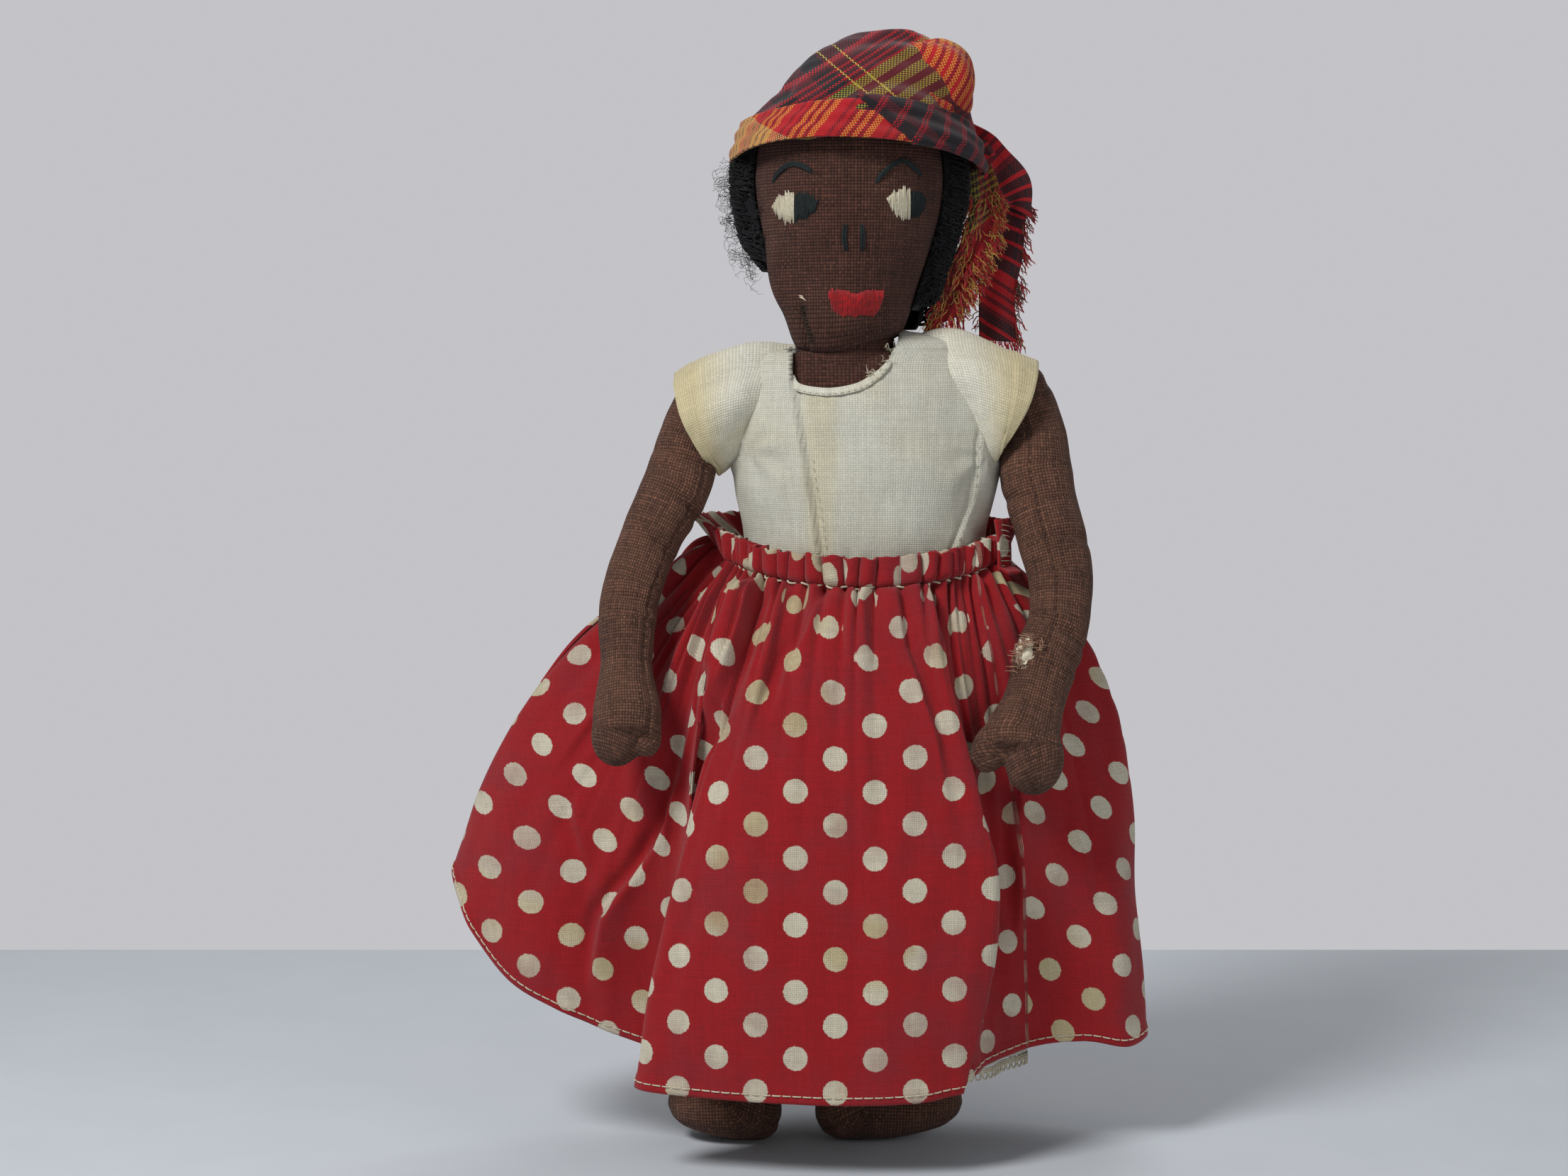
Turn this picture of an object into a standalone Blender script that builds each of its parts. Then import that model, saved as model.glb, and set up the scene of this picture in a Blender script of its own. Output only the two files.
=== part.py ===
"""A stuffed cloth doll, about 26 cm tall, standing on its feet with its arms at its sides.

Brown cotton head, trunk, arms and legs, a white blouse with cap sleeves, a gathered skirt over a
lace-edged petticoat, wool hair, a knotted headscarf and an embroidered face. Metres, +Z up, the face
towards -Y, and the floor at Z = 0. Right and left are the doll's own, so its right side is at -X.
"""

import math

import bmesh
import bpy
from mathutils import Matrix, Vector

MM = 0.001

# Clearances and cloth
GAP = 0.35 * MM  # between two pieces that touch
JOINT_GAP = 0.45 * MM  # between a stuffed form and the socket that it turns in
CLOTH = 0.9 * MM  # a folded or lined layer of dress cloth
OVERRUN = 30 * MM  # how far a cutter reaches past what it cuts

# Trunk
HIP_HEIGHT = 108 * MM
TORSO_LENGTH = 80 * MM
TORSO_HALF_WIDTH = 30.3 * MM
TORSO_HALF_DEPTH = 17.5 * MM
TORSO_SHIFT = 1.9 * MM  # the trunk's middle lies this far to the doll's left
TORSO_CORNERS = 12
# Each row is a ring: its share of the length above the hip seam, of the half width and of the half depth.
TORSO_RING_SHARES = (
    (0.0, 0.82, 0.025),
    (0.07, 0.90, 0.36),
    (0.20, 0.93, 0.82),
    (0.34, 0.90, 1.00),
    (0.46, 0.89, 1.03),
    (0.61, 0.98, 1.02),
    (0.76, 1.00, 0.90),
    (0.88, 0.96, 0.72),
    (0.96, 0.84, 0.54),
    (1.0, 0.60, 0.32),
)

# Neck
NECK_RADIUS = 10.6 * MM
NECK_HEIGHT = 14 * MM  # from the nod axis to the top
NECK_DROP = 8 * MM  # the nod axis lies this far under the top of the trunk
NECK_TOP_SHARE = 0.88  # the neck's top is this much of its radius

# Head
HEAD_HEIGHT = 66 * MM
HEAD_HALF_WIDTH = 21.7 * MM
HEAD_HALF_DEPTH = 19 * MM
HEAD_LIFT = 8 * MM  # the chin lies this far above the nod axis
HEAD_SHIFT = 1.8 * MM  # the head's middle lies this far to the doll's right
HEAD_CORNERS = 12
# Each row is a ring: its share of the height above the chin, of the half width and of the half depth.
HEAD_RING_SHARES = (
    (0.0, 0.53, 0.58),
    (0.04, 0.58, 0.72),
    (0.12, 0.66, 0.86),
    (0.25, 0.79, 0.96),
    (0.38, 0.92, 1.01),
    (0.50, 1.00, 1.03),
    (0.63, 1.01, 1.04),
    (0.76, 0.92, 0.98),
    (0.88, 0.68, 0.78),
    (0.97, 0.36, 0.42),
)

# Embroidery, raised above the cloth of the face
STITCH_HEIGHT = 0.6 * MM
RIGHT_EYE_HALF_WIDTH = 5.3 * MM
LEFT_EYE_HALF_WIDTH = 4.6 * MM
EYE_HALF_HEIGHT = 3.8 * MM
EYE_SPACING = 12.7 * MM  # from the middle of the face to the middle of an eye
EYE_HEIGHT_SHARE = 0.479  # of the head's height above the chin
BROW_THREAD = 0.9 * MM
BROW_RISE = 3.2 * MM  # how far the arch stands above its ends
BROW_HALF_SPAN = 4.8 * MM
BROW_HEIGHT_SHARE = 0.575
NOSTRIL_HALF_SPACING = 1.9 * MM
NOSTRIL_LENGTH = 5.6 * MM
NOSTRIL_THREAD = 1 * MM
NOSTRIL_HEIGHT_SHARE = 0.374
MOUTH_HALF_WIDTH = 6.4 * MM
MOUTH_HALF_HEIGHT = 2.9 * MM
MOUTH_HEIGHT_SHARE = 0.146
MOUTH_SHIFT = 2 * MM  # the mouth lies this far to the doll's left of the middle of the face

# Outlines as shares of the half width and the half height of the feature.
EYE_WHITE_OUTLINE_SHARES = (
    (-1.0, 0.1), (-0.72, 0.75), (-0.35, 1.0), (-0.02, 0.85), (-0.02, -0.9), (-0.4, -1.0), (-0.75, -0.5),
)
PUPIL_OUTLINE_SHARES = (
    (0.06, 0.85), (0.5, 0.9), (0.82, 0.7), (1.0, 0.2), (0.85, -0.4), (0.5, -0.85), (0.06, -0.95),
)
MOUTH_OUTLINE_SHARES = (
    (-1.0, 0.35), (-0.95, 0.95), (-0.5, 1.0), (0.02, 0.72), (0.5, 0.95),
    (1.0, 0.92), (0.86, 0.1), (0.66, -0.8), (0.0, -1.0), (-0.5, -0.8), (-0.85, -0.3),
)

# Arms
ARM_LENGTH = 88 * MM
ARM_HALF_WIDTH = 7.2 * MM
ARM_DEPTH_SHARE = 0.88  # an arm is a little flatter than it is wide
ARM_FORWARD_SHARE = 0.41  # the hand lies this share of the length in front of the shoulder
ARM_CORNERS = 8
SHOULDER_DROP = 12 * MM  # the shoulder pivot lies this far under the top of the trunk
SHOULDER_OUT = 6.2 * MM  # and this far outside the trunk's half width
SHOULDER_BALL = 7.8 * MM  # the top of an arm stays inside a ball of this radius
# Each row is a ring: shares of the arm's length outwards and down, then of its half width.
RIGHT_ARM_SHARES = (
    (0.0, -0.085, 0.36),
    (0.0, -0.055, 0.78),
    (0.0, 0.0, 1.02),
    (0.050, 0.120, 1.04),
    (0.084, 0.236, 1.11),
    (0.148, 0.366, 0.98),
    (0.196, 0.500, 0.94),
    (0.209, 0.590, 0.92),
    (0.209, 0.678, 0.83),
    (0.208, 0.735, 0.90),
    (0.204, 0.809, 1.08),
    (0.205, 0.870, 1.06),
)
LEFT_ARM_SHARES = (
    (0.0, -0.085, 0.36),
    (0.0, -0.055, 0.78),
    (0.0, 0.0, 1.02),
    (0.036, 0.102, 1.02),
    (0.037, 0.198, 1.19),
    (0.055, 0.290, 1.13),
    (0.076, 0.380, 1.11),
    (0.095, 0.476, 1.05),
    (0.086, 0.585, 0.98),
    (0.053, 0.668, 1.05),
    (0.033, 0.731, 0.98),
    (0.010, 0.800, 1.02),
    (-0.018, 0.870, 1.20),
    (-0.024, 0.910, 1.12),
)
# Two rounded lobes end each hand: outwards and down from the shoulder, then a half width and a half height.
RIGHT_FINGER_SHARES = (0.231, 0.872, 0.066, 0.076)
RIGHT_THUMB_SHARES = (0.152, 0.870, 0.040, 0.054)
LEFT_FINGER_SHARES = (0.012, 0.925, 0.076, 0.095)
LEFT_THUMB_SHARES = (-0.098, 0.895, 0.050, 0.070)
HAND_DEPTH_SHARE = 0.78
LEFT_THUMB_TURN = math.radians(24)
FINGER_TURN = math.radians(8)

# Cotton wadding that shows where the left wrist is worn through
WADDING_RADIUS = 2.4 * MM
WADDING_SHARES = (-0.008, 0.668)  # outwards and down from the shoulder
WADDING_FORWARD = 4.4 * MM  # in front of the middle of the arm

# Legs
LEG_HALF_WIDTH = 9.8 * MM
LEG_HALF_DEPTH = 9.2 * MM
LEG_SPACING = 12.6 * MM  # from the middle to the top of each leg
LEG_RISE = 0.27 * MM  # the legs' cages start this far above the hip seam, which smoothing draws back
LEG_CORNERS = 8
LEG_LEAN = 15.5 * MM  # both legs lean this far to the doll's right at the ankle
ANKLE_HEIGHT = 12 * MM
# Each row is a ring: its share of the way down to the ankle, of the half width and of the half depth.
LEG_RING_SHARES = (
    (0.0, 0.98, 0.05),
    (0.06, 1.00, 0.42),
    (0.16, 1.00, 0.86),
    (0.34, 1.00, 1.00),
    (0.60, 0.94, 0.97),
    (0.84, 0.88, 0.94),
    (1.0, 0.84, 0.92),
)
FOOT_HEIGHT = 14.5 * MM
FOOT_HALF_DEPTH = 11 * MM
RIGHT_FOOT_LENGTH = 27 * MM
LEFT_FOOT_LENGTH = 35 * MM
HEEL_REACH = 8.6 * MM  # from the ankle's middle to the back of the heel
TOE_RISE = 2.4 * MM
SOLE_CUT = 0.95 * MM  # how far the feet's cages reach under the floor, of which about half is flat sole
FOOT_CORNERS = 8
# Along a foot from heel to toe: shares of the length, of the half height and of the half depth.
FOOT_RING_SHARES = (
    (0.02, 0.45, 0.45), (0.10, 0.86, 0.80), (0.28, 1.0, 0.98), (0.52, 0.98, 1.02),
    (0.76, 0.86, 0.92), (0.92, 0.60, 0.62), (0.985, 0.32, 0.34),
)

# Blouse
BLOUSE_BOTTOM_SHARE = 0.24  # of the trunk's length above the hip seam
NECKLINE_HALF_WIDTH = 13.2 * MM
NECKLINE_DROP = 10.5 * MM  # below the top of the trunk, at the front
NECKLINE_BACK_DROP = 6 * MM
BINDING_WIDTH = 2.4 * MM
SEAM_GAP = 0.5 * MM  # between the front and back panels at the side seams

# Sleeves: each a short tube from the armhole to a slanting hem
SLEEVE_COLUMNS = 20
SLEEVE_ROWS = 4
SLEEVE_START_OUT = 23 * MM  # the tube starts inside the trunk and is cut to the blouse
SLEEVE_START_DROP = 14 * MM
SLEEVE_START_HALF_HEIGHT = 13.8 * MM
SLEEVE_HALF_DEPTH = 10.6 * MM
SLEEVE_START_TILT = math.radians(-6)
SLEEVE_HEM_TILT = math.radians(25)
RIGHT_HEM_OUT = 39.2 * MM
RIGHT_HEM_DROP = 18.3 * MM
LEFT_HEM_OUT = 34.8 * MM
LEFT_HEM_DROP = 16 * MM
HEM_HALF_HEIGHT = 11.9 * MM

# Skirt: every station is one line of cloth from the waist to the hem. Angles are round the waist from the
# front, towards the doll's left. Places are shares of the spread, sideways, forwards and up.
SKIRT_SPREAD = 100 * MM
SKIRT_SHIFT = 1.5 * MM  # the waist's middle lies this far to the doll's left
WAIST_HALF_WIDTH = 31.2 * MM
WAIST_HALF_DEPTH = 21.2 * MM
WAIST_HEIGHT = 132.5 * MM
WAIST_SIDE_RISE = 2 * MM
WAIST_BACK_RISE = 8.5 * MM
SKIRT_ROWS = 7
SKIRT_STATION_SHARES = (
    # waist angle, then hip, middle and hem places
    (-98, (-0.52, -0.02, 1.195), (-0.85, -0.03, 0.92), (-0.95, -0.04, 0.63)),
    (-90, (-0.49, 0.05, 1.16), (-0.795, 0.06, 0.809), (-0.906, 0.04, 0.507)),
    (-83, (-0.466, 0.1, 1.159), (-0.702, 0.1, 0.735), (-0.812, 0.09, 0.398)),
    (-76, (-0.425, 0.13, 1.142), (-0.612, 0.12, 0.699), (-0.701, 0.12, 0.336)),
    (-69, (-0.385, 0.15, 1.135), (-0.533, 0.14, 0.683), (-0.591, 0.14, 0.291)),
    (-62, (-0.345, 0.18, 1.128), (-0.433, 0.17, 0.668), (-0.482, 0.17, 0.258)),
    (-56, (-0.306, 0.21, 1.121), (-0.354, 0.22, 0.657), (-0.412, 0.22, 0.241)),
    (-51, (-0.296, 0.24, 1.124), (-0.381, 0.28, 0.658), (-0.448, 0.28, 0.216)),
    (-45, (-0.276, 0.26, 1.116), (-0.418, 0.32, 0.655), (-0.504, 0.32, 0.207)),
    (-38, (-0.237, 0.28, 1.118), (-0.369, 0.36, 0.662), (-0.454, 0.37, 0.209)),
    (-29, (-0.18, 0.29, 1.119), (-0.265, 0.38, 0.665), (-0.33, 0.4, 0.207)),
    (-17, (-0.103, 0.3, 1.121), (-0.142, 0.39, 0.667), (-0.179, 0.42, 0.202)),
    (-4, (-0.017, 0.3, 1.121), (-0.019, 0.39, 0.667), (-0.029, 0.43, 0.2)),
    (9, (0.069, 0.3, 1.121), (0.104, 0.38, 0.665), (0.103, 0.41, 0.2)),
    (21, (0.147, 0.28, 1.118), (0.2, 0.36, 0.662), (0.199, 0.38, 0.202)),
    (31, (0.205, 0.27, 1.117), (0.278, 0.32, 0.665), (0.259, 0.33, 0.209)),
    (38, (0.226, 0.24, 1.124), (0.254, 0.26, 0.664), (0.282, 0.27, 0.223)),
    (45, (0.266, 0.22, 1.122), (0.296, 0.21, 0.665), (0.325, 0.21, 0.238)),
    (53, (0.326, 0.19, 1.129), (0.395, 0.18, 0.67), (0.416, 0.16, 0.256)),
    (63, (0.398, 0.15, 1.144), (0.505, 0.15, 0.684), (0.537, 0.13, 0.259)),
    (75, (0.48, 0.09, 1.16), (0.59, 0.1, 0.69), (0.628, 0.09, 0.24)),
    (88, (0.545, 0.02, 1.18), (0.645, 0.02, 0.700), (0.695, 0.01, 0.252)),
    (102, (0.515, -0.05, 1.16), (0.625, -0.07, 0.68), (0.675, -0.08, 0.24)),
    (112, (0.473, -0.094, 1.147), (0.584, -0.114, 0.656), (0.622, -0.123, 0.221)),
    (121, (0.426, -0.134, 1.13), (0.539, -0.155, 0.641), (0.581, -0.167, 0.212)),
    (130, (0.36, -0.162, 1.118), (0.441, -0.179, 0.626), (0.465, -0.193, 0.194)),
    (140, (0.298, -0.196, 1.11), (0.372, -0.222, 0.623), (0.398, -0.246, 0.195)),
    (150, (0.216, -0.211, 1.103), (0.248, -0.229, 0.609), (0.262, -0.243, 0.177)),
    (161, (0.138, -0.236, 1.102), (0.159, -0.277, 0.616), (0.181, -0.306, 0.188)),
    (172, (0.044, -0.231, 1.098), (0.037, -0.247, 0.604), (0.043, -0.264, 0.171)),
    (183, (-0.045, -0.244, 1.103), (-0.078, -0.288, 0.619), (-0.083, -0.326, 0.192)),
    (194, (-0.129, -0.228, 1.105), (-0.182, -0.247, 0.618), (-0.191, -0.262, 0.185)),
    (205, (-0.221, -0.224, 1.119), (-0.329, -0.259, 0.648), (-0.361, -0.287, 0.231)),
    (216, (-0.296, -0.195, 1.133), (-0.422, -0.213, 0.665), (-0.451, -0.237, 0.265)),
    (227, (-0.38, -0.168, 1.157), (-0.566, -0.191, 0.723), (-0.624, -0.223, 0.35)),
    (238, (-0.447, -0.129, 1.179), (-0.66, -0.148, 0.777), (-0.726, -0.177, 0.426)),
    (247, (-0.497, -0.092, 1.2), (-0.76, -0.112, 0.846), (-0.846, -0.143, 0.517)),
    (255, (-0.505, -0.055, 1.19), (-0.811, -0.072, 0.891), (-0.902, -0.095, 0.579)),
)

# Gathered heading above the skirt's stitching, and the closing flap at the doll's left
RUFFLE_COLUMNS = 72
RUFFLE_ROWS = 2
RUFFLE_COUNT = 18
RUFFLE_DEPTH = 0.55 * MM
RUFFLE_HEIGHT = 6.5 * MM
RUFFLE_FLARE = 0.8 * MM
FLAP_WIDTH = 8.5 * MM
FLAP_HEIGHT = 12.5 * MM
FLAP_ANGLE = math.radians(74)
FLAP_RISE = 4.5 * MM  # how far the flap stands above the heading
FLAP_LEAN = 1.8  # outwards, for each length below the skirt's stitching

# Petticoat and its lace
PETTICOAT_COLUMNS = 32
PETTICOAT_ROWS = 4
PETTICOAT_TOP_SHARE = 0.21  # of the trunk's length above the hip seam
PETTICOAT_TOP_GAP = 1.2 * MM
PETTICOAT_HALF_WIDTH = 39 * MM
PETTICOAT_HALF_DEPTH = 24.5 * MM
PETTICOAT_HEM = 21 * MM
PETTICOAT_FOLDS = 8
PETTICOAT_FOLD_SHARE = 0.045
LACE_WIDTH = 3 * MM
LACE_THICKNESS = 0.6 * MM

# Hair: a thick roll of wool round the sides and the back of the head
HAIR_THICKNESS = 5.4 * MM
HAIR_SIDE_BOTTOM_SHARE = 0.20  # shares of the head's height above the chin
HAIR_BACK_BOTTOM_SHARE = 0.10
HAIR_SIDE_FRONT = 7 * MM  # the side rolls start this far in front of the middle of the head
HAIR_SIDE_BACK = 8 * MM  # and end this far behind it
HAIRLINE_SHARE = 0.80  # the side rolls start at this share of the head's half width

# Headscarf
SCARF_GAP = 0.4 * MM
BAND_WIDTH = 8.5 * MM
BAND_HALF_WIDTH = 28.8 * MM
BAND_HALF_DEPTH = 24.8 * MM
BAND_MIDDLE_SHARES = (0.08, 0.05, 0.730)  # of the head's half width, half depth and height
BAND_TILT = math.radians(-6)
BAND_ROLL = math.radians(2.2)
BAND_RING_SHARES = ((-0.5, 0.955, 0.955), (-0.28, 1.0, 1.0), (0.28, 1.0, 1.0), (0.5, 0.95, 0.95))
# Each row is a ring of the wrap over the crown: sideways, backwards and up, then its half width and depth,
# as shares of the head's half width, half depth and height.
WRAP_RING_SHARES = (
    (0.06, 0.05, 0.70, 1.26, 1.24),
    (0.10, 0.05, 0.80, 1.20, 1.18),
    (0.22, 0.08, 0.885, 1.00, 1.02),
    (0.32, 0.12, 0.965, 0.84, 0.86),
    (0.42, 0.16, 1.05, 0.60, 0.64),
    (0.48, 0.20, 1.115, 0.30, 0.34),
)
PUFF_SHARES = (0.94, 0.12, 0.93)  # sideways, backwards and up
PUFF_RADII_SHARES = (0.46, 0.60, 0.155)
KNOT_RADIUS = 4.4 * MM
KNOT_SHARES = (1.42, 0.42, 0.695)
TAIL_THICKNESS = 1.1 * MM
TAIL_DROP = 0.55 * MM  # from the knot to the tops of the tails
TAIL_OUTER_WIDTH = 9.5 * MM
TAIL_OUTER_LENGTH = 42 * MM
TAIL_INNER_WIDTH = 8 * MM
TAIL_INNER_LENGTH = 38 * MM
TAIL_COLUMNS = 4
TAIL_ROWS = 12
# Each row is a place along a tail: down, outwards and backwards, as shares of its length.
TAIL_OUTER_SHARES = (
    (0.0, 0.02, 0.02),
    (0.03, 0.12, 0.04),
    (0.12, 0.20, 0.07),
    (0.35, 0.18, 0.10),
    (0.65, 0.12, 0.11),
    (1.0, 0.10, 0.10),
)
TAIL_INNER_SHARES = (
    (0.0, 0.0, -0.05),
    (0.2, 0.03, -0.10),
    (0.45, -0.03, -0.13),
    (0.72, -0.11, -0.14),
    (1.0, -0.19, -0.15),
)
OUTER_TAIL_TURN = math.radians(40)
INNER_TAIL_TURN = math.radians(18)

# Places that follow from the sizes above
TORSO_TOP = HIP_HEIGHT + TORSO_LENGTH
NOD_AXIS_HEIGHT = TORSO_TOP - NECK_DROP
CHIN_HEIGHT = NOD_AXIS_HEIGHT + HEAD_LIFT
HEAD_MIDDLE = Vector((-HEAD_SHIFT, 0, CHIN_HEIGHT))
SHOULDER_HEIGHT = TORSO_TOP - SHOULDER_DROP
SHOULDER_REACH = TORSO_HALF_WIDTH + SHOULDER_OUT
TORSO_FOOT = Vector((TORSO_SHIFT, 0, HIP_HEIGHT))
NECKLINE_HEIGHT = TORSO_TOP - NECKLINE_DROP

# Finishes: colour, then roughness
FINISHES = {
    "brown_cotton": ((0.105, 0.048, 0.034), 0.92),
    "white_cotton": ((0.66, 0.65, 0.58), 0.90),
    "red_cotton": ((0.36, 0.012, 0.016), 0.90),
    "madras_cotton": ((0.30, 0.06, 0.03), 0.90),
    "black_wool": ((0.008, 0.009, 0.011), 0.96),
    "black_thread": ((0.010, 0.016, 0.019), 0.70),
    "cream_thread": ((0.60, 0.56, 0.44), 0.70),
    "red_thread": ((0.42, 0.010, 0.012), 0.65),
    "cotton_wadding": ((0.72, 0.68, 0.56), 0.97),
}


def clear_scene():
    """Removes every object that the file opened with."""
    for old in list(bpy.data.objects):
        bpy.data.objects.remove(old)


def new_collection(name):
    """A collection of the scene."""
    made = bpy.data.collections.new(name)
    bpy.context.scene.collection.children.link(made)
    return made


def make_finish(name):
    """A Principled material of the named finish."""
    colour, roughness = FINISHES[name]
    finish = bpy.data.materials.new(name)
    finish.use_nodes = True
    shader = finish.node_tree.nodes["Principled BSDF"]
    shader.inputs["Base Color"].default_value = (*colour, 1)
    shader.inputs["Roughness"].default_value = roughness
    shader.inputs["Metallic"].default_value = 0
    return finish


def new_object(name, shape, finish=None, collection=None):
    """An object from a mesh or from a bmesh, which is freed. With no finish it is a hidden helper."""
    if isinstance(shape, bmesh.types.BMesh):
        mesh = bpy.data.meshes.new(name)
        shape.to_mesh(mesh)
        shape.free()
        shape = mesh
    made = bpy.data.objects.new(name, shape)
    (collection or HELPERS).objects.link(made)
    if finish is None:
        made.hide_render = True
        made.display_type = "WIRE"
    else:
        shape.materials.clear()
        shape.materials.append(finish)
        shape.shade_smooth()
        shape.set_sharp_from_angle(angle=math.radians(50))
    return made


def evaluated_mesh(source):
    """A mesh of an object as its modifiers leave it, with its place applied."""
    bpy.context.view_layer.update()
    graph = bpy.context.evaluated_depsgraph_get()
    mesh = bpy.data.meshes.new_from_object(source.evaluated_get(graph))
    mesh.transform(source.matrix_world)
    return mesh


def grown(source, distance, name="grown"):
    """A helper copy of a solid with its surface moved outwards by a distance."""
    copy = bmesh.new()
    copy.from_mesh(evaluated_mesh(source))
    bmesh.ops.remove_doubles(copy, verts=copy.verts, dist=GAP / 100)
    copy.normal_update()
    for vert in copy.verts:
        vert.co += vert.normal * distance
    return new_object(name, copy)


def combine(target, operation, *others):
    """Adds one Boolean modifier for each other solid."""
    for other in others:
        modifier = target.modifiers.new(operation.title(), "BOOLEAN")
        modifier.operation = operation
        modifier.solver = "EXACT"
        modifier.object = other
    return target


def smooth_levels(target, levels):
    """A Subdivision Surface modifier whose render matches the view."""
    modifier = target.modifiers.new("Subdivision", "SUBSURF")
    modifier.levels = modifier.render_levels = levels
    return target


def solidify(target, thickness, offset=-1):
    """Gives an open surface its thickness."""
    modifier = target.modifiers.new("Solidify", "SOLIDIFY")
    modifier.thickness = thickness
    modifier.offset = offset
    modifier.use_even_offset = False
    return target


def open_shell(name, form, gap, thickness, planes):
    """A layer of cloth over a form, trimmed away on the outer side of each plane."""
    layer = bmesh.new()
    layer.from_mesh(grown(form, gap).data)
    for place, outward in planes:
        everything = layer.verts[:] + layer.edges[:] + layer.faces[:]
        bmesh.ops.bisect_plane(layer, geom=everything, plane_co=place, plane_no=outward, clear_outer=True)
    return solidify(new_object(name, layer), thickness, offset=1)


def box(name, low, high):
    """A helper block between two corners."""
    low, high = Vector(low), Vector(high)
    block = bmesh.new()
    bmesh.ops.create_cube(block, size=1)
    bmesh.ops.scale(block, vec=high - low, verts=block.verts)
    bmesh.ops.translate(block, vec=(low + high) / 2, verts=block.verts)
    return new_object(name, block)


def ball(name, centre, radii, turn=None, segments=14, rings=9):
    """A helper ball, stretched to three radii and turned about its own middle."""
    form = bmesh.new()
    bmesh.ops.create_uvsphere(form, u_segments=segments, v_segments=rings, radius=1)
    bmesh.ops.scale(form, vec=radii, verts=form.verts)
    if turn is not None:
        bmesh.ops.rotate(form, matrix=turn, verts=form.verts)
    bmesh.ops.translate(form, vec=centre, verts=form.verts)
    return new_object(name, form)


def cage_growth(corners):
    """How much wider a cage ring has to be than the smooth oval that subdivision draws from it."""
    return 6 / (4 + 2 * math.cos(math.tau / corners))


def loft(name, rings, corners, levels=1):
    """A stuffed form drawn over oval rings, each a place, a sideways and a frontal vector."""
    growth = cage_growth(corners)
    cage = bmesh.new()
    loops = []
    for centre, side, front in rings:
        frame = Matrix((side * growth, front * growth, side.cross(front).normalized())).transposed().to_4x4()
        frame.translation = centre
        circle = bmesh.ops.create_circle(cage, segments=corners, radius=1, matrix=frame)["verts"]
        loops.append([edge for edge in cage.edges if edge.verts[0] in circle and edge.verts[1] in circle])
    for first, second in zip(loops, loops[1:]):
        bmesh.ops.bridge_loops(cage, edges=first + second)
    bmesh.ops.holes_fill(cage, edges=loops[0] + loops[-1], sides=corners)
    bmesh.ops.recalc_face_normals(cage, faces=cage.faces)
    return smooth_levels(new_object(name, cage), levels)


def upright_rings(rows, foot, length, half_width, half_depth):
    """Level rings of a form that stands on a place."""
    return [
        (
            foot + Vector((0, 0, length * up)),
            Vector((half_width * wide, 0, 0)),
            Vector((0, half_depth * deep, 0)),
        )
        for up, wide, deep in rows
    ]


def route_rings(places, half_widths, depth_share):
    """Rings square to a route, each as wide as asked and flatter from front to back."""
    rings = []
    for index, (place, half_width) in enumerate(zip(places, half_widths)):
        along = (places[min(index + 1, len(places) - 1)] - places[max(index - 1, 0)]).normalized()
        front = Vector((0, 1, 0))
        front = (front - along * front.dot(along)).normalized()
        rings.append((place, along.cross(front) * half_width, front * half_width * depth_share))
    return rings


def finished(name, form, finish):
    """The visible node made from a helper form."""
    made = new_object(name, evaluated_mesh(form), finish, DOLL)
    cleaner = bmesh.new()
    cleaner.from_mesh(made.data)
    bmesh.ops.remove_doubles(cleaner, verts=cleaner.verts, dist=GAP / 100)
    bmesh.ops.dissolve_degenerate(cleaner, edges=cleaner.edges, dist=GAP / 100)
    cleaner.to_mesh(made.data)
    cleaner.free()
    return made


def tube_surface(columns, rows, place):
    """An open tube whose points lie where place(turn share, height share) says, from the top down."""
    tube = bmesh.new()
    bmesh.ops.create_cone(tube, cap_ends=False, segments=columns, radius1=1, radius2=1, depth=1)
    upright = [edge for edge in tube.edges if abs(edge.verts[0].co.z - edge.verts[1].co.z) > 0.5]
    bmesh.ops.subdivide_edges(tube, edges=upright, cuts=rows - 1, use_grid_fill=True)
    for vert in tube.verts:
        turn = math.atan2(vert.co.x, -vert.co.y) / math.tau
        vert.co = place(turn, 0.5 - vert.co.z)
    bmesh.ops.recalc_face_normals(tube, faces=tube.faces)
    return tube


def spline_at(points, place):
    """A smooth curve through points at a place counted in points: it passes through every point."""
    index = min(int(math.floor(place)), len(points) - 2)
    share = place - index
    before = points[max(index - 1, 0)]
    first, second = points[index], points[index + 1]
    after = points[min(index + 2, len(points) - 1)]
    return tuple(
        0.5
        * (
            2 * b
            + (c - a) * share
            + (2 * a - 5 * b + 4 * c - d) * share**2
            + (3 * b - a - 3 * c + d) * share**3
        )
        for a, b, c, d in zip(before, first, second, after)
    )


def prism(name, outline, near, far):
    """A helper block with an outline in the X and Z plane, from one Y to another."""
    block = bmesh.new()
    verts = [block.verts.new((x, near, z)) for x, z in outline]
    face = block.faces.new(verts)
    moved = bmesh.ops.extrude_face_region(block, geom=[face])["geom"]
    far_side = [item for item in moved if isinstance(item, bmesh.types.BMVert)]
    bmesh.ops.translate(block, vec=(0, far - near, 0), verts=far_side)
    bmesh.ops.recalc_face_normals(block, faces=block.faces)
    return new_object(name, block)


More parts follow.
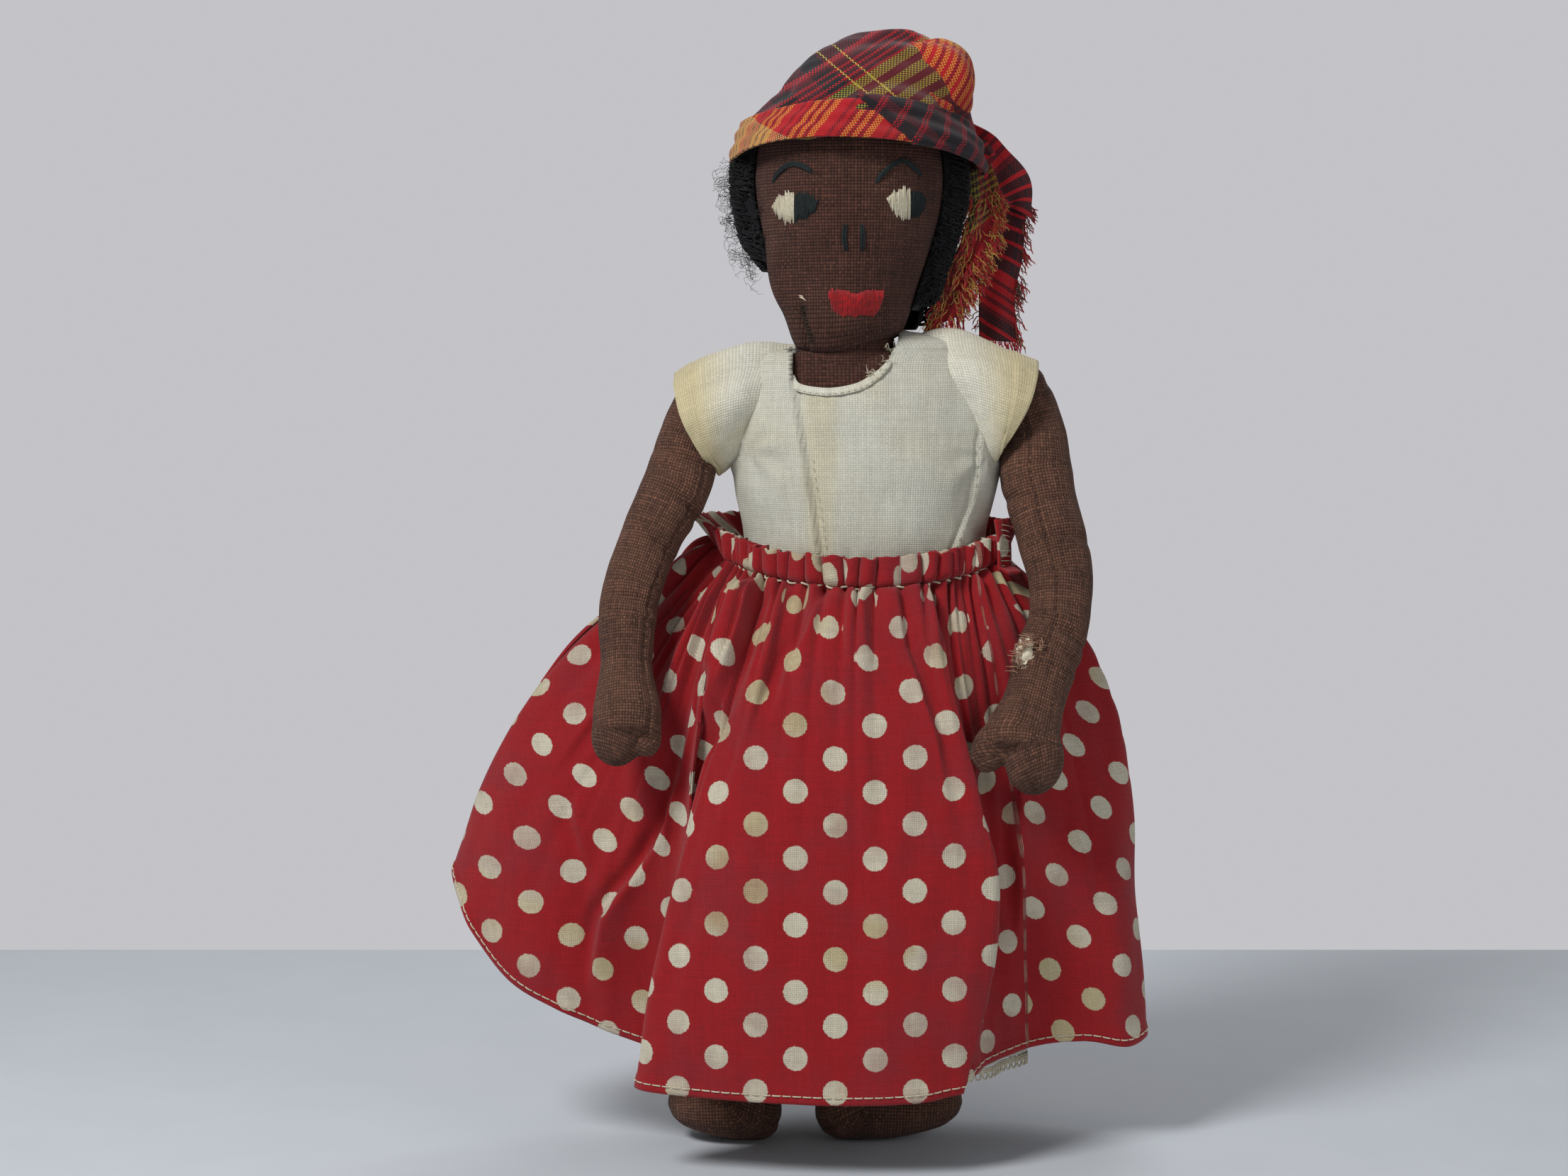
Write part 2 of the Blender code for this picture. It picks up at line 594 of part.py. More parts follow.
def make_torso():
    """The stuffed trunk, thin at the hip seam, with sockets for the neck and for both arms."""
    rings = upright_rings(TORSO_RING_SHARES, TORSO_FOOT, TORSO_LENGTH, TORSO_HALF_WIDTH, TORSO_HALF_DEPTH)
    form = loft("torso_form", rings, TORSO_CORNERS)
    reach = TORSO_HALF_WIDTH
    cut = grown(form, 0, "torso_cut")
    combine(cut, "DIFFERENCE", neck_hole(NOD_AXIS_HEIGHT, -reach, reach, -BINDING_WIDTH))
    combine(cut, "DIFFERENCE", round_cutter("neck_socket", neck_middle(), NECK_RADIUS + JOINT_GAP))
    for side in (-1, 1):
        combine(cut, "DIFFERENCE", round_cutter("arm_socket", shoulder(side), SHOULDER_BALL + JOINT_GAP))
    return form, finished("torso", cut, BROWN)


def round_cutter(name, centre, radius):
    """A helper ball, fine enough to cut a socket."""
    return ball(name, centre, (radius, radius, radius), segments=20, rings=12)


def neck_middle():
    """The point that the neck nods about."""
    return Vector((-HEAD_SHIFT, 0, NOD_AXIS_HEIGHT))


def neck_profile(extra):
    """The turned outline of the neck, from its top down its outer side, grown by a clearance."""
    radius = NECK_RADIUS + extra
    top = NECK_HEIGHT + extra
    shoulder = math.radians(35)
    steps = 6
    outline = [(0, top), (NECK_TOP_SHARE * radius, top)]
    for step in range(steps + 1):
        angle = shoulder - (shoulder + math.pi / 2) * step / steps
        outline.append((radius * math.cos(angle), radius * math.sin(angle)))
    return outline


def turned(name, outline, centre, steps=20):
    """A helper form turned about Z from an outline of radius and height."""
    line = bmesh.new()
    points = [line.verts.new((radius, 0, height)) for radius, height in outline]
    for first, second in zip(points, points[1:]):
        line.edges.new((first, second))
    form = new_object(name, line)
    form.location = centre
    screw = form.modifiers.new("Screw", "SCREW")
    screw.steps = screw.render_steps = steps
    screw.use_merge_vertices = True
    screw.merge_threshold = GAP / 10
    return form


def make_neck():
    """The stuffed neck: a ball at its base and a plug that the head turns on."""
    return finished("neck", turned("neck_form", neck_profile(0), neck_middle()), BROWN)


def make_head():
    """The stuffed head, with a socket over the neck's plug."""
    rings = upright_rings(HEAD_RING_SHARES, HEAD_MIDDLE, HEAD_HEIGHT, HEAD_HALF_WIDTH, HEAD_HALF_DEPTH)
    form = loft("head_form", rings, HEAD_CORNERS)
    hollow = turned("head_socket", neck_profile(JOINT_GAP), neck_middle())
    return form, finished("head", combine(grown(form, 0, "head_cut"), "DIFFERENCE", hollow), BROWN)


def face_patch(name, outline, head_form, finish):
    """A raised patch of satin stitch that follows the head inside an outline."""
    patch = prism(name + "_block", outline, -HEAD_HALF_DEPTH * 2, 0)
    combine(patch, "INTERSECT", grown(head_form, GAP + STITCH_HEIGHT))
    combine(patch, "DIFFERENCE", grown(head_form, GAP))
    return finished(name, patch, finish)


def face_height(share):
    """A height on the face, as a share of the head's height."""
    return CHIN_HEIGHT + HEAD_HEIGHT * share


def placed_outline(shares, half_width, half_height, middle, height):
    """An outline scaled to a feature and put on the face."""
    return [(middle + x * half_width, height + z * half_height) for x, z in shares]


def thread_outline(points, width):
    """The outline of a stitched line of a width along points in the X and Z plane."""
    left, right = [], []
    for index, (x, z) in enumerate(points):
        ahead, behind = points[min(index + 1, len(points) - 1)], points[max(index - 1, 0)]
        along = Vector((ahead[0] - behind[0], ahead[1] - behind[1])).normalized() * width / 2
        left.append((x - along.y, z + along.x))
        right.append((x + along.y, z - along.x))
    return left + right[::-1]


def make_embroidery(head_form):
    """The eyes, brows, nostrils and mouth."""
    middle = -HEAD_SHIFT
    eye_height = face_height(EYE_HEIGHT_SHARE)
    brow_steps = 6
    for side, name, half_width in ((-1, "right", RIGHT_EYE_HALF_WIDTH), (1, "left", LEFT_EYE_HALF_WIDTH)):
        eye = middle + side * EYE_SPACING
        place = (half_width, EYE_HALF_HEIGHT, eye, eye_height)
        face_patch(name + "_eye_white", placed_outline(EYE_WHITE_OUTLINE_SHARES, *place), head_form, CREAM)
        face_patch(name + "_pupil", placed_outline(PUPIL_OUTLINE_SHARES, *place), head_form, BLACK)
        arch = []
        for step in range(brow_steps + 1):
            share = step / brow_steps * 2 - 1
            height = face_height(BROW_HEIGHT_SHARE) + BROW_RISE * (1 - share**2)
            arch.append((eye + share * BROW_HALF_SPAN, height))
        face_patch(name + "_brow", thread_outline(arch, BROW_THREAD), head_form, BLACK)
        nostril = []
        for share in (-0.5, 0.0, 0.5):
            bow = NOSTRIL_THREAD * (0.5 - 2 * share**2)
            height = face_height(NOSTRIL_HEIGHT_SHARE) + share * NOSTRIL_LENGTH
            nostril.append((middle + side * (NOSTRIL_HALF_SPACING + bow), height))
        face_patch(name + "_nostril", thread_outline(nostril, NOSTRIL_THREAD), head_form, BLACK)
    mouth_height = face_height(MOUTH_HEIGHT_SHARE)
    mouth_size = (MOUTH_HALF_WIDTH, MOUTH_HALF_HEIGHT)
    lips = placed_outline(MOUTH_OUTLINE_SHARES, *mouth_size, middle + MOUTH_SHIFT, mouth_height)
    face_patch("mouth", lips, head_form, RED_THREAD)


def shoulder(side):
    """The point that an arm swings about. side is -1 at the doll's right and 1 at its left."""
    return Vector((TORSO_SHIFT + side * SHOULDER_REACH, 0, SHOULDER_HEIGHT))


def arm_place(side, out, down):
    """A place on an arm's middle line, from shares of the arm's length."""
    forward = ARM_FORWARD_SHARE * max(down, 0) ** 1.3
    return shoulder(side) + ARM_LENGTH * Vector((side * out, -forward, -down))


def make_arm(name, side, rows, fingers, thumb, thumb_turn):
    """A stuffed arm with a mitten hand of two lobes."""
    places = [arm_place(side, out, down) for out, down, wide in rows]
    widths = [ARM_HALF_WIDTH * wide for out, down, wide in rows]
    arm = loft(name + "_form", route_rings(places, widths, ARM_DEPTH_SHARE), ARM_CORNERS)
    lobes = []
    for lobe, turn in ((fingers, side * FINGER_TURN), (thumb, thumb_turn)):
        out, down, half_width, half_height = lobe
        radii = ARM_LENGTH * Vector((half_width, half_width * HAND_DEPTH_SHARE, half_height))
        radii.y = min(radii.y, ARM_HALF_WIDTH * ARM_DEPTH_SHARE)
        lobes.append(ball(name + "_lobe", arm_place(side, out, down), radii, Matrix.Rotation(turn, 3, "Y")))
    return combine(arm, "UNION", *lobes)


def make_arms():
    """Both arms, and the wadding that shows at the left wrist. The arms are returned, right then left."""
    right = make_arm("right_arm", -1, RIGHT_ARM_SHARES, RIGHT_FINGER_SHARES, RIGHT_THUMB_SHARES, 0)
    left = make_arm("left_arm", 1, LEFT_ARM_SHARES, LEFT_FINGER_SHARES, LEFT_THUMB_SHARES, LEFT_THUMB_TURN)
    out, down = WADDING_SHARES
    spot = arm_place(1, out, down) - Vector((0, WADDING_FORWARD, 0))
    tuft = ball("wadding_form", spot, (WADDING_RADIUS, WADDING_RADIUS, WADDING_RADIUS * 2))
    hollow = grown(tuft, GAP)
    finished("forearm_wadding", tuft, WADDING)
    combine(left, "DIFFERENCE", hollow)
    return finished("right_arm", right, BROWN), finished("left_arm", left, BROWN)


def make_leg(name, side, foot_length):
    """A stuffed leg, flat at the hip seam, with its foot turned outwards and a flat sole."""
    top = TORSO_FOOT + Vector((side * LEG_SPACING, 0, LEG_RISE))
    ankle = Vector((top.x - LEG_LEAN, 0, ANKLE_HEIGHT))
    rings = []
    for share, wide, deep in LEG_RING_SHARES:
        across, through = Vector((LEG_HALF_WIDTH * wide, 0, 0)), Vector((0, LEG_HALF_DEPTH * deep, 0))
        rings.append((top.lerp(ankle, share), across, through))
    leg = loft(name + "_form", rings, LEG_CORNERS)
    heel = ankle.x - side * HEEL_REACH
    feet = []
    for share, tall, deep in FOOT_RING_SHARES:
        half_height = FOOT_HEIGHT / 2 * tall
        height = FOOT_HEIGHT / 2 - SOLE_CUT + TOE_RISE * share**2
        place = Vector((heel + side * foot_length * share, 0, height))
        feet.append((place, Vector((0, FOOT_HALF_DEPTH * deep, 0)), Vector((0, 0, half_height))))
    foot = loft(name + "_foot", feet, FOOT_CORNERS)
    combine(leg, "UNION", foot)
    reach = SKIRT_SPREAD
    combine(leg, "DIFFERENCE", box("floor", (-reach, -reach, -OVERRUN), (reach, reach, 0)))
    return finished(name, leg, BROWN)


def make_blouse(torso_form):
    """Front and back panels over the trunk, open at the neck and the arms, and the bound neckline."""
    bottom = HIP_HEIGHT + TORSO_LENGTH * BLOUSE_BOTTOM_SHARE
    reach = TORSO_HALF_WIDTH * 2
    half_gap = SEAM_GAP / 2
    neck_room = round_cutter("neck_room", neck_middle(), NECK_RADIUS + JOINT_GAP)
    panels = (("blouse_front", NECKLINE_HEIGHT, 1), ("blouse_back", TORSO_TOP - NECKLINE_BACK_DROP, -1))
    for name, low, facing in panels:
        below = (Vector((0, 0, bottom)), Vector((0, 0, -1)))
        beyond = (Vector((0, -facing * half_gap, 0)), Vector((0, facing, 0)))
        planes = (below, beyond)
        panel = open_shell("blouse_shell", torso_form, GAP, CLOTH, planes)
        combine(panel, "DIFFERENCE", neck_hole(low, -reach, reach), neck_room)
        combine(panel, "DIFFERENCE", armhole(-1), armhole(1))
        finished(name, panel, WHITE)
    binding = grown(torso_form, 2 * (GAP + CLOTH))
    combine(binding, "DIFFERENCE", grown(torso_form, GAP + CLOTH + GAP))
    wider_hole = neck_hole(NECKLINE_HEIGHT - BINDING_WIDTH, -reach, -half_gap, BINDING_WIDTH)
    combine(binding, "INTERSECT", wider_hole)
    combine(binding, "DIFFERENCE", neck_hole(NECKLINE_HEIGHT, -reach * 2, reach), neck_room)
    finished("neck_binding", binding, WHITE)


def armhole(side):
    """A round bar along X, about the shoulder, that opens the blouse for an arm."""
    radius = SHOULDER_BALL + JOINT_GAP + GAP
    bar = bmesh.new()
    turn = Matrix.Translation(shoulder(side)) @ Matrix.Rotation(math.pi / 2, 4, "Y")
    size = {"radius1": radius, "radius2": radius, "depth": TORSO_HALF_WIDTH}
    bmesh.ops.create_cone(bar, cap_ends=True, segments=26, matrix=turn, **size)
    return new_object("armhole", bar)


def neck_hole(low, near, far, extra=0.0):
    """A block with the outline of the neckline, down to a height."""
    half_width = NECKLINE_HALF_WIDTH + extra
    top = TORSO_TOP + OVERRUN
    steps = 10
    outline = [(-HEAD_SHIFT - half_width, top)]
    depth = TORSO_TOP - low
    for step in range(steps + 1):
        angle = math.pi + math.pi * step / steps
        outline.append((-HEAD_SHIFT + half_width * math.cos(angle), low + depth + depth * math.sin(angle)))
    outline.append((-HEAD_SHIFT + half_width, top))
    return prism("neck_hole", outline, near, far)


def make_sleeve(name, side, hem_out, hem_drop, torso_form, arm):
    """A cap sleeve: a short open tube about the top of the arm, with a slanting hem."""
    start = Vector((TORSO_SHIFT + side * SLEEVE_START_OUT, 0, TORSO_TOP - SLEEVE_START_DROP))
    end = Vector((TORSO_SHIFT + side * hem_out, 0, TORSO_TOP - hem_drop))

    def place(turn, share):
        angle = turn * math.tau
        tilt = SLEEVE_START_TILT + (SLEEVE_HEM_TILT - SLEEVE_START_TILT) * share
        half_height = SLEEVE_START_HALF_HEIGHT + (HEM_HALF_HEIGHT - SLEEVE_START_HALF_HEIGHT) * share
        upward = Vector((side * math.sin(tilt), 0, math.cos(tilt)))
        forward = Vector((0, -SLEEVE_HALF_DEPTH * math.sin(angle), 0))
        return start.lerp(end, share) + upward * half_height * math.cos(angle) + forward

    sleeve = new_object(name + "_form", tube_surface(SLEEVE_COLUMNS, SLEEVE_ROWS, place))
    solidify(sleeve, CLOTH, offset=1)
    combine(sleeve, "DIFFERENCE", grown(torso_form, GAP + CLOTH + GAP), grown(arm, GAP))
    return finished(name, sleeve, WHITE)


def waist_place(angle, extra=0.0):
    """A place on the skirt's waist at an angle from the front, towards the doll's left."""
    rise = WAIST_SIDE_RISE * math.sin(angle) ** 2 + WAIST_BACK_RISE * (1 - math.cos(angle)) / 2
    return Vector((
        SKIRT_SHIFT + (WAIST_HALF_WIDTH + extra) * math.sin(angle),
        -(WAIST_HALF_DEPTH + extra) * math.cos(angle),
        WAIST_HEIGHT + rise,
    ))


def skirt_lines():
    """The cloth lines of the skirt, each four places from the waist down."""
    lines = []
    for angle, *levels in SKIRT_STATION_SHARES:
        places = [SKIRT_SPREAD * Vector((x, -front, up)) for x, front, up in levels]
        lines.append([waist_place(math.radians(angle))] + places)
    return lines


def make_skirt():
    """The skirt: one sheet round the waist that falls in a front panel between two folded flares."""
    lines = skirt_lines()
    count = len(lines)

    def place(turn, share):
        station = (turn % 1) * count
        index = int(station)
        four = [lines[(index + offset) % count] for offset in (-1, 0, 1, 2)]
        across = []
        for level in range(len(lines[0])):
            across.append(spline_at([tuple(line[level]) for line in four], 1 + station - index))
        return Vector(spline_at(across, share * (len(across) - 1)))

    skirt = new_object("skirt_form", tube_surface(2 * count, SKIRT_ROWS, place))
    solidify(skirt, CLOTH)
    return finished("skirt", skirt, RED)


def make_ruffle():
    """The gathered heading that stands above the skirt's stitching."""

    def place(turn, share):
        angle = turn * math.tau
        wave = RUFFLE_DEPTH * math.cos(angle * RUFFLE_COUNT)
        up = 1 - share
        return waist_place(angle, wave + RUFFLE_FLARE * up) + Vector((0, 0, CLOTH + RUFFLE_HEIGHT * up))

    ruffle = new_object("ruffle_form", tube_surface(RUFFLE_COLUMNS, RUFFLE_ROWS, place))
    solidify(ruffle, CLOTH)
    return finished("waist_ruffle", ruffle, RED)


def make_flap():
    """The closing flap of the skirt, tacked over the heading at the doll's left side."""
    outward = Vector((math.sin(FLAP_ANGLE), -math.cos(FLAP_ANGLE), 0))
    along = Vector((math.cos(FLAP_ANGLE), math.sin(FLAP_ANGLE), 0))
    middle = waist_place(FLAP_ANGLE, RUFFLE_DEPTH + RUFFLE_FLARE + CLOTH + GAP)
    flap = bmesh.new()
    bmesh.ops.create_grid(flap, x_segments=4, y_segments=5, size=0.5)
    for vert in flap.verts:
        bow = (0.25 - vert.co.x**2) * CLOTH * 3
        height = FLAP_HEIGHT * vert.co.y + RUFFLE_HEIGHT + FLAP_RISE - FLAP_HEIGHT / 2
        lean = max(0, -height) * FLAP_LEAN
        vert.co = middle + along * FLAP_WIDTH * vert.co.x + outward * (bow + lean) + Vector((0, 0, height))
    bmesh.ops.recalc_face_normals(flap, faces=flap.faces)
    shape = solidify(new_object("flap_form", flap), CLOTH, offset=0)
    return finished("side_placket", shape, RED)


def petticoat_place(turn, share, extra=0.0):
    """A place on the petticoat, from its top at the waist to its hem."""
    angle = turn * math.tau
    top = HIP_HEIGHT + TORSO_LENGTH * PETTICOAT_TOP_SHARE
    fold = 1 + PETTICOAT_FOLD_SHARE * share * math.cos(angle * PETTICOAT_FOLDS)
    half_width = (TORSO_HALF_WIDTH + PETTICOAT_TOP_GAP) * (1 - share) + PETTICOAT_HALF_WIDTH * share
    half_depth = (TORSO_HALF_DEPTH + PETTICOAT_TOP_GAP) * (1 - share) + PETTICOAT_HALF_DEPTH * share
    height = top + (PETTICOAT_HEM - top) * share
    wide, deep = half_width * fold + extra, half_depth * fold + extra
    return Vector((wide * math.sin(angle), -deep * math.cos(angle), height))


def make_petticoat():
    """The white petticoat under the skirt, and the lace that edges it."""
    coat = new_object("petticoat_form", tube_surface(PETTICOAT_COLUMNS, PETTICOAT_ROWS, petticoat_place))
    solidify(coat, CLOTH)
    finished("petticoat", coat, WHITE)

    def lace_place(turn, share):
        return petticoat_place(turn, 1) - Vector((0, 0, GAP + LACE_WIDTH * share))

    lace = new_object("lace_form", tube_surface(PETTICOAT_COLUMNS, 1, lace_place))
    solidify(lace, LACE_THICKNESS)
    return finished("petticoat_lace", lace, CREAM)


def make_hair(head_form):
    """Three thick rolls of wool: one down each side of the face and one across the back of the head."""
    reach = HEAD_HALF_WIDTH * 2
    side_low = CHIN_HEIGHT + HEAD_HEIGHT * HAIR_SIDE_BOTTOM_SHARE
    back_low = CHIN_HEIGHT + HEAD_HEIGHT * HAIR_BACK_BOTTOM_SHARE
    top = CHIN_HEIGHT + HEAD_HEIGHT
    middle = -HEAD_SHIFT
    edge = HEAD_HALF_WIDTH * HAIRLINE_SHARE
    front, back = -HAIR_SIDE_FRONT, HAIR_SIDE_BACK
    blocks = (
        ("hair_right", (middle - reach, front, side_low), (middle - edge, back - GAP, top)),
        ("hair_left", (middle + edge, front, side_low), (middle + reach, back - GAP, top)),
        ("hair_back", (-reach, back, back_low), (reach, reach, top)),
    )
    for name, low, high in blocks:
        roll = box("hair_block", low, high)
        combine(roll, "INTERSECT", grown(head_form, GAP + HAIR_THICKNESS))
        combine(roll, "DIFFERENCE", grown(head_form, GAP), band_side(-BAND_WIDTH / 2 - GAP, 1))
        finished(name, roll, WOOL)


def band_frame():
    """The tilt of the scarf's band round the head."""
    turn = Matrix.Rotation(BAND_TILT, 4, "X") @ Matrix.Rotation(BAND_ROLL, 4, "Y")
    return Matrix.Translation(head_place(BAND_MIDDLE_SHARES)) @ turn


def band_side(height, upward):
    """A helper block of everything above, or below, a height in the band's frame."""
    reach = HEAD_HEIGHT
    low, high = sorted((height, height + upward * reach))
    block = box("band_side", (-reach, -reach, low), (reach, reach, high))
    block.data.transform(band_frame())
    return block


def make_scarf(head_form):
    """The headscarf: the wrap over the crown, the folded band, the puff, the knot and two tails."""
    inside = grown(head_form, SCARF_GAP)
    knot = head_place(KNOT_SHARES)
    knot_room = round_cutter("knot_room", knot, KNOT_RADIUS + GAP)
    puff_place = head_place(PUFF_SHARES)
    wide, deep, tall = PUFF_RADII_SHARES
    puff_radii = Vector((HEAD_HALF_WIDTH * wide, HEAD_HALF_DEPTH * deep, HEAD_HEIGHT * tall))
    puff = ball("puff_form", puff_place, puff_radii, segments=18, rings=10)
    puff_room = grown(puff, GAP)

    band_rings = upright_rings(BAND_RING_SHARES, Vector(), BAND_WIDTH, BAND_HALF_WIDTH, BAND_HALF_DEPTH)
    band = loft("band_form", band_rings, TORSO_CORNERS)
    band.matrix_world = band_frame()
    combine(band, "DIFFERENCE", inside, knot_room)
    finished("scarf_band", band, MADRAS)

    rings = []
    for x, back, up, wide, deep in WRAP_RING_SHARES:
        across, through = Vector((HEAD_HALF_WIDTH * wide, 0, 0)), Vector((0, HEAD_HALF_DEPTH * deep, 0))
        rings.append((head_place((x, back, up)), across, through))
    wrap = loft("wrap_form", rings, TORSO_CORNERS)
    below_band = band_side(BAND_WIDTH / 2 + GAP, -1)
    combine(wrap, "DIFFERENCE", inside, below_band, puff_room)
    finished("scarf_wrap", wrap, MADRAS)

    combine(puff, "DIFFERENCE", inside, below_band)
    finished("scarf_puff", puff, MADRAS)

    knot_form = ball("knot_form", knot, (KNOT_RADIUS, KNOT_RADIUS, KNOT_RADIUS))
    combine(knot_form, "DIFFERENCE", grown(head_form, GAP + HAIR_THICKNESS + GAP))
    finished("scarf_knot", knot_form, MADRAS)
    start = knot - Vector((0, 0, KNOT_RADIUS + TAIL_DROP))
    outer_size = (TAIL_OUTER_WIDTH, TAIL_OUTER_LENGTH)
    make_tail("scarf_tail_outer", start, TAIL_OUTER_SHARES, *outer_size, OUTER_TAIL_TURN)
    inner_size = (TAIL_INNER_WIDTH, TAIL_INNER_LENGTH)
    make_tail("scarf_tail_inner", start, TAIL_INNER_SHARES, *inner_size, INNER_TAIL_TURN)


def head_place(shares):
    """A place about the head from shares of its half width, half depth and height."""
    x, back, up = shares
    return HEAD_MIDDLE + Vector((HEAD_HALF_WIDTH * x, HEAD_HALF_DEPTH * back, HEAD_HEIGHT * up))


def make_tail(name, start, rows, width, length, turn):
    """One hanging end of the scarf: a strip that leaves the knot and falls behind the shoulder."""
    tail = bmesh.new()
    bmesh.ops.create_grid(tail, x_segments=TAIL_COLUMNS, y_segments=TAIL_ROWS, size=0.5)
    for vert in tail.verts:
        share = 0.5 - vert.co.y
        down, out, back = tail_row(rows, share)
        facing = turn * (1 - 2 * share)
        spread = width * vert.co.x * (0.6 + 0.4 * min(1, share * 4))
        across = Vector((math.cos(facing), math.sin(facing), 0)) * spread
        vert.co = start + Vector((out, back, -down)) * length + across
    bmesh.ops.recalc_face_normals(tail, faces=tail.faces)
    shape = solidify(new_object(name + "_form", tail), TAIL_THICKNESS, offset=0)
    return finished(name, shape, MADRAS)


def tail_row(rows, share):
    """A smooth place along a tail's table."""
    place = 0
    while place < len(rows) - 2 and rows[place + 1][0] < share:
        place += 1
    first, second = rows[place][0], rows[place + 1][0]
    return spline_at(rows, place + (share - first) / (second - first))


clear_scene()
DOLL = new_collection("rag_doll")
HELPERS = new_collection("cutters_and_forms")
HELPERS.hide_render = True
BROWN, WHITE, RED = make_finish("brown_cotton"), make_finish("white_cotton"), make_finish("red_cotton")
MADRAS = make_finish("madras_cotton")
WOOL = make_finish("black_wool")
WADDING = make_finish("cotton_wadding")
BLACK = make_finish("black_thread")
CREAM = make_finish("cream_thread")
RED_THREAD = make_finish("red_thread")

torso_shape, torso = make_torso()
make_neck()
head_shape, head = make_head()
make_embroidery(head_shape)
right_arm, left_arm = make_arms()
make_leg("right_leg", -1, RIGHT_FOOT_LENGTH)
make_leg("left_leg", 1, LEFT_FOOT_LENGTH)
make_blouse(torso_shape)
make_sleeve("right_sleeve", -1, RIGHT_HEM_OUT, RIGHT_HEM_DROP, torso_shape, right_arm)
make_sleeve("left_sleeve", 1, LEFT_HEM_OUT, LEFT_HEM_DROP, torso_shape, left_arm)
make_skirt()
make_ruffle()
make_flap()
make_petticoat()
make_hair(head_shape)
make_scarf(head_shape)
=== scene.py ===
import logging
import math
from dataclasses import dataclass, field
from enum import Enum
from typing import Callable, Mapping, Optional, Sequence, Union

import bmesh
import bpy
import numpy as np
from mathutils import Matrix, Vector, noise


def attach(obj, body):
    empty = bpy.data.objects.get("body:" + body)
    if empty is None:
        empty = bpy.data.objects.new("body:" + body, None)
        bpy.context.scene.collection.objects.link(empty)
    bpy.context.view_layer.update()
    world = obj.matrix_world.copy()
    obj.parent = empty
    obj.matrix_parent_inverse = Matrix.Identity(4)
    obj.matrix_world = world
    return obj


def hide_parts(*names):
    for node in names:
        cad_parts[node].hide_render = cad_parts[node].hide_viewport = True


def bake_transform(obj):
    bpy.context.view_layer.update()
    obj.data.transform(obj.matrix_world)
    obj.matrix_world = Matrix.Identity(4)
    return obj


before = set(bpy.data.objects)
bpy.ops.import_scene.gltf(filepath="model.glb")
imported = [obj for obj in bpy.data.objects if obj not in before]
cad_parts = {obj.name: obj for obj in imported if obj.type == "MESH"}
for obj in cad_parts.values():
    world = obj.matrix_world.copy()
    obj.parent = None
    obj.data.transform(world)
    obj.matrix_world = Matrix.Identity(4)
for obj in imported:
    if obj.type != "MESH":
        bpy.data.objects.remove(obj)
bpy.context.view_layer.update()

log = logging.getLogger("rag_doll")
MM = 0.001
MIDDLE = 1.9  # the trunk's middle lies this far to the doll's left
SHOULDER_REACH = 36.5  # from the trunk's middle to a shoulder
FRAME_PIXELS = (2212, 1659)
Colour = tuple[float, float, float]
Number = Union[float, "Wire"]
Surface = Callable[[np.ndarray, np.ndarray], np.ndarray]


def paint(red: int, green: int, blue: int) -> Colour:
    """A given colour, as the light values that a shader takes.

    Args:
        red: The red part as a screen shows it, from 0 to 255.
        green: The green part.
        blue: The blue part.

    Returns:
        The same colour in linear values from 0 to 1.
    """
    shares = (red / 255, green / 255, blue / 255)
    return tuple(s / 12.92 if s <= 0.04045 else ((s + 0.055) / 1.055) ** 2.4 for s in shares)


class Body(Enum):
    """The moving bodies of the frame."""

    TORSO = "torso"
    NECK = "neck"
    HEAD = "head"
    OUTER_TAIL = "scarf_tail_outer"
    INNER_TAIL = "scarf_tail_inner"
    RIGHT_ARM = "right_arm"
    LEFT_ARM = "left_arm"
    SKIRT = "skirt"
    RIGHT_LEG = "right_leg"
    LEFT_LEG = "left_leg"


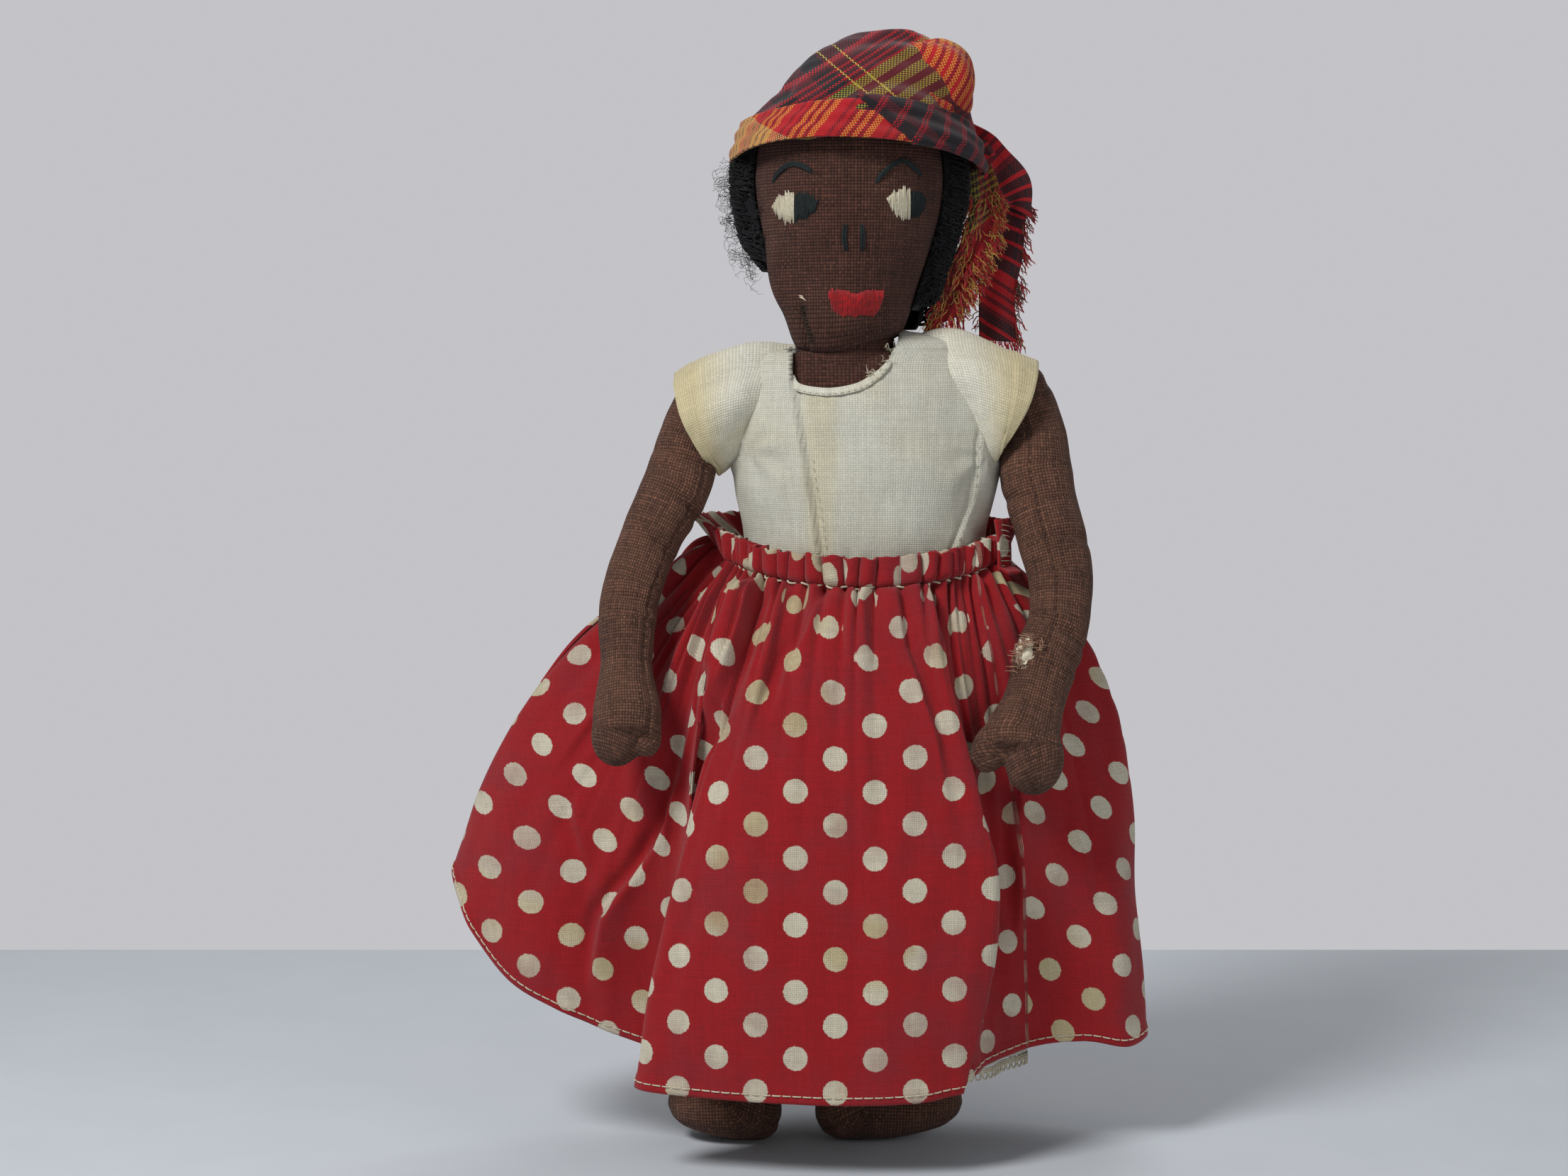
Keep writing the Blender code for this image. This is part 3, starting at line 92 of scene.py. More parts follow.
class Wire:
    """A shader value that is added, multiplied and compared like a number."""

    def __init__(self, bench: "Bench", socket: bpy.types.NodeSocket) -> None:
        """Keeps the node output and the bench that it lies on."""
        self.bench = bench
        self.socket = socket

    def __add__(self, other: Number) -> "Wire":
        """The sum."""
        return self.bench.math("ADD", self, other)

    __radd__ = __add__

    def __mul__(self, other: Number) -> "Wire":
        """The product."""
        return self.bench.math("MULTIPLY", self, other)

    __rmul__ = __mul__

    def __sub__(self, other: Number) -> "Wire":
        """The difference."""
        return self.bench.math("SUBTRACT", self, other)

    def __rsub__(self, other: Number) -> "Wire":
        """The difference from a number on the left."""
        return self.bench.math("SUBTRACT", other, self)

    def __truediv__(self, other: Number) -> "Wire":
        """The quotient."""
        return self.bench.math("DIVIDE", self, other)

    def __rtruediv__(self, other: Number) -> "Wire":
        """The quotient of a number on the left."""
        return self.bench.math("DIVIDE", other, self)

    def __pow__(self, other: Number) -> "Wire":
        """The power."""
        return self.bench.math("POWER", self, other)

    def __mod__(self, other: Number) -> "Wire":
        """What is left of a division, never negative."""
        return self.bench.math("FLOORED_MODULO", self, other)

    def __gt__(self, other: Number) -> "Wire":
        """1 where this is the larger."""
        return self.bench.math("GREATER_THAN", self, other)

    def __lt__(self, other: Number) -> "Wire":
        """1 where this is the smaller."""
        return self.bench.math("LESS_THAN", self, other)

    def __abs__(self) -> "Wire":
        """The size without the sign."""
        return self.bench.math("ABSOLUTE", self)

    def sine(self) -> "Wire":
        """The sine."""
        return self.bench.math("SINE", self)

    def floor(self) -> "Wire":
        """The whole number below."""
        return self.bench.math("FLOOR", self)

    def least(self, other: Number) -> "Wire":
        """The smaller of two values."""
        return self.bench.math("MINIMUM", self, other)

    def most(self, other: Number) -> "Wire":
        """The larger of two values."""
        return self.bench.math("MAXIMUM", self, other)

    def step(self, low: float, high: float) -> "Wire":
        """A soft step from 0 at low to 1 at high.

        Args:
            low: Where it is 0.
            high: Where it is 1.

        Returns:
            The value.
        """
        settings = {"interpolation_type": "SMOOTHSTEP"}
        made = self.bench.node("ShaderNodeMapRange", settings, {0: self, 1: low, 2: high})
        return Wire(self.bench, made.outputs[0])


class Bench:
    """A material being made, with one method that adds every node."""

    def __init__(self, name: str) -> None:
        """Opens an empty material.

        Args:
            name: The material's name.
        """
        self.material = bpy.data.materials.new(name)
        self.material.use_nodes = True
        self.tree = self.material.node_tree
        self.tree.nodes.clear()

    def node(self, kind: str, settings: dict, values: dict) -> bpy.types.Node:
        """Adds a node.

        Args:
            kind: The node's type name.
            settings: Properties, set before any value.
            values: Wires or constants for its inputs, by name or by number.

        Returns:
            The node.
        """
        made = self.tree.nodes.new(kind)
        for name, value in settings.items():
            setattr(made, name, value)
        for key, value in values.items():
            if isinstance(value, Wire):
                self.tree.links.new(value.socket, made.inputs[key])
            else:
                made.inputs[key].default_value = value
        return made

    def math(self, operation: str, *values: Number) -> Wire:
        """One step of reckoning."""
        made = self.node("ShaderNodeMath", {"operation": operation}, dict(enumerate(values)))
        return Wire(self, made.outputs[0])

    def mix(
        self, share: Number, first: Union[Colour, Wire], second: Union[Colour, Wire], how: str = "MIX"
    ) -> Wire:
        """Mixes two colours.

        Args:
            share: How much of the second shows.
            first: The first colour.
            second: The second colour.
            how: The way that they are blended.

        Returns:
            The mixed colour.
        """
        ends = [end if isinstance(end, Wire) else (*end, 1) for end in (first, second)]
        settings = {"data_type": "RGBA", "blend_type": how}
        made = self.node("ShaderNodeMix", settings, {0: share, 6: ends[0], 7: ends[1]})
        return Wire(self, made.outputs[2])

    def grey(self, value: Wire) -> Wire:
        """A value as a colour, to multiply others with."""
        made = self.node("ShaderNodeCombineColor", {}, {0: value, 1: value, 2: value})
        return Wire(self, made.outputs[0])

    def cloth(self) -> tuple[Wire, Wire]:
        """The place on the flat cloth, across and along, in millimetres."""
        grid = self.node("ShaderNodeUVMap", {"uv_map": "cloth"}, {})
        parts = self.node("ShaderNodeSeparateXYZ", {}, {0: Wire(self, grid.outputs[0])})
        return Wire(self, parts.outputs[0]), Wire(self, parts.outputs[1])

    def place(self) -> Wire:
        """The place on the object."""
        return Wire(self, self.node("ShaderNodeTexCoord", {}, {}).outputs["Object"])

    def pair(self, across: Number, along: Number, third: Number = 0.0) -> Wire:
        """Three numbers as one place."""
        return Wire(self, self.node("ShaderNodeCombineXYZ", {}, {0: across, 1: along, 2: third}).outputs[0])

    def cloud(self, at: Wire, scale: float, detail: float = 2.0, rough: float = 0.5) -> Wire:
        """Soft noise.

        Args:
            at: Where it is read.
            scale: Lumps in one unit of length.
            detail: How many finer layers it has.
            rough: How strong those are.

        Returns:
            A value from 0 to 1, about one half on average.
        """
        values = {"Vector": at, "Scale": scale, "Detail": detail, "Roughness": rough}
        return Wire(self, self.node("ShaderNodeTexNoise", {"noise_dimensions": "3D"}, values).outputs[0])

    def stripes(self, at: Wire, stops: Sequence[tuple[float, Colour]]) -> Wire:
        """A row of plain stripes.

        Args:
            at: The place in the row, from 0 to 1.
            stops: Where each stripe starts, and its colour.

        Returns:
            The colour there.
        """
        made = self.node("ShaderNodeValToRGB", {}, {0: at})
        row = made.color_ramp
        row.interpolation = "CONSTANT"
        for index, (start, colour) in enumerate(stops):
            stop = row.elements[index] if index < 2 else row.elements.new(start)
            stop.position = start
            stop.color = (*colour, 1)
        return Wire(self, made.outputs[0])

    def relief(self, height: Wire, strength: float = 1.0) -> Wire:
        """The surface's direction under a relief whose height is in millimetres."""
        made = self.node("ShaderNodeBump", {}, {"Height": height, "Distance": MM, "Strength": strength})
        return Wire(self, made.outputs[0])

    def close(
        self, colour: Wire, roughness: Number, normal: Optional[Wire], plain: dict
    ) -> bpy.types.Material:
        """Joins the values to the shader.

        Args:
            colour: The base colour.
            roughness: How dull the surface is.
            normal: Its direction with the relief, if it has one.
            plain: Values of the shader's own sockets that are the same all over.

        Returns:
            The finished material.
        """
        values = {"Base Color": colour, "Roughness": roughness, **plain}
        if normal is not None:
            values["Normal"] = normal
        shader = self.node("ShaderNodeBsdfPrincipled", {}, values)
        self.node("ShaderNodeOutputMaterial", {}, {0: Wire(self, shader.outputs[0])})
        return self.material


@dataclass(frozen=True)
class ClothFinish:
    """Plain-woven cotton, drawn on a piece's own flat cloth."""

    name: str
    slot: str
    colour: Colour
    faded: Colour  # what wear, age or handling turns it to
    pitch: float  # between two yarns
    slub: float = 0.30  # how much the yarns differ
    # Painted shade between the yarns: how much darker the colour is made where they dip.
    hollow: float = 0.55  # how dark it is between the yarns
    relief: float = 0.12
    fading: float = 0.5  # how much of it has turned
    roughness: float = 0.93
    sheen: float = 0.12
    grain: float = 0.24  # how much lighter and darker its fibres are

    def ground(self, bench: Bench, across: Wire, along: Wire, over: Wire) -> Wire:
        """The colour before weave and wear. A dyed or printed cloth has its own."""
        return bench.mix(0.0, self.colour, self.colour)

    def weave(self, bench: Bench, across: Wire, along: Wire) -> tuple[Wire, Wire, Wire]:
        """The crossing yarns.

        Args:
            bench: The material's bench.
            across: The place across the cloth.
            along: The place along the cloth.

        Returns:
            The height of the weave, the yarns' tone about 1, and 1 where a warp yarn lies on top.
        """
        warp, weft = across / self.pitch, along / self.pitch
        crossing = (warp * math.pi).sine() * (weft * math.pi).sine()
        over = crossing > 0.0
        height = abs(crossing) ** 0.6
        warp_tone = bench.cloud(bench.pair(warp.floor() * 3.7, along * 0.10), 1.0, 1.0)
        weft_tone = bench.cloud(bench.pair(across * 0.10, weft.floor() * 3.7, 9.0), 1.0, 1.0)
        tone = (weft_tone + (warp_tone - weft_tone) * over - 0.5) * (2 * self.slub) + 1
        return height, tone, over

    def wear(self, bench: Bench, across: Wire, along: Wire) -> Wire:
        """How far the cloth has turned at a place, from 0 to 1."""
        return bench.cloud(bench.place(), 55, 3.0, 0.6).step(0.42, 0.72) * self.fading

    def build(self) -> bpy.types.Material:
        """The material of this cloth."""
        bench = Bench(self.name)
        across, along = bench.cloth()
        height, tone, over = self.weave(bench, across, along)
        colour = bench.mix(
            self.wear(bench, across, along), self.ground(bench, across, along, over), self.faded
        )
        grain = bench.cloud(bench.place(), 900, 2.0) * self.grain + (1 - self.grain / 2)
        # The yarns' tone and the fibres' grain are the cloth's own; the darkening between the yarns, set by
        # hollow, is painted shade.
        shade = (height * (1 - self.hollow) + self.hollow) * tone * grain
        colour = bench.mix(1.0, colour, bench.grey(shade), "MULTIPLY")
        rumple = bench.cloud(bench.place(), 160, 2.0) * 0.5
        normal = bench.relief(height * self.relief + rumple * 0.35, 0.8)
        plain = {"Sheen Weight": self.sheen, "Sheen Roughness": 0.6, "Specular IOR Level": 0.25}
        return bench.close(colour, self.roughness, normal, plain)


@dataclass(frozen=True)
class DottedFinish(ClothFinish):
    """Cloth printed with round dots on a centred lattice."""

    dot: Colour = (0.6, 0.6, 0.5)
    aged_dot: Colour = (0.5, 0.45, 0.2)
    dot_radius: float = 2.75
    lattice: tuple[float, float] = (17.8, 14.9)
    start: tuple[float, float] = (-3.3, 2.9)

    def ground(self, bench: Bench, across: Wire, along: Wire, over: Wire) -> Wire:
        """The red ground with its cream dots.

        Args:
            bench: The material's bench.
            across: The place across the cloth.
            along: The place along the cloth.
            over: 1 where a warp yarn lies on top; not used here.

        Returns:
            The colour.
        """
        wide, tall = self.lattice
        ragged = (bench.cloud(bench.pair(across, along), 1.6, 2.0) - 0.5) * 0.6
        least = None
        for shift in (0.0, 0.5):
            x = (across - self.start[0] + wide * (shift + 0.5)) % wide - wide / 2
            y = (along - self.start[1] + tall * (shift + 0.5)) % tall - tall / 2
            reach = (x * x + y * y) ** 0.5
            least = reach if least is None else least.least(reach)
        inside = (least + ragged).step(self.dot_radius + 0.12, self.dot_radius - 0.12)
        aged = bench.cloud(bench.pair(across, along, 40.0), 0.034, 1.0).step(0.50, 0.66)
        return bench.mix(inside, self.colour, bench.mix(aged, self.dot, self.aged_dot))


@dataclass(frozen=True)
class YellowedFinish(ClothFinish):
    """White cotton that has yellowed, most of all in a strip beside the front fold."""

    strip: tuple[float, float] = (0.0, -99.0)  # the strip's middle, and half its width
    # Where a handled edge starts to yellow along the cloth, and where it has.
    handled: tuple[float, float] = (0.0, 0.0)

    def wear(self, bench: Bench, across: Wire, along: Wire) -> Wire:
        """The blotches of age, and the strip.

        Args:
            bench: The material's bench.
            across: The place across the cloth.
            along: The place along the cloth.

        Returns:
            A value from 0 to 1.
        """
        blotch = bench.cloud(bench.place(), 70, 3.0, 0.6).step(0.36, 0.78) * self.fading
        if self.handled[1] > 0:
            return blotch.most(along.step(*self.handled) * 0.9)
        middle, half = self.strip
        if half <= 0:
            return blotch
        ragged = (bench.cloud(bench.place(), 120, 2.0) - 0.5) * 3
        strip = abs(across - middle + ragged).step(half, half * 0.2) * 0.55
        return blotch.most(strip)


class Yarn(Enum):
    """The dyed yarns of the headscarf."""

    RED = paint(196, 28, 38)
    MAROON = paint(104, 22, 34)
    BLACK = paint(30, 24, 30)
    GOLD = paint(226, 150, 56)
    OLIVE = paint(160, 152, 56)
    OCHRE = paint(208, 168, 104)


# Each band is a width, the width of a pair of stripes in it, and their yarns.
Bands = Sequence[tuple[float, float, Yarn, Yarn]]


@dataclass(frozen=True)
class PlaidFinish(ClothFinish):
    """Madras cloth: rows of coloured warp and weft yarns that cross."""

    warp: Bands = ()
    weft: Bands = ()
    singles: tuple[float, ...] = ()  # where single yellow yarns lie along the weft, in millimetres
    shows: float = 1.0  # how much of the warp shows where it lies on top

    def ground(self, bench: Bench, across: Wire, along: Wire, over: Wire) -> Wire:
        """The colour of whichever yarn lies on top.

        Args:
            bench: The material's bench.
            across: The place across the cloth.
            along: The place along the cloth.
            over: 1 where a warp yarn lies on top.

        Returns:
            The colour.
        """
        first, second = self.striped(bench, across, self.warp), self.striped(bench, along, self.weft)
        for place in self.singles:
            second = bench.mix(abs(along - place) < 0.19, second, paint(226, 200, 84))
        return bench.mix(over * self.shows, second, first)

    def striped(self, bench: Bench, at: Wire, bands: Bands) -> Wire:
        """The yarns' colours at a place, over and over.

        Args:
            bench: The material's bench.
            at: The place on the cloth in millimetres.
            bands: The stripes of one repeat.

        Returns:
            The colour.
        """
        repeat = sum(width for width, _, _, _ in bands)
        stops, start = [], 0.0
        for width, pair, first, second in bands:
            count = max(1, round(width / pair))
            for index in range(count):
                stops.append(((start + index * width / count) / repeat, first.value))
                if second is not first:
                    stops.append(((start + (index + 0.55) * width / count) / repeat, second.value))
            start += width
        if len(stops) == 1:
            stops.append((0.5, stops[0][1]))
        return bench.stripes((at / repeat) % 1.0, stops)


@dataclass(frozen=True)
class FibreFinish:
    """Thread, wool or wadding: colour streaks along fine fibres."""

    name: str
    slot: str
    colour: Colour
    streak: Colour
    roughness: float = 0.7
    scale: float = 1400.0
    sheen: float = 0.2
    relief: float = 0.10

    def build(self) -> bpy.types.Material:
        """The material of this fibre."""
        bench = Bench(self.name)
        place = bench.place()
        fine = bench.cloud(place, self.scale, 3.0, 0.6)
        broad = bench.cloud(place, self.scale / 9, 2.0)
        colour = bench.mix((fine * 0.6 + broad * 0.5).step(0.35, 0.75), self.colour, self.streak)
        plain = {"Sheen Weight": self.sheen, "Sheen Roughness": 0.5, "Specular IOR Level": 0.3}
        return bench.close(colour, self.roughness, bench.relief(fine * self.relief), plain)


def brown_cotton(name: str, colour: Colour, faded: Colour, fading: float) -> ClothFinish:
    """The coarse brown cotton of the skin, in one state of wear.

    Args:
        name: The material's name.
        colour: The cloth's colour.
        faded: What wear turns it to.
        fading: How much of it has turned.

    Returns:
        The finish.
    """
    coarse = {"slub": 0.95, "hollow": 0.30, "relief": 0.32, "sheen": 0.03, "grain": 1.1}
    return ClothFinish(name, "brown_cotton", colour, faded, 0.72, fading=fading, **coarse)


def madras(
    name: str, faded: Colour, warp: Bands, weft: Bands, **rest: Union[float, tuple[float, ...]]
) -> PlaidFinish:
    """One part of the headscarf's plaid.

    Args:
        name: The material's name.
        faded: What wear turns it to.
        warp: Its warp stripes.
        weft: Its weft stripes.
        **rest: What differs from the rest of the scarf.

    Returns:
        The finish.
    """
    values = {"slub": 0.22, "hollow": 0.62, "relief": 0.10, "fading": 0.10, **rest}
    return PlaidFinish(name, "madras_cotton", paint(190, 30, 38), faded, 0.38, warp=warp, weft=weft, **values)


@dataclass(frozen=True)
class Finishes:
    """Every finish on the doll, each made once."""

    skin: ClothFinish = brown_cotton("brown_cotton_worn", paint(86, 53, 43), paint(112, 76, 61), 0.40)
    limb: ClothFinish = brown_cotton("brown_cotton_faded", paint(116, 80, 63), paint(90, 59, 48), 0.65)
    # A lighter copy of the limb cloth: painted light that makes up for the skirt's shadow over the legs and
    # feet.
    leg: ClothFinish = brown_cotton("brown_cotton_leg_painted_light", paint(134, 94, 76), paint(108, 74, 60), 0.65)
    blouse: YellowedFinish = YellowedFinish(
        "white_cotton_front", "white_cotton", paint(214, 212, 197), paint(208, 196, 160), 0.48,
        slub=0.22, hollow=0.66, relief=0.10, fading=0.30, strip=(-6.4, 4.6),
    )
    sleeve: YellowedFinish = YellowedFinish(
        "white_cotton_aged", "white_cotton", paint(230, 227, 210), paint(218, 202, 156), 0.48,
        slub=0.22, hollow=0.66, relief=0.10, fading=0.35, handled=(7.0, 17.0),
    )
    skirt: DottedFinish = DottedFinish(
        "red_cotton_dotted", "red_cotton", paint(162, 15, 24), paint(132, 40, 50), 0.42,
        slub=0.26, hollow=0.70, relief=0.08, fading=0.42, dot=paint(216, 207, 184),
        aged_dot=paint(200, 185, 144),
    )
    crown: PlaidFinish = madras(
        "madras_crown", paint(120, 50, 44),
        warp=(
            (1.6, 1.6, Yarn.RED, Yarn.MAROON), (5.2, 1.3, Yarn.BLACK, Yarn.RED),
            (14.8, 3.7, Yarn.OLIVE, Yarn.MAROON), (6.0, 1.5, Yarn.BLACK, Yarn.MAROON),
            (14.0, 7.0, Yarn.RED, Yarn.BLACK),
        ),
        weft=(
            (17.5, 17.5, Yarn.MAROON, Yarn.MAROON), (14, 7, Yarn.RED, Yarn.RED),
            (20, 10, Yarn.MAROON, Yarn.BLACK)
        ),
        singles=(1.1, 4.6),
    )
    band: PlaidFinish = madras(
        "madras_band", paint(150, 60, 40), hollow=0.66,
        warp=(
            (3.8, 1.9, Yarn.GOLD, Yarn.MAROON), (2.4, 2.4, Yarn.GOLD, Yarn.RED),
            (3.6, 1.8, Yarn.RED, Yarn.MAROON)
        ),
        weft=((19, 19, Yarn.OCHRE, Yarn.OCHRE), (41, 41, Yarn.RED, Yarn.RED)),
    )
    lap: PlaidFinish = madras(
        "madras_lap", paint(120, 50, 44),
        warp=((3.2, 3.2, Yarn.BLACK, Yarn.BLACK), (1.6, 0.8, Yarn.RED, Yarn.MAROON)),
        weft=((4, 4, Yarn.BLACK, Yarn.BLACK), (4, 4, Yarn.MAROON, Yarn.BLACK)),
    )
    bunch: PlaidFinish = madras(
        "madras_bunch", paint(150, 60, 40), hollow=0.66,
        warp=((2.0, 2.0, Yarn.GOLD, Yarn.RED), (1.9, 1.9, Yarn.GOLD, Yarn.MAROON)),
        weft=((40, 40, Yarn.RED, Yarn.RED), (6, 2, Yarn.GOLD, Yarn.RED)),
    )
    tail: PlaidFinish = madras(
        "madras_tail", paint(120, 50, 44),
        warp=((8.0, 8.0, Yarn.RED, Yarn.RED), (1.0, 1.0, Yarn.MAROON, Yarn.RED)),
        weft=(
            (9.0, 2.25, Yarn.RED, Yarn.MAROON),
            *((2.0, 2.0, Yarn.BLACK, Yarn.BLACK), (0.9, 0.9, Yarn.RED, Yarn.RED)) * 4,
            (2.4, 2.4, Yarn.RED, Yarn.RED),
            *((2.7, 2.7, Yarn.BLACK, Yarn.BLACK), (0.9, 0.9, Yarn.RED, Yarn.RED)) * 6,
        ),
        shows=0.22,
    )
    lining: PlaidFinish = madras(
        "madras_end", paint(120, 50, 44), slub=0.26, hollow=0.58, relief=0.12, fading=0.15,
        warp=(
            (3.6, 1.2, Yarn.BLACK, Yarn.OLIVE), (6.4, 3.2, Yarn.RED, Yarn.MAROON),
            (1.5, 0.5, Yarn.GOLD, Yarn.RED)
        ),
        weft=((13.0, 1.6, Yarn.BLACK, Yarn.OLIVE), (31.0, 31.0, Yarn.RED, Yarn.RED)),
        shows=0.85,
    )
    wool: FibreFinish = FibreFinish(
        "wool_black", "black_wool", paint(10, 10, 12), paint(24, 22, 25), 1.0, 500, 0.06
    )
    black_thread: FibreFinish = FibreFinish(
        "thread_black", "black_thread", paint(12, 19, 21), paint(30, 40, 40), 0.8, sheen=0.02
    )
    cream_thread: FibreFinish = FibreFinish(
        "thread_cream", "cream_thread", paint(214, 206, 182), paint(184, 174, 146), 0.7
    )
    red_thread: FibreFinish = FibreFinish(
        "thread_red", "red_thread", paint(200, 14, 20), paint(120, 6, 12), 0.55
    )
    brown_thread: FibreFinish = FibreFinish(
        "thread_brown", "brown_cotton", paint(176, 136, 108), paint(120, 82, 64), 0.8
    )
    dark_thread: FibreFinish = FibreFinish(
        "thread_dark", "black_thread", paint(62, 38, 32), paint(84, 54, 46), 0.8
    )
    mending_thread: FibreFinish = FibreFinish(
        "thread_mending", "black_thread", paint(34, 26, 22), paint(70, 58, 44), 0.9, sheen=0.02
    )
    gold_thread: FibreFinish = FibreFinish(
        "thread_gold", "madras_cotton", paint(214, 170, 84), paint(160, 110, 40), 0.7
    )
    scarlet_thread: FibreFinish = FibreFinish(
        "thread_scarlet", "madras_cotton", paint(206, 34, 40), paint(140, 20, 30), 0.7
    )
    dark_fray: FibreFinish = FibreFinish(
        "thread_dark_red", "madras_cotton", paint(60, 24, 30), paint(150, 130, 100), 0.8
    )
    wadding: FibreFinish = FibreFinish(
        "cotton_wadding_tuft", "cotton_wadding", paint(232, 222, 196), paint(206, 190, 160), 0.95
    )


FINISHES = Finishes()
MADE: dict[str, bpy.types.Material] = {}


class Run:
    """Rows of numbers joined by a smooth curve, read at any place along it."""

    def __init__(self, keys: Sequence[float], rows: Sequence[Sequence[float]], period: float = 0.0) -> None:
        """Keeps the rows.

        Args:
            keys: The place of each row, rising.
            rows: The numbers of each row.
            period: Where the run meets its own start, or 0 where it is open.
        """
        keys, rows = np.array(keys, float), np.array(rows, float)
        if period:
            keys = np.concatenate([keys[-2:] - period, keys, keys[:2] + period])
            rows = np.concatenate([rows[-2:], rows, rows[:2]])
        self.keys, self.rows, self.period = keys, rows, period
        self.first = keys[2] if period else 0.0
        self.slopes = np.gradient(rows, keys, axis=0)

    def __call__(self, at: np.ndarray) -> np.ndarray:
        """The smooth row at each place.

        Args:
            at: Places of any shape.

        Returns:
            The rows, along one more axis.
        """
        at = np.asarray(at, float)
        if self.period:
            at = (at - self.first) % self.period + self.first
        index = np.clip(np.searchsorted(self.keys, at, "right") - 1, 0, len(self.keys) - 2)
        width = self.keys[index + 1] - self.keys[index]
        share = np.clip((at - self.keys[index]) / width, 0, 1)[..., None]
        width = width[..., None]
        first, second = self.rows[index], self.rows[index + 1]
        leave, arrive = self.slopes[index] * width, self.slopes[index + 1] * width
        square, cube = share**2, share**3
        blend = (2 * cube - 3 * square + 1) * first + (cube - 2 * square + share) * leave
        return blend + (3 * square - 2 * cube) * second + (cube - square) * arrive


def bump_shape(distance: np.ndarray, width: float) -> np.ndarray:
    """A round bump that is 1 at no distance and fades over a width."""
    return np.exp(-((distance / width) ** 2))


def soft_step(value: np.ndarray, low: float, high: float) -> np.ndarray:
    """A soft step from 0 at low to 1 at high."""
    share = np.clip((value - low) / (high - low), 0, 1)
    return share * share * (3 - 2 * share)


def rows_of(*parts: np.ndarray) -> np.ndarray:
    """Values side by side, as one row for each place."""
    return np.stack(parts, -1)


def wandering(start: np.ndarray, steps: np.ndarray, count: int) -> np.ndarray:
    """A loose fibre that runs smoothly from a start through uneven steps.

    Args:
        start: Its first place, in millimetres.
        steps: Each step from one place to the next.
        count: How many points it gets.

    Returns:
        Its points.
    """
    places = np.vstack([start, start + np.cumsum(steps, axis=0)])
    return Run(np.linspace(0, 1, len(places)), places)(np.linspace(0, 1, count))


def unit(rows: np.ndarray) -> np.ndarray:
    """Each row as a direction of length 1."""
    return rows / np.maximum(np.linalg.norm(rows, axis=1), 1e-9)[:, None]


def run_of(line: np.ndarray) -> np.ndarray:
    """How far each point of a line lies along it."""
    return np.concatenate([[0], np.cumsum(np.linalg.norm(np.diff(line, axis=0), axis=1))])


def along_line(at: np.ndarray, run: np.ndarray, line: np.ndarray) -> np.ndarray:
    """Places on a line of points, by how far along it they lie."""
    return np.stack([np.interp(at, run, line[:, axis]) for axis in range(3)], 1)


def vertex_values(mesh: bpy.types.Mesh, kind: str) -> np.ndarray:
    """One vector of each vertex, such as its place or its normal.

    Args:
        mesh: The mesh.
        kind: Which value, as Blender names it.

    Returns:
        One row for each vertex.
    """
    values = np.empty(len(mesh.vertices) * 3)
    mesh.vertices.foreach_get(kind, values)
    return values.reshape(-1, 3)


def rumple(points: np.ndarray, size: float, seed: float = 0.0) -> np.ndarray:
    """Smooth lumps from -1 to 1 at places in space.

    Args:
        points: Places in millimetres.
        size: The distance from one lump to the next.
        seed: Shifts the pattern.

    Returns:
        One value for each place.
    """
    flat = points.reshape(-1, 3) / size + seed
    return np.array([noise.noise(Vector(place)) for place in flat]).reshape(points.shape[:-1])


def finish_of(kind: Union[ClothFinish, FibreFinish]) -> bpy.types.Material:
    """The material of a finish, made at its first use."""
    if kind.name not in MADE:
        MADE[kind.name] = kind.build()
    return MADE[kind.name]


def piece_from(name: str, work: bmesh.types.BMesh, kind: Union[ClothFinish, FibreFinish]) -> bpy.types.Object:
    """Turns a finished bmesh into a piece of the scene.

    Args:
        name: The piece's name.
        work: Its mesh in millimetres, freed here.
        kind: Its finish.

    Returns:
        The new object, at the origin.
    """
    bmesh.ops.scale(work, vec=(MM, MM, MM), verts=work.verts)
    mesh = bpy.data.meshes.new(name)
    work.to_mesh(mesh)
    work.free()
    mesh.shade_smooth()
    mesh.materials.append(finish_of(kind))
    made = bpy.data.objects.new(name, mesh)
    bpy.context.scene.collection.objects.link(made)
    return made


def settled(source: bpy.types.Object) -> bpy.types.Object:
    """Applies an object's modifiers, so that what follows reads its final mesh.

    Args:
        source: The object.

    Returns:
        The same object.
    """
    graph = bpy.context.evaluated_depsgraph_get()
    mesh = bpy.data.meshes.new_from_object(source.evaluated_get(graph))
    source.modifiers.clear()
    source.data = mesh
    return source


def thicken(piece: bpy.types.Object, thickness: float, offset: float = -1.0) -> bpy.types.Object:
    """Gives an open sheet its thickness in millimetres.

    Args:
        piece: The open sheet.
        thickness: How thick it gets.
        offset: Where the old surface lies, from -1 to 1.

    Returns:
        The same piece.
    """
    solid = piece.modifiers.new("Solidify", "SOLIDIFY")
    solid.thickness, solid.offset, solid.use_even_offset = thickness * MM, offset, False
    return settled(piece)


def sheet_mesh(
    columns: int, rows: int, surface: Surface, flat: Surface, ring: bool = False
) -> bmesh.types.BMesh:
    """A woven sheet: a grid whose points and flat cloth places come from two functions.

    Args:
        columns: Cells across.
        rows: Cells along.
        surface: Places in millimetres, from shares across and along.
        flat: The same points on the flat cloth, in millimetres.
        ring: Whether the first and the last column are one.

    Returns:
        The mesh, open unless it is a ring.
    """
    work = bmesh.new()
    bmesh.ops.create_grid(work, x_segments=columns, y_segments=rows, size=0.5)
    cloth = work.loops.layers.uv.new("cloth")
    spots = np.array([vert.co for vert in work.verts])
    across, along = spots[:, 0] + 0.5, 0.5 - spots[:, 1]
    for vert, place in zip(work.verts, surface(across, along)):
        vert.co = place
    places = flat(across, along)
    work.verts.index_update()
    for face in work.faces:
        for loop in face.loops:
            loop[cloth].uv = places[loop.vert.index]
    if ring:
        bmesh.ops.remove_doubles(work, verts=work.verts, dist=0.001)
    bmesh.ops.recalc_face_normals(work, faces=work.faces)
    return work


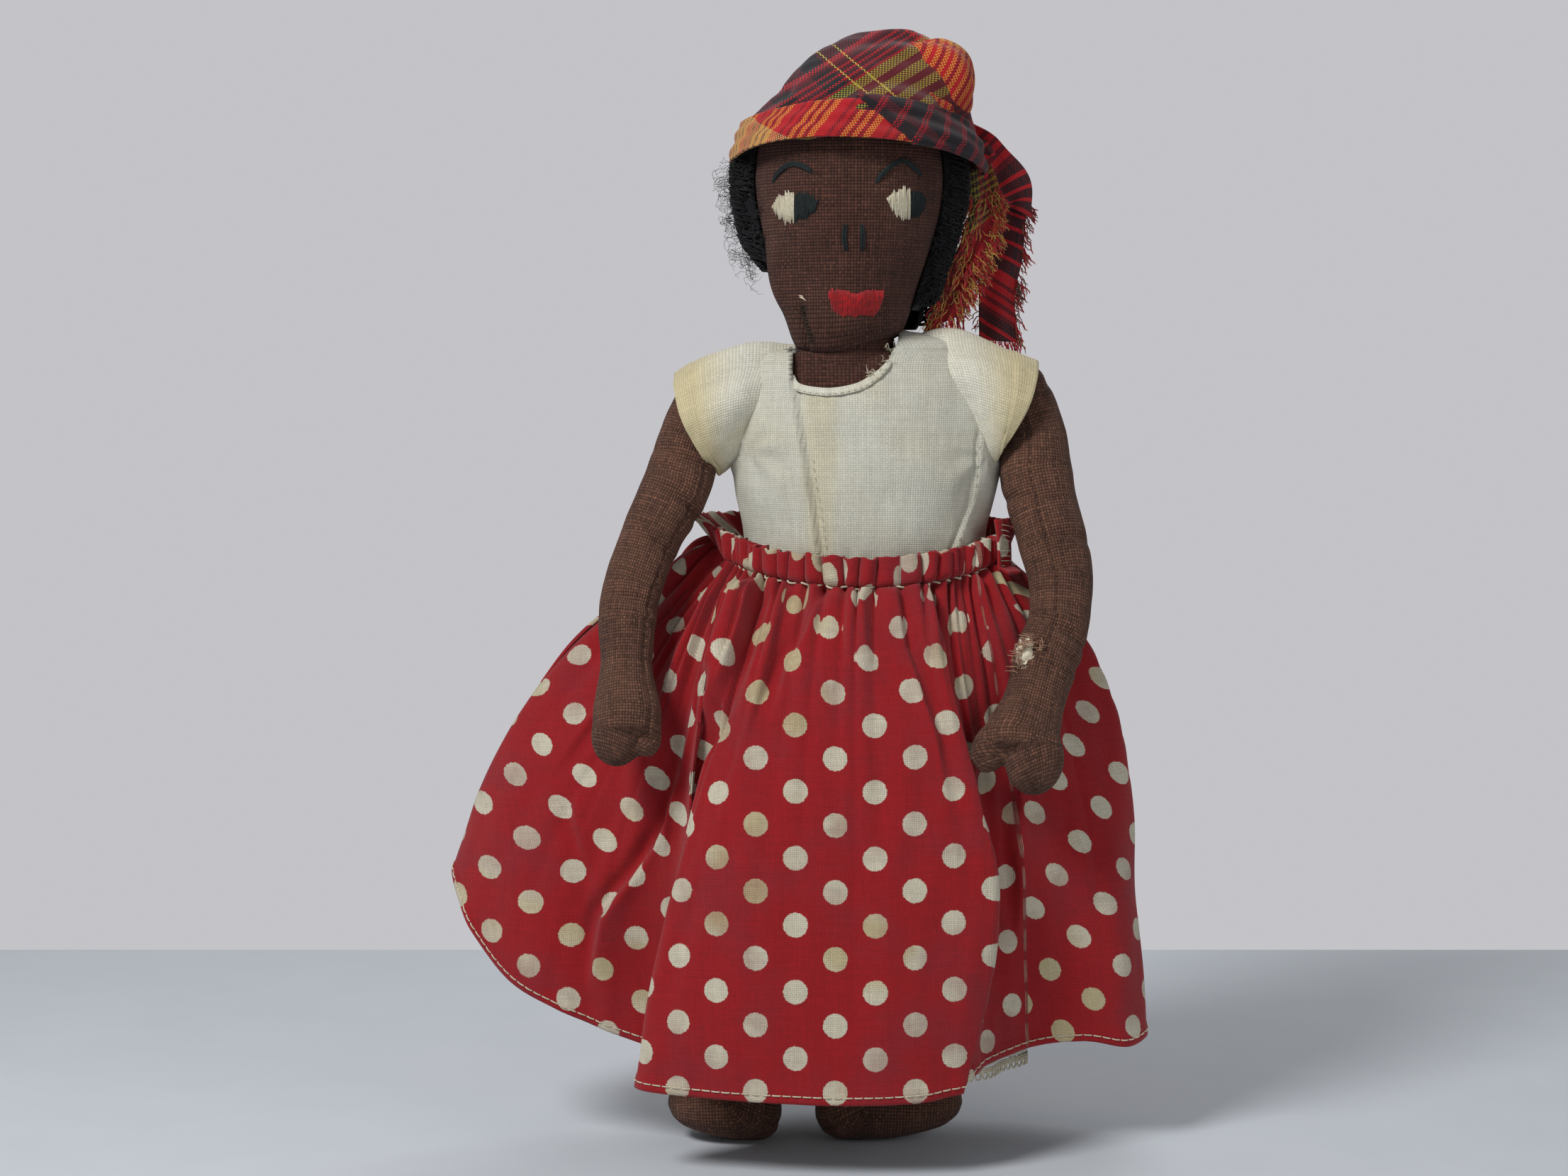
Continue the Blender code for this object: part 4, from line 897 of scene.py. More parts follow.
def strands(
    name: str, lines: Sequence[np.ndarray], radius: float, kind: FibreFinish, taper: float = 1.0,
    sides: int = 1
) -> bpy.types.Object:
    """Many round threads as one mesh.

    Args:
        name: The piece's name.
        lines: The points of each thread, in millimetres.
        radius: Their radius.
        kind: Their finish.
        taper: The radius at the ends, as a share.
        sides: The roundness, where 0 gives four sides and 1 gives six.

    Returns:
        The new object.
    """
    curve = bpy.data.curves.new(name + "_line", "CURVE")
    curve.dimensions = "3D"
    curve.bevel_depth, curve.bevel_resolution, curve.use_fill_caps = radius * MM, sides, True
    for line in lines:
        spline = curve.splines.new("POLY")
        spline.points.add(len(line) - 1)
        for index, (point, place) in enumerate(zip(spline.points, line)):
            end = abs(2 * index / (len(line) - 1) - 1) ** 3
            point.co = (*(float(c) * MM for c in place), 1)
            point.radius = 1 - (1 - taper) * end
    line_object = bpy.data.objects.new(name + "_line", curve)
    bpy.context.scene.collection.objects.link(line_object)
    mesh = bpy.data.meshes.new_from_object(line_object.evaluated_get(bpy.context.evaluated_depsgraph_get()))
    bpy.data.objects.remove(line_object)
    mesh.name = name
    mesh.materials.clear()
    mesh.materials.append(finish_of(kind))
    mesh.shade_smooth()
    made = bpy.data.objects.new(name, mesh)
    bpy.context.scene.collection.objects.link(made)
    return made


def dress(
    piece: bpy.types.Object, body: Body, kind: Union[ClothFinish, FibreFinish], *nodes: str
) -> bpy.types.Object:
    """Hangs a piece on its body and reports it.

    Args:
        piece: The piece.
        body: The body that it moves with.
        kind: Its finish; not used.
        *nodes: The solids that it stands for.

    Returns:
        The piece.
    """
    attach(piece, body.value)
    if nodes:
        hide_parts(*nodes)
    log.info("%s rides on %s", piece.name, body.value)
    return piece


def lay(piece: bpy.types.Object, flat: tuple[float, float]) -> None:
    """Reports the area of a piece of cloth as a share of its flat cut.

    Args:
        piece: The cloth.
        flat: The width and the length of the flat cut, in metres.
    """
    area = sum(face.area for face in piece.data.polygons) / 2
    log.info("%s: its cloth is %.2f of its flat cut", piece.name, area / (flat[0] * flat[1]))


def sew(
    name: str, lines: Sequence[np.ndarray], radius: float, kind: FibreFinish, body: Body, *nodes: str,
    taper: float = 1.0, sides: int = 1
) -> None:
    """Makes threads and hangs them on a body.

    Args:
        name: The piece's name.
        lines: The points of each thread, in millimetres.
        radius: Their radius.
        kind: Their finish.
        body: The body that they move with.
        *nodes: The solids that they stand for.
        taper: The radius at the ends, as a share.
        sides: The roundness, as strands takes it.
    """
    dress(strands(name, lines, radius, kind, taper, sides), body, kind, *nodes)


def stitches(
    path: np.ndarray, pitch: float, share: float, lift: np.ndarray, sag: float = 0.12
) -> list[np.ndarray]:
    """A running stitch along a path.

    Args:
        path: The seam's points.
        pitch: From the start of one stitch to the next.
        share: How much of the pitch the thread shows.
        lift: The direction out of the cloth, at each point.
        sag: How far the thread's ends dive into the cloth.

    Returns:
        The points of each stitch.
    """
    run = run_of(path)
    made = []
    for index in range(int(run[-1] / pitch)):
        at = (index + np.linspace(0, share, 5)) * pitch
        spot = along_line(at, run, path)
        out = along_line(at, run, lift)
        rise = np.array([-sag, sag, sag * 1.4, sag, -sag])[:, None]
        made.append(spot + out * rise)
    return made


@dataclass
class OvalForm:
    """A stuffed form of level ovals, one over another."""

    foot: tuple[float, float, float]
    height: float
    half_width: float
    half_depth: float
    rows: Sequence[tuple[float, float, float]]  # shares up, of the half width and of the half depth
    grown: float = 0.0  # how far a layer lies outside the form

    def __post_init__(self) -> None:
        """Draws the smooth profile and a table of it by height."""
        self.run = Run(np.linspace(0, 1, len(self.rows)), self.rows)
        table = self.run(np.linspace(0, 1, 600))
        order = np.argsort(table[:, 0], kind="stable")
        self.table = table[order]

    def layer(self, grown: float) -> "OvalForm":
        """The same form with a layer of cloth on it."""
        return OvalForm(self.foot, self.height, self.half_width, self.half_depth, self.rows, grown)

    def half_sizes(self, z: np.ndarray) -> tuple[np.ndarray, np.ndarray]:
        """The half width and the half depth at heights in the scene.

        Args:
            z: Heights in millimetres.

        Returns:
            The half widths and the half depths.
        """
        share = (np.asarray(z, float) - self.foot[2]) / self.height
        wide = np.interp(share, self.table[:, 0], self.table[:, 1]) * self.half_width
        deep = np.interp(share, self.table[:, 0], self.table[:, 2]) * self.half_depth
        return wide + self.grown, deep + self.grown

    def front(self, x: np.ndarray, z: np.ndarray) -> np.ndarray:
        """Where the front of the form lies, by place across and height.

        Args:
            x: Places across, in millimetres.
            z: Heights in millimetres.

        Returns:
            The front's places along Y, in millimetres.
        """
        wide, deep = self.half_sizes(z)
        share = np.clip((np.asarray(x, float) - self.foot[0]) / np.maximum(wide, 0.01), -1, 1)
        return self.foot[1] - deep * np.sqrt(1 - share**2)

    def surface(self, across: np.ndarray, along: np.ndarray) -> np.ndarray:
        """The whole form, from its top down.

        Args:
            across: Shares across, from 0 to 1.
            along: Shares along, from 0 to 1.

        Returns:
            Places in millimetres.
        """
        angle = (across - 0.5) * math.tau
        row = self.run(1 - along)
        x = self.foot[0] + (row[:, 1] * self.half_width + self.grown * (row[:, 1] > 0)) * np.sin(angle)
        y = self.foot[1] - (row[:, 2] * self.half_depth + self.grown * (row[:, 2] > 0)) * np.cos(angle)
        return rows_of(x, y, self.foot[2] + row[:, 0] * self.height)

    def flat(self, across: np.ndarray, along: np.ndarray) -> np.ndarray:
        """The flat cloth of the form: yarns that run level and upright on its front.

        Args:
            across: Shares across, from 0 to 1.
            along: Shares along, from 0 to 1.

        Returns:
            Places on the flat cloth, in millimetres.
        """
        row = self.run(1 - along)
        mean = np.sqrt(((row[:, 1] * self.half_width) ** 2 + (row[:, 2] * self.half_depth) ** 2) / 2)
        return rows_of((across - 0.5) * math.tau * mean, row[:, 0] * self.height)


class Stuffed:
    """What every stuffed piece of the doll is made with."""

    @staticmethod
    def plump(piece: bpy.types.Object, lumps: float, size: float, seed: float) -> None:
        """Moves the surface in and out, as stuffing does.

        Args:
            piece: The piece, in metres.
            lumps: How far, in millimetres.
            size: The distance between lumps, in millimetres.
            seed: Shifts the pattern.
        """
        mesh = piece.data
        spots, normals = vertex_values(mesh, "co"), vertex_values(mesh, "normal")
        spots += normals * (rumple(spots / MM, size, seed) * lumps * MM)[:, None]
        mesh.vertices.foreach_set("co", spots.ravel())
        mesh.update()


@dataclass
class Trunk(Stuffed):
    """The stuffed trunk and the neck."""

    cells: tuple[int, int] = (96, 72)  # across and along, as in every class below
    form: OvalForm = field(
        default_factory=lambda: OvalForm(
            (MIDDLE, 0, 108), 80, 30.3, 17.5,
            (
                (0.003, 0, 0), (0.01, 0.60, 0.03), (0.02, 0.80, 0.10), (0.07, 0.88, 0.34),
                (0.20, 0.92, 0.80), (0.34, 0.90, 0.98), (0.46, 0.89, 1.01), (0.61, 0.97, 1.00),
                (0.76, 0.99, 0.89), (0.88, 0.95, 0.72), (0.955, 0.84, 0.55), (0.985, 0.62, 0.36),
                (0.992, 0, 0),
            ),
        )
    )
    neck: OvalForm = field(
        default_factory=lambda: OvalForm(
            (-1.8, 0, 174), 17.5, 12.4, 10.4,
            (
                (0.0, 0, 0), (0.02, 0.5, 0.5), (0.10, 0.78, 0.80), (0.4, 0.97, 1.0), (0.7, 0.90, 0.94),
                (0.94, 0.80, 0.86), (0.98, 0.5, 0.5), (1.0, 0, 0)
            ),
        )
    )

    def build(self) -> None:
        """Makes the trunk and the neck."""
        for name, form, body in (("trunk", self.form, Body.TORSO), ("neck_skin", self.neck, Body.NECK)):
            work = sheet_mesh(*self.cells, form.surface, form.flat, ring=True)
            piece = piece_from(name, work, FINISHES.skin)
            self.plump(piece, lumps=0.18, size=9, seed=3.0)
            dress(piece, body, FINISHES.skin, "torso" if body is Body.TORSO else "neck")


@dataclass
class Head(Stuffed):
    """The stuffed head with the face worked in thread."""

    middle: float = -1.8
    chin: float = 188.0
    height: float = 66.0
    cells: tuple[int, int] = (150, 120)
    satin_pitch: float = 0.42  # from one satin thread to the next, before they are pressed together
    satin_radius: float = 0.25
    brow_radius: float = 0.42
    nostril_radius: float = 0.30
    mouth_radius: float = 0.26
    mend_radius: float = 0.10
    straw_radius: float = 0.16
    mend_stitches: int = 34
    form: OvalForm = field(
        default_factory=lambda: OvalForm(
            (-1.8, 0, 188), 66, 21.7, 19,
            (
                (0.010, 0, 0), (0.013, 0.34, 0.36), (0.035, 0.545, 0.63), (0.12, 0.66, 0.855),
                (0.25, 0.79, 0.95), (0.38, 0.92, 1.00), (0.50, 1.00, 1.02), (0.63, 1.01, 1.03),
                (0.76, 0.92, 0.97), (0.88, 0.68, 0.78), (0.95, 0.38, 0.44), (0.965, 0, 0),
            ),
        )
    )
    white: Sequence[tuple[float, float]] = (
        (-1.0, 0.1), (-0.80, 0.55), (-0.62, 0.80), (-0.35, 0.95), (-0.02, 0.90), (-0.02, -0.92),
        (-0.4, -1.0), (-0.75, -0.5),
    )
    pupil: Sequence[tuple[float, float]] = (
        (-0.02, 0.85), (0.5, 0.92), (0.82, 0.7), (1.0, 0.2), (0.85, -0.4), (0.5, -0.85), (-0.02, -0.95),
    )
    lips: Sequence[tuple[float, float]] = (
        (-1.0, 0.95), (-0.90, 1.02), (-0.40, 0.95), (-0.02, 0.70), (0.35, 0.98), (0.98, 0.98), (0.94, 0.30),
        (0.82, -0.60), (0.60, -0.97), (-0.55, -0.90), (-0.84, -0.62), (-0.97, 0.10),
    )

    def build(self) -> None:
        """Makes the head, its seams and its face."""
        work = sheet_mesh(*self.cells, self.shaped, self.form.flat, ring=True)
        head = piece_from("head_skin", work, FINISHES.skin)
        self.plump(head, lumps=0.16, size=7, seed=11.0)
        dress(head, Body.HEAD, FINISHES.skin, "head")
        self.sew_face()
        self.mend_jaw()

    def shaped(self, across: np.ndarray, along: np.ndarray) -> np.ndarray:
        """The head with its side seams drawn in and a mended seam at the right of the jaw.

        Args:
            across: Shares across, from 0 to 1.
            along: Shares along, from 0 to 1.

        Returns:
            Places in millimetres.
        """
        places = self.form.surface(across, along)
        angle = (across - 0.5) * math.tau
        seam = bump_shape(np.abs(angle) - math.pi / 2, 0.035)
        line = -12.4 + (197 - places[:, 2]) * 0.20
        mend = bump_shape(places[:, 0] - line, 0.45) * soft_step(places[:, 2], 200, 196) * (places[:, 1] < 0)
        dip = 1 - seam * 0.022 - mend * 0.045
        centre = np.array([self.middle, 0.0])
        places[:, :2] = centre + (places[:, :2] - centre) * dip[:, None]
        cheek = bump_shape(angle + 1.2, 0.36) * bump_shape(places[:, 2] - 201, 9)
        places[:, 0] -= 3.0 * cheek
        return self.jowled(places)

    @staticmethod
    def jowled(places: np.ndarray) -> np.ndarray:
        """Lets the chin hang lower at the doll's right.

        Args:
            places: Places in millimetres, changed here.

        Returns:
            The same places.
        """
        share = soft_step(places[:, 2], 196.5, 189) * soft_step(places[:, 1], 8, -2)
        places[:, 2] -= 3.3 * soft_step(places[:, 0], 8, -8) * share
        return places

    def spot(self, x: np.ndarray, z: np.ndarray, lift: np.ndarray) -> np.ndarray:
        """Places over the face, by how far they stand off the cloth."""
        return self.jowled(rows_of(x + 0 * z, self.form.front(x, z) - lift, z + 0 * x))

    def satin(self, outline: Sequence[tuple[float, float]], ragged: float, seed: int) -> list[np.ndarray]:
        """Upright threads side by side that fill an outline.

        Args:
            outline: The corners on the face, across and up.
            ragged: How unevenly the threads end.
            seed: Fixes the unevenness.

        Returns:
            The points of each thread.
        """
        dice = np.random.default_rng(seed)
        corners = np.array(outline)
        following = np.roll(corners, -1, axis=0)
        made = []
        low, high = corners[:, 0].min(), corners[:, 0].max()
        pitch = self.satin_pitch
        for x in np.arange(low + pitch * 0.4, high - pitch * 0.2, pitch * 0.86):
            hits = [
                a[1] + (b[1] - a[1]) * (x - a[0]) / (b[0] - a[0])
                for a, b in zip(corners, following)
                if (a[0] - x) * (b[0] - x) <= 0 and a[0] != b[0]
            ]
            bottom, top = min(hits) + dice.normal(0, ragged), max(hits) + dice.normal(0, ragged)
            share = np.linspace(0, 1, 9)
            lean = dice.normal(0, 0.10) * (share - 0.5)
            lift = -0.10 + (0.50 + dice.normal(0, 0.05)) * np.sin(share * math.pi) ** 0.4
            made.append(self.spot(x + lean, bottom + (top - bottom) * share, lift))
        return made

    def placed(
        self, shares: Sequence[tuple[float, float]], wide: float, tall: float, x: float, z: float
    ) -> list:
        """An outline scaled to a feature and put on the face."""
        return [(x + across * wide, z + up * tall) for across, up in shares]

    def line(self, points: Sequence[tuple[float, float]], lift: float) -> np.ndarray:
        """A laid thread through points on the face.

        Args:
            points: Places on the face, across and up.
            lift: How far the thread stands out.

        Returns:
            The thread's points.
        """
        places = Run(np.linspace(0, 1, len(points)), points)(np.linspace(0, 1, 14))
        share = np.linspace(0, 1, 14)
        return self.spot(places[:, 0], places[:, 1], -0.12 + lift * np.sin(share * math.pi) ** 0.3)

    def sew_face(self) -> None:
        """Works the eyes, brows, nose and mouth."""
        for side, name, x, z, wide, dark in (
            (-1, "right", -14.6, 219.2, 5.1, 5.3), (1, "left", 12.0, 219.9, 5.6, 3.6)
        ):
            threads = self.satin(self.placed(self.white, wide, 3.7, x, z), 0.30, 5 + side)
            sew(
                f"{name}_eye_white_satin", threads, self.satin_radius, FINISHES.cream_thread,
                Body.HEAD, f"{name}_eye_white", taper=0.6
            )
            threads = self.satin(self.placed(self.pupil, dark, 3.4, x, z), 0.18, 9 + side)
            sew(
                f"{name}_pupil_satin", threads, self.satin_radius, FINISHES.black_thread,
                Body.HEAD, f"{name}_pupil", taper=0.6
            )
        brows = {
            "right": [
                ((-19.7, 225.4), (-18.4, 227.2), (-16.7, 228.6), (-15.0, 229.1)),
                ((-15.9, 229.2), (-14.0, 229.0), (-12.3, 228.3), (-10.5, 227.2))
            ],
            "left": [
                ((3.8, 224.8), (5.4, 226.7), (7.4, 228.6), (9.7, 229.8)),
                ((9.1, 229.9), (11.2, 229.4), (12.8, 228.2), (14.4, 226.7))
            ],
        }
        for name, lines in brows.items():
            threads = [self.line(points, 0.42) for points in lines]
            threads += [self.line([(x, z - 0.55) for x, z in points], 0.36) for points in lines]
            sew(
                f"{name}_brow_stitch", threads, self.brow_radius, FINISHES.black_thread,
                Body.HEAD, f"{name}_brow", taper=0.5
            )
        for name, x, bow in (("right", -3.0, -0.35), ("left", 0.7, 0.2)):
            threads = [
                self.line([(x + shift, 215.1), (x + bow + shift, 212.2), (x + shift + 0.1, 209.0)], 0.36)
                for shift in (-0.28, 0.28)
            ]
            sew(
                f"{name}_nostril_stitch", threads, self.nostril_radius, FINISHES.black_thread,
                Body.HEAD, f"{name}_nostril", taper=0.5
            )
        outline = self.placed(self.lips, 6.4, 2.85, -0.45, 197.4)
        sew(
            "mouth_satin", self.satin(outline, 0.10, 3), self.mouth_radius, FINISHES.red_thread,
            Body.HEAD, "mouth", taper=0.7
        )

    def mend_jaw(self) -> None:
        """Adds the oversewn stitches of the mended seam, and a scrap of straw that sticks out above them."""
        dice = np.random.default_rng(9)
        rounds, downs = np.meshgrid(np.linspace(0.22, 0.5, 160), np.linspace(0.5, 1, 260))
        skin = self.shaped(rounds.ravel(), downs.ravel())
        out = np.array([-0.45, -0.89, 0.0])
        threads = []
        for index in range(self.mend_stitches):
            z = 197.0 - index * 0.25
            x = -12.8 + (197 - z) * 0.25 + dice.normal(0, 0.12)
            half, rise = dice.uniform(0.35, 0.75), dice.normal(0.1, 0.25)
            loop = (-0.1, 0.2, 0.3 + dice.uniform(0, 0.3), 0.2, -0.1)
            steps = zip(np.linspace(x - half, x + half, 5), np.linspace(z, z + rise, 5), loop)
            threads.append(
                np.array(
                    [
                        skin[np.argmin(np.hypot(skin[:, 0] - a, skin[:, 2] - b))] + out * lift
                        for a, b, lift in steps
                    ]
                )
            )
        sew("jaw_mend", threads, self.mend_radius, FINISHES.mending_thread, Body.HEAD)
        straw = [
            self.spot(
                np.linspace(-14.8, -12.2, 5), np.array([198.7, 199.0, 199.2, 199.0, 198.5]),
                np.array([-0.1, 0.4, 0.6, 0.5, 0.1])
            ),
            self.spot(
                np.linspace(-14.2, -12.0, 5), np.array([198.5, 198.8, 198.7, 198.4, 197.9]),
                np.array([-0.1, 0.3, 0.7, 0.8, 0.6])
            ),
        ]
        sew("jaw_straw", straw, self.straw_radius, FINISHES.wadding, Body.HEAD, taper=0.3)


class Limb(Stuffed):
    """A stuffed tube of cloth with lobes at its end, made as one skin."""

    def skin(
        self, name: str, shells: Sequence[bmesh.types.BMesh], voxel: float, rounds: int
    ) -> bpy.types.Object:
        """Melts closed shells that run into each other into one smooth skin.

        Args:
            name: The piece's name.
            shells: The shells in millimetres, freed here.
            voxel: The grain of the new skin in millimetres.
            rounds: How often it is smoothed.

        Returns:
            The piece, with no cloth places yet.
        """
        whole = bmesh.new()
        for shell in shells:
            loose = bpy.data.meshes.new("shell")
            shell.to_mesh(loose)
            shell.free()
            whole.from_mesh(loose)
            bpy.data.meshes.remove(loose)
        piece = piece_from(name, whole, FINISHES.limb)
        melt = piece.modifiers.new("Remesh", "REMESH")
        melt.mode, melt.voxel_size = "VOXEL", voxel * MM
        settled(piece)
        work = bmesh.new()
        work.from_mesh(piece.data)
        for _ in range(rounds):
            bmesh.ops.smooth_vert(
                work, verts=work.verts, factor=0.5, use_axis_x=True, use_axis_y=True, use_axis_z=True
            )
        work.to_mesh(piece.data)
        work.free()
        piece.data.materials.clear()
        piece.data.materials.append(finish_of(FINISHES.limb))
        piece.data.shade_smooth()
        return piece

    def measured(self, places: np.ndarray, route: np.ndarray) -> tuple[np.ndarray, np.ndarray, np.ndarray]:
        """Where places lie along a limb and around it.

        Args:
            places: Places in millimetres.
            route: The limb's middle line.

        Returns:
            The run along the line, the angle from the front to the doll's left, and the distance from it.
        """
        run = run_of(route)
        fine = np.linspace(0, run[-1], 240)
        line = along_line(fine, run, route)
        nearest = np.empty(len(places), int)
        for start in range(0, len(places), 4000):
            gaps = ((places[start : start + 4000, None, :] - line[None]) ** 2).sum(2)
            nearest[start : start + 4000] = gaps.argmin(1)
        tangent = unit(np.gradient(line, axis=0))
        front = unit(np.array([0.0, -1.0, 0.0]) - tangent * -tangent[:, 1:2])
        left = np.cross(front, tangent)
        away = places - line[nearest]
        angle = np.arctan2((away * left[nearest]).sum(1), (away * front[nearest]).sum(1))
        along = fine[nearest] + (away * tangent[nearest]).sum(1)
        return along, angle, np.linalg.norm(away, axis=1)

    def lay_cloth(self, piece: bpy.types.Object, route: np.ndarray, radius: float) -> None:
        """Writes the cloth places of a limb: along it, and round it at its mean radius.

        Args:
            piece: The piece.
            route: The limb's middle line.
            radius: Its mean radius.
        """
        mesh = piece.data
        along, angle, _ = self.measured(vertex_values(mesh, "co") / MM, route)
        cloth = mesh.uv_layers.new(name="cloth")
        for face in mesh.polygons:
            turns = angle[list(face.vertices)]
            if turns.max() - turns.min() > math.pi:
                turns = np.where(turns < 0, turns + math.tau, turns)
            for loop, vertex, turn in zip(face.loop_indices, face.vertices, turns):
                cloth.data[loop].uv = (turn * radius, -along[vertex])

    def crease(
        self, piece: bpy.types.Object, route: np.ndarray,
        creases: Sequence[tuple[float, float, float, float]], seam: float
    ) -> None:
        """Presses creases and a seam into a limb.

        Args:
            piece: The limb.
            route: Its middle line.
            creases: Each a run along the line, a depth, the angle of its middle and half its angular length.
            seam: The angle at which the long seam runs.
        """
        mesh = piece.data
        spots, normals = vertex_values(mesh, "co"), vertex_values(mesh, "normal")
        along, angle, away = self.measured(spots / MM, route)
        push = rumple(spots / MM, 6.0, 4.0) * 0.22
        for place, depth, middle, half in creases:
            turn = np.angle(np.exp(1j * (angle - middle)))
            reach = np.cos(np.clip(turn / half, -1, 1) * math.pi / 2)
            wander = along - place - 1.2 * np.sin(turn * 1.5)
            push -= depth * reach * (bump_shape(wander, 0.9) - 0.35 * bump_shape(np.abs(wander) - 2.6, 1.6))
        turn = np.angle(np.exp(1j * (angle - seam))) * away
        push -= 0.45 * bump_shape(turn, 0.45) - 0.16 * bump_shape(np.abs(turn) - 1.2, 0.7)
        spots += normals * (push * MM)[:, None]
        mesh.vertices.foreach_set("co", spots.ravel())
        mesh.update()


@dataclass
class Arm(Limb):
    """A stuffed arm with a mitten hand."""

    side: int
    # Each row is shares of the length outwards and down, then a share of the half width.
    rows: Sequence[tuple[float, float, float]]
    fingers: tuple[float, float, float, float]
    thumb: tuple[float, float, float, float]
    thumb_turn: float
    creases: Sequence[tuple[float, float, float, float]]
    seam: float
    length: float = 88.0
    half_width: float = 7.2
    depth_share: float = 0.88
    forward_share: float = 0.41
    seam_radius: float = 0.12
    cells: tuple[int, int] = (40, 70)

    def __post_init__(self) -> None:
        """Names the arm after its side."""
        self.name = "right" if self.side < 0 else "left"
        self.shoulder = np.array([MIDDLE + self.side * SHOULDER_REACH, 0.0, 176.0])

    @classmethod
    def right(cls) -> "Arm":
        """The doll's right arm, which bends at the elbow and the wrist.

        Returns:
            The arm.
        """
        rows = (
            (0, -0.085, 0.36), (0, -0.055, 0.78), (0, 0, 1.02), (0.050, 0.120, 1.04), (0.084, 0.236, 1.11),
            (0.148, 0.366, 0.98), (0.196, 0.500, 0.94), (0.209, 0.590, 0.92), (0.209, 0.678, 0.83),
            (0.208, 0.735, 0.90), (0.204, 0.809, 1.08), (0.205, 0.870, 1.06),
        )
        creases = (
            (22, 0.9, -0.2, 1.5), (32, 1.2, 0.5, 1.4), (45, 0.7, 0.9, 1.0), (59, 0.8, 0.0, 1.5),
            (63.5, 0.5, 0.6, 1.2)
        )
        return cls(
            -1, rows, (0.231, 0.872, 0.066, 0.076), (0.152, 0.870, 0.040, 0.054), 0.0, creases,
            math.radians(48)
        )

    @classmethod
    def left(cls) -> "Arm":
        """The doll's left arm, which turns inwards at the worn wrist.

        Returns:
            The arm.
        """
        rows = (
            (0, -0.085, 0.36), (0, -0.055, 0.78), (0, 0, 1.02), (0.036, 0.102, 1.02), (0.037, 0.198, 1.19),
            (0.055, 0.290, 1.13), (0.076, 0.380, 1.11), (0.095, 0.476, 1.05), (0.086, 0.585, 0.98),
            (0.053, 0.668, 1.05), (0.033, 0.731, 0.98), (0.010, 0.800, 1.02), (-0.018, 0.870, 1.20),
            (-0.024, 0.910, 1.12),
        )
        creases = ((30, 0.7, -0.9, 1.0), (42, 0.5, 0.6, 1.2), (64, 0.9, 0.2, 1.6), (70, 0.6, 0.9, 0.9))
        return cls(
            1, rows, (0.012, 0.925, 0.076, 0.095), (-0.098, 0.895, 0.050, 0.070), math.radians(24), creases,
            math.radians(-15)
        )

    def place(self, out: float, down: float) -> np.ndarray:
        """A place on the arm's middle line, from shares of its length."""
        forward = self.forward_share * max(down, 0) ** 1.3
        return self.shoulder + self.length * np.array([self.side * out, -forward, -down])

    def lobe(self, spec: tuple[float, float, float, float], turn: float) -> bmesh.types.BMesh:
        """A rounded lobe of the hand.

        Args:
            spec: Its place outwards and down, its half width and its half height, as shares of the length.
            turn: How far it leans.

        Returns:
            Its closed shell.
        """
        out, down, wide, tall = spec
        work = bmesh.new()
        bmesh.ops.create_uvsphere(work, u_segments=24, v_segments=16, radius=1)
        deep = min(wide * 0.78 * self.length, self.half_width * self.depth_share)
        bmesh.ops.scale(work, vec=(wide * self.length, deep, tall * self.length), verts=work.verts)
        lean = Vector((0, 0, 1)).rotation_difference(Vector((math.sin(turn), 0, math.cos(turn)))).to_matrix()
        bmesh.ops.rotate(work, matrix=lean, verts=work.verts)
        bmesh.ops.translate(work, vec=self.place(out, down), verts=work.verts)
        return work

    def tube(self) -> bmesh.types.BMesh:
        """The closed tube from the shoulder to the hand."""
        places = np.array([self.place(out, down) for out, down, _ in self.rows])
        run = Run(
            np.linspace(0, 1, len(places)), np.column_stack([places, [wide for _, _, wide in self.rows]])
        )

        def surface(across: np.ndarray, along: np.ndarray) -> np.ndarray:
            """The tube's skin.

            Args:
                across: Shares across, from 0 to 1.
                along: Shares along, from 0 to 1.

            Returns:
                Places in millimetres.
            """
            row, ahead, behind = (
                run(along), run(np.minimum(along + 0.02, 1)), run(np.maximum(along - 0.02, 0))
            )
            tangent = unit((ahead - behind)[:, :3])
            front = unit(np.array([0.0, 1.0, 0.0]) - tangent * tangent[:, 1:2])
            side = np.cross(tangent, front)
            angle = across * math.tau
            wide = row[:, 3] * self.half_width
            return (
                row[:, :3] + side * (wide * np.cos(angle))[:, None]
                + front * (wide * self.depth_share * np.sin(angle))[:, None]
            )

        work = sheet_mesh(*self.cells, surface, lambda across, along: rows_of(across, along), ring=True)
        bmesh.ops.holes_fill(work, edges=[edge for edge in work.edges if edge.is_boundary], sides=0)
        bmesh.ops.recalc_face_normals(work, faces=work.faces)
        return work

    def build(self) -> None:
        """Makes the arm and its seam's stitches."""
        lobes = [self.lobe(self.fingers, self.side * math.radians(8)), self.lobe(self.thumb, self.thumb_turn)]
        piece = self.skin(f"{self.name}_arm_skin", [self.tube(), *lobes], voxel=0.75, rounds=3)
        route = np.array(
            [self.place(out, down) for out, down, _ in self.rows[1:]]
            + [self.place(*self.fingers[:2]) - (0, 2, 6)]
        )
        self.crease(piece, route, self.creases, self.seam)
        self.lay_cloth(piece, route, self.half_width)
        body = Body.RIGHT_ARM if self.side < 0 else Body.LEFT_ARM
        dress(piece, body, FINISHES.limb, f"{self.name}_arm")
        self.sew_seam(piece, route, body)

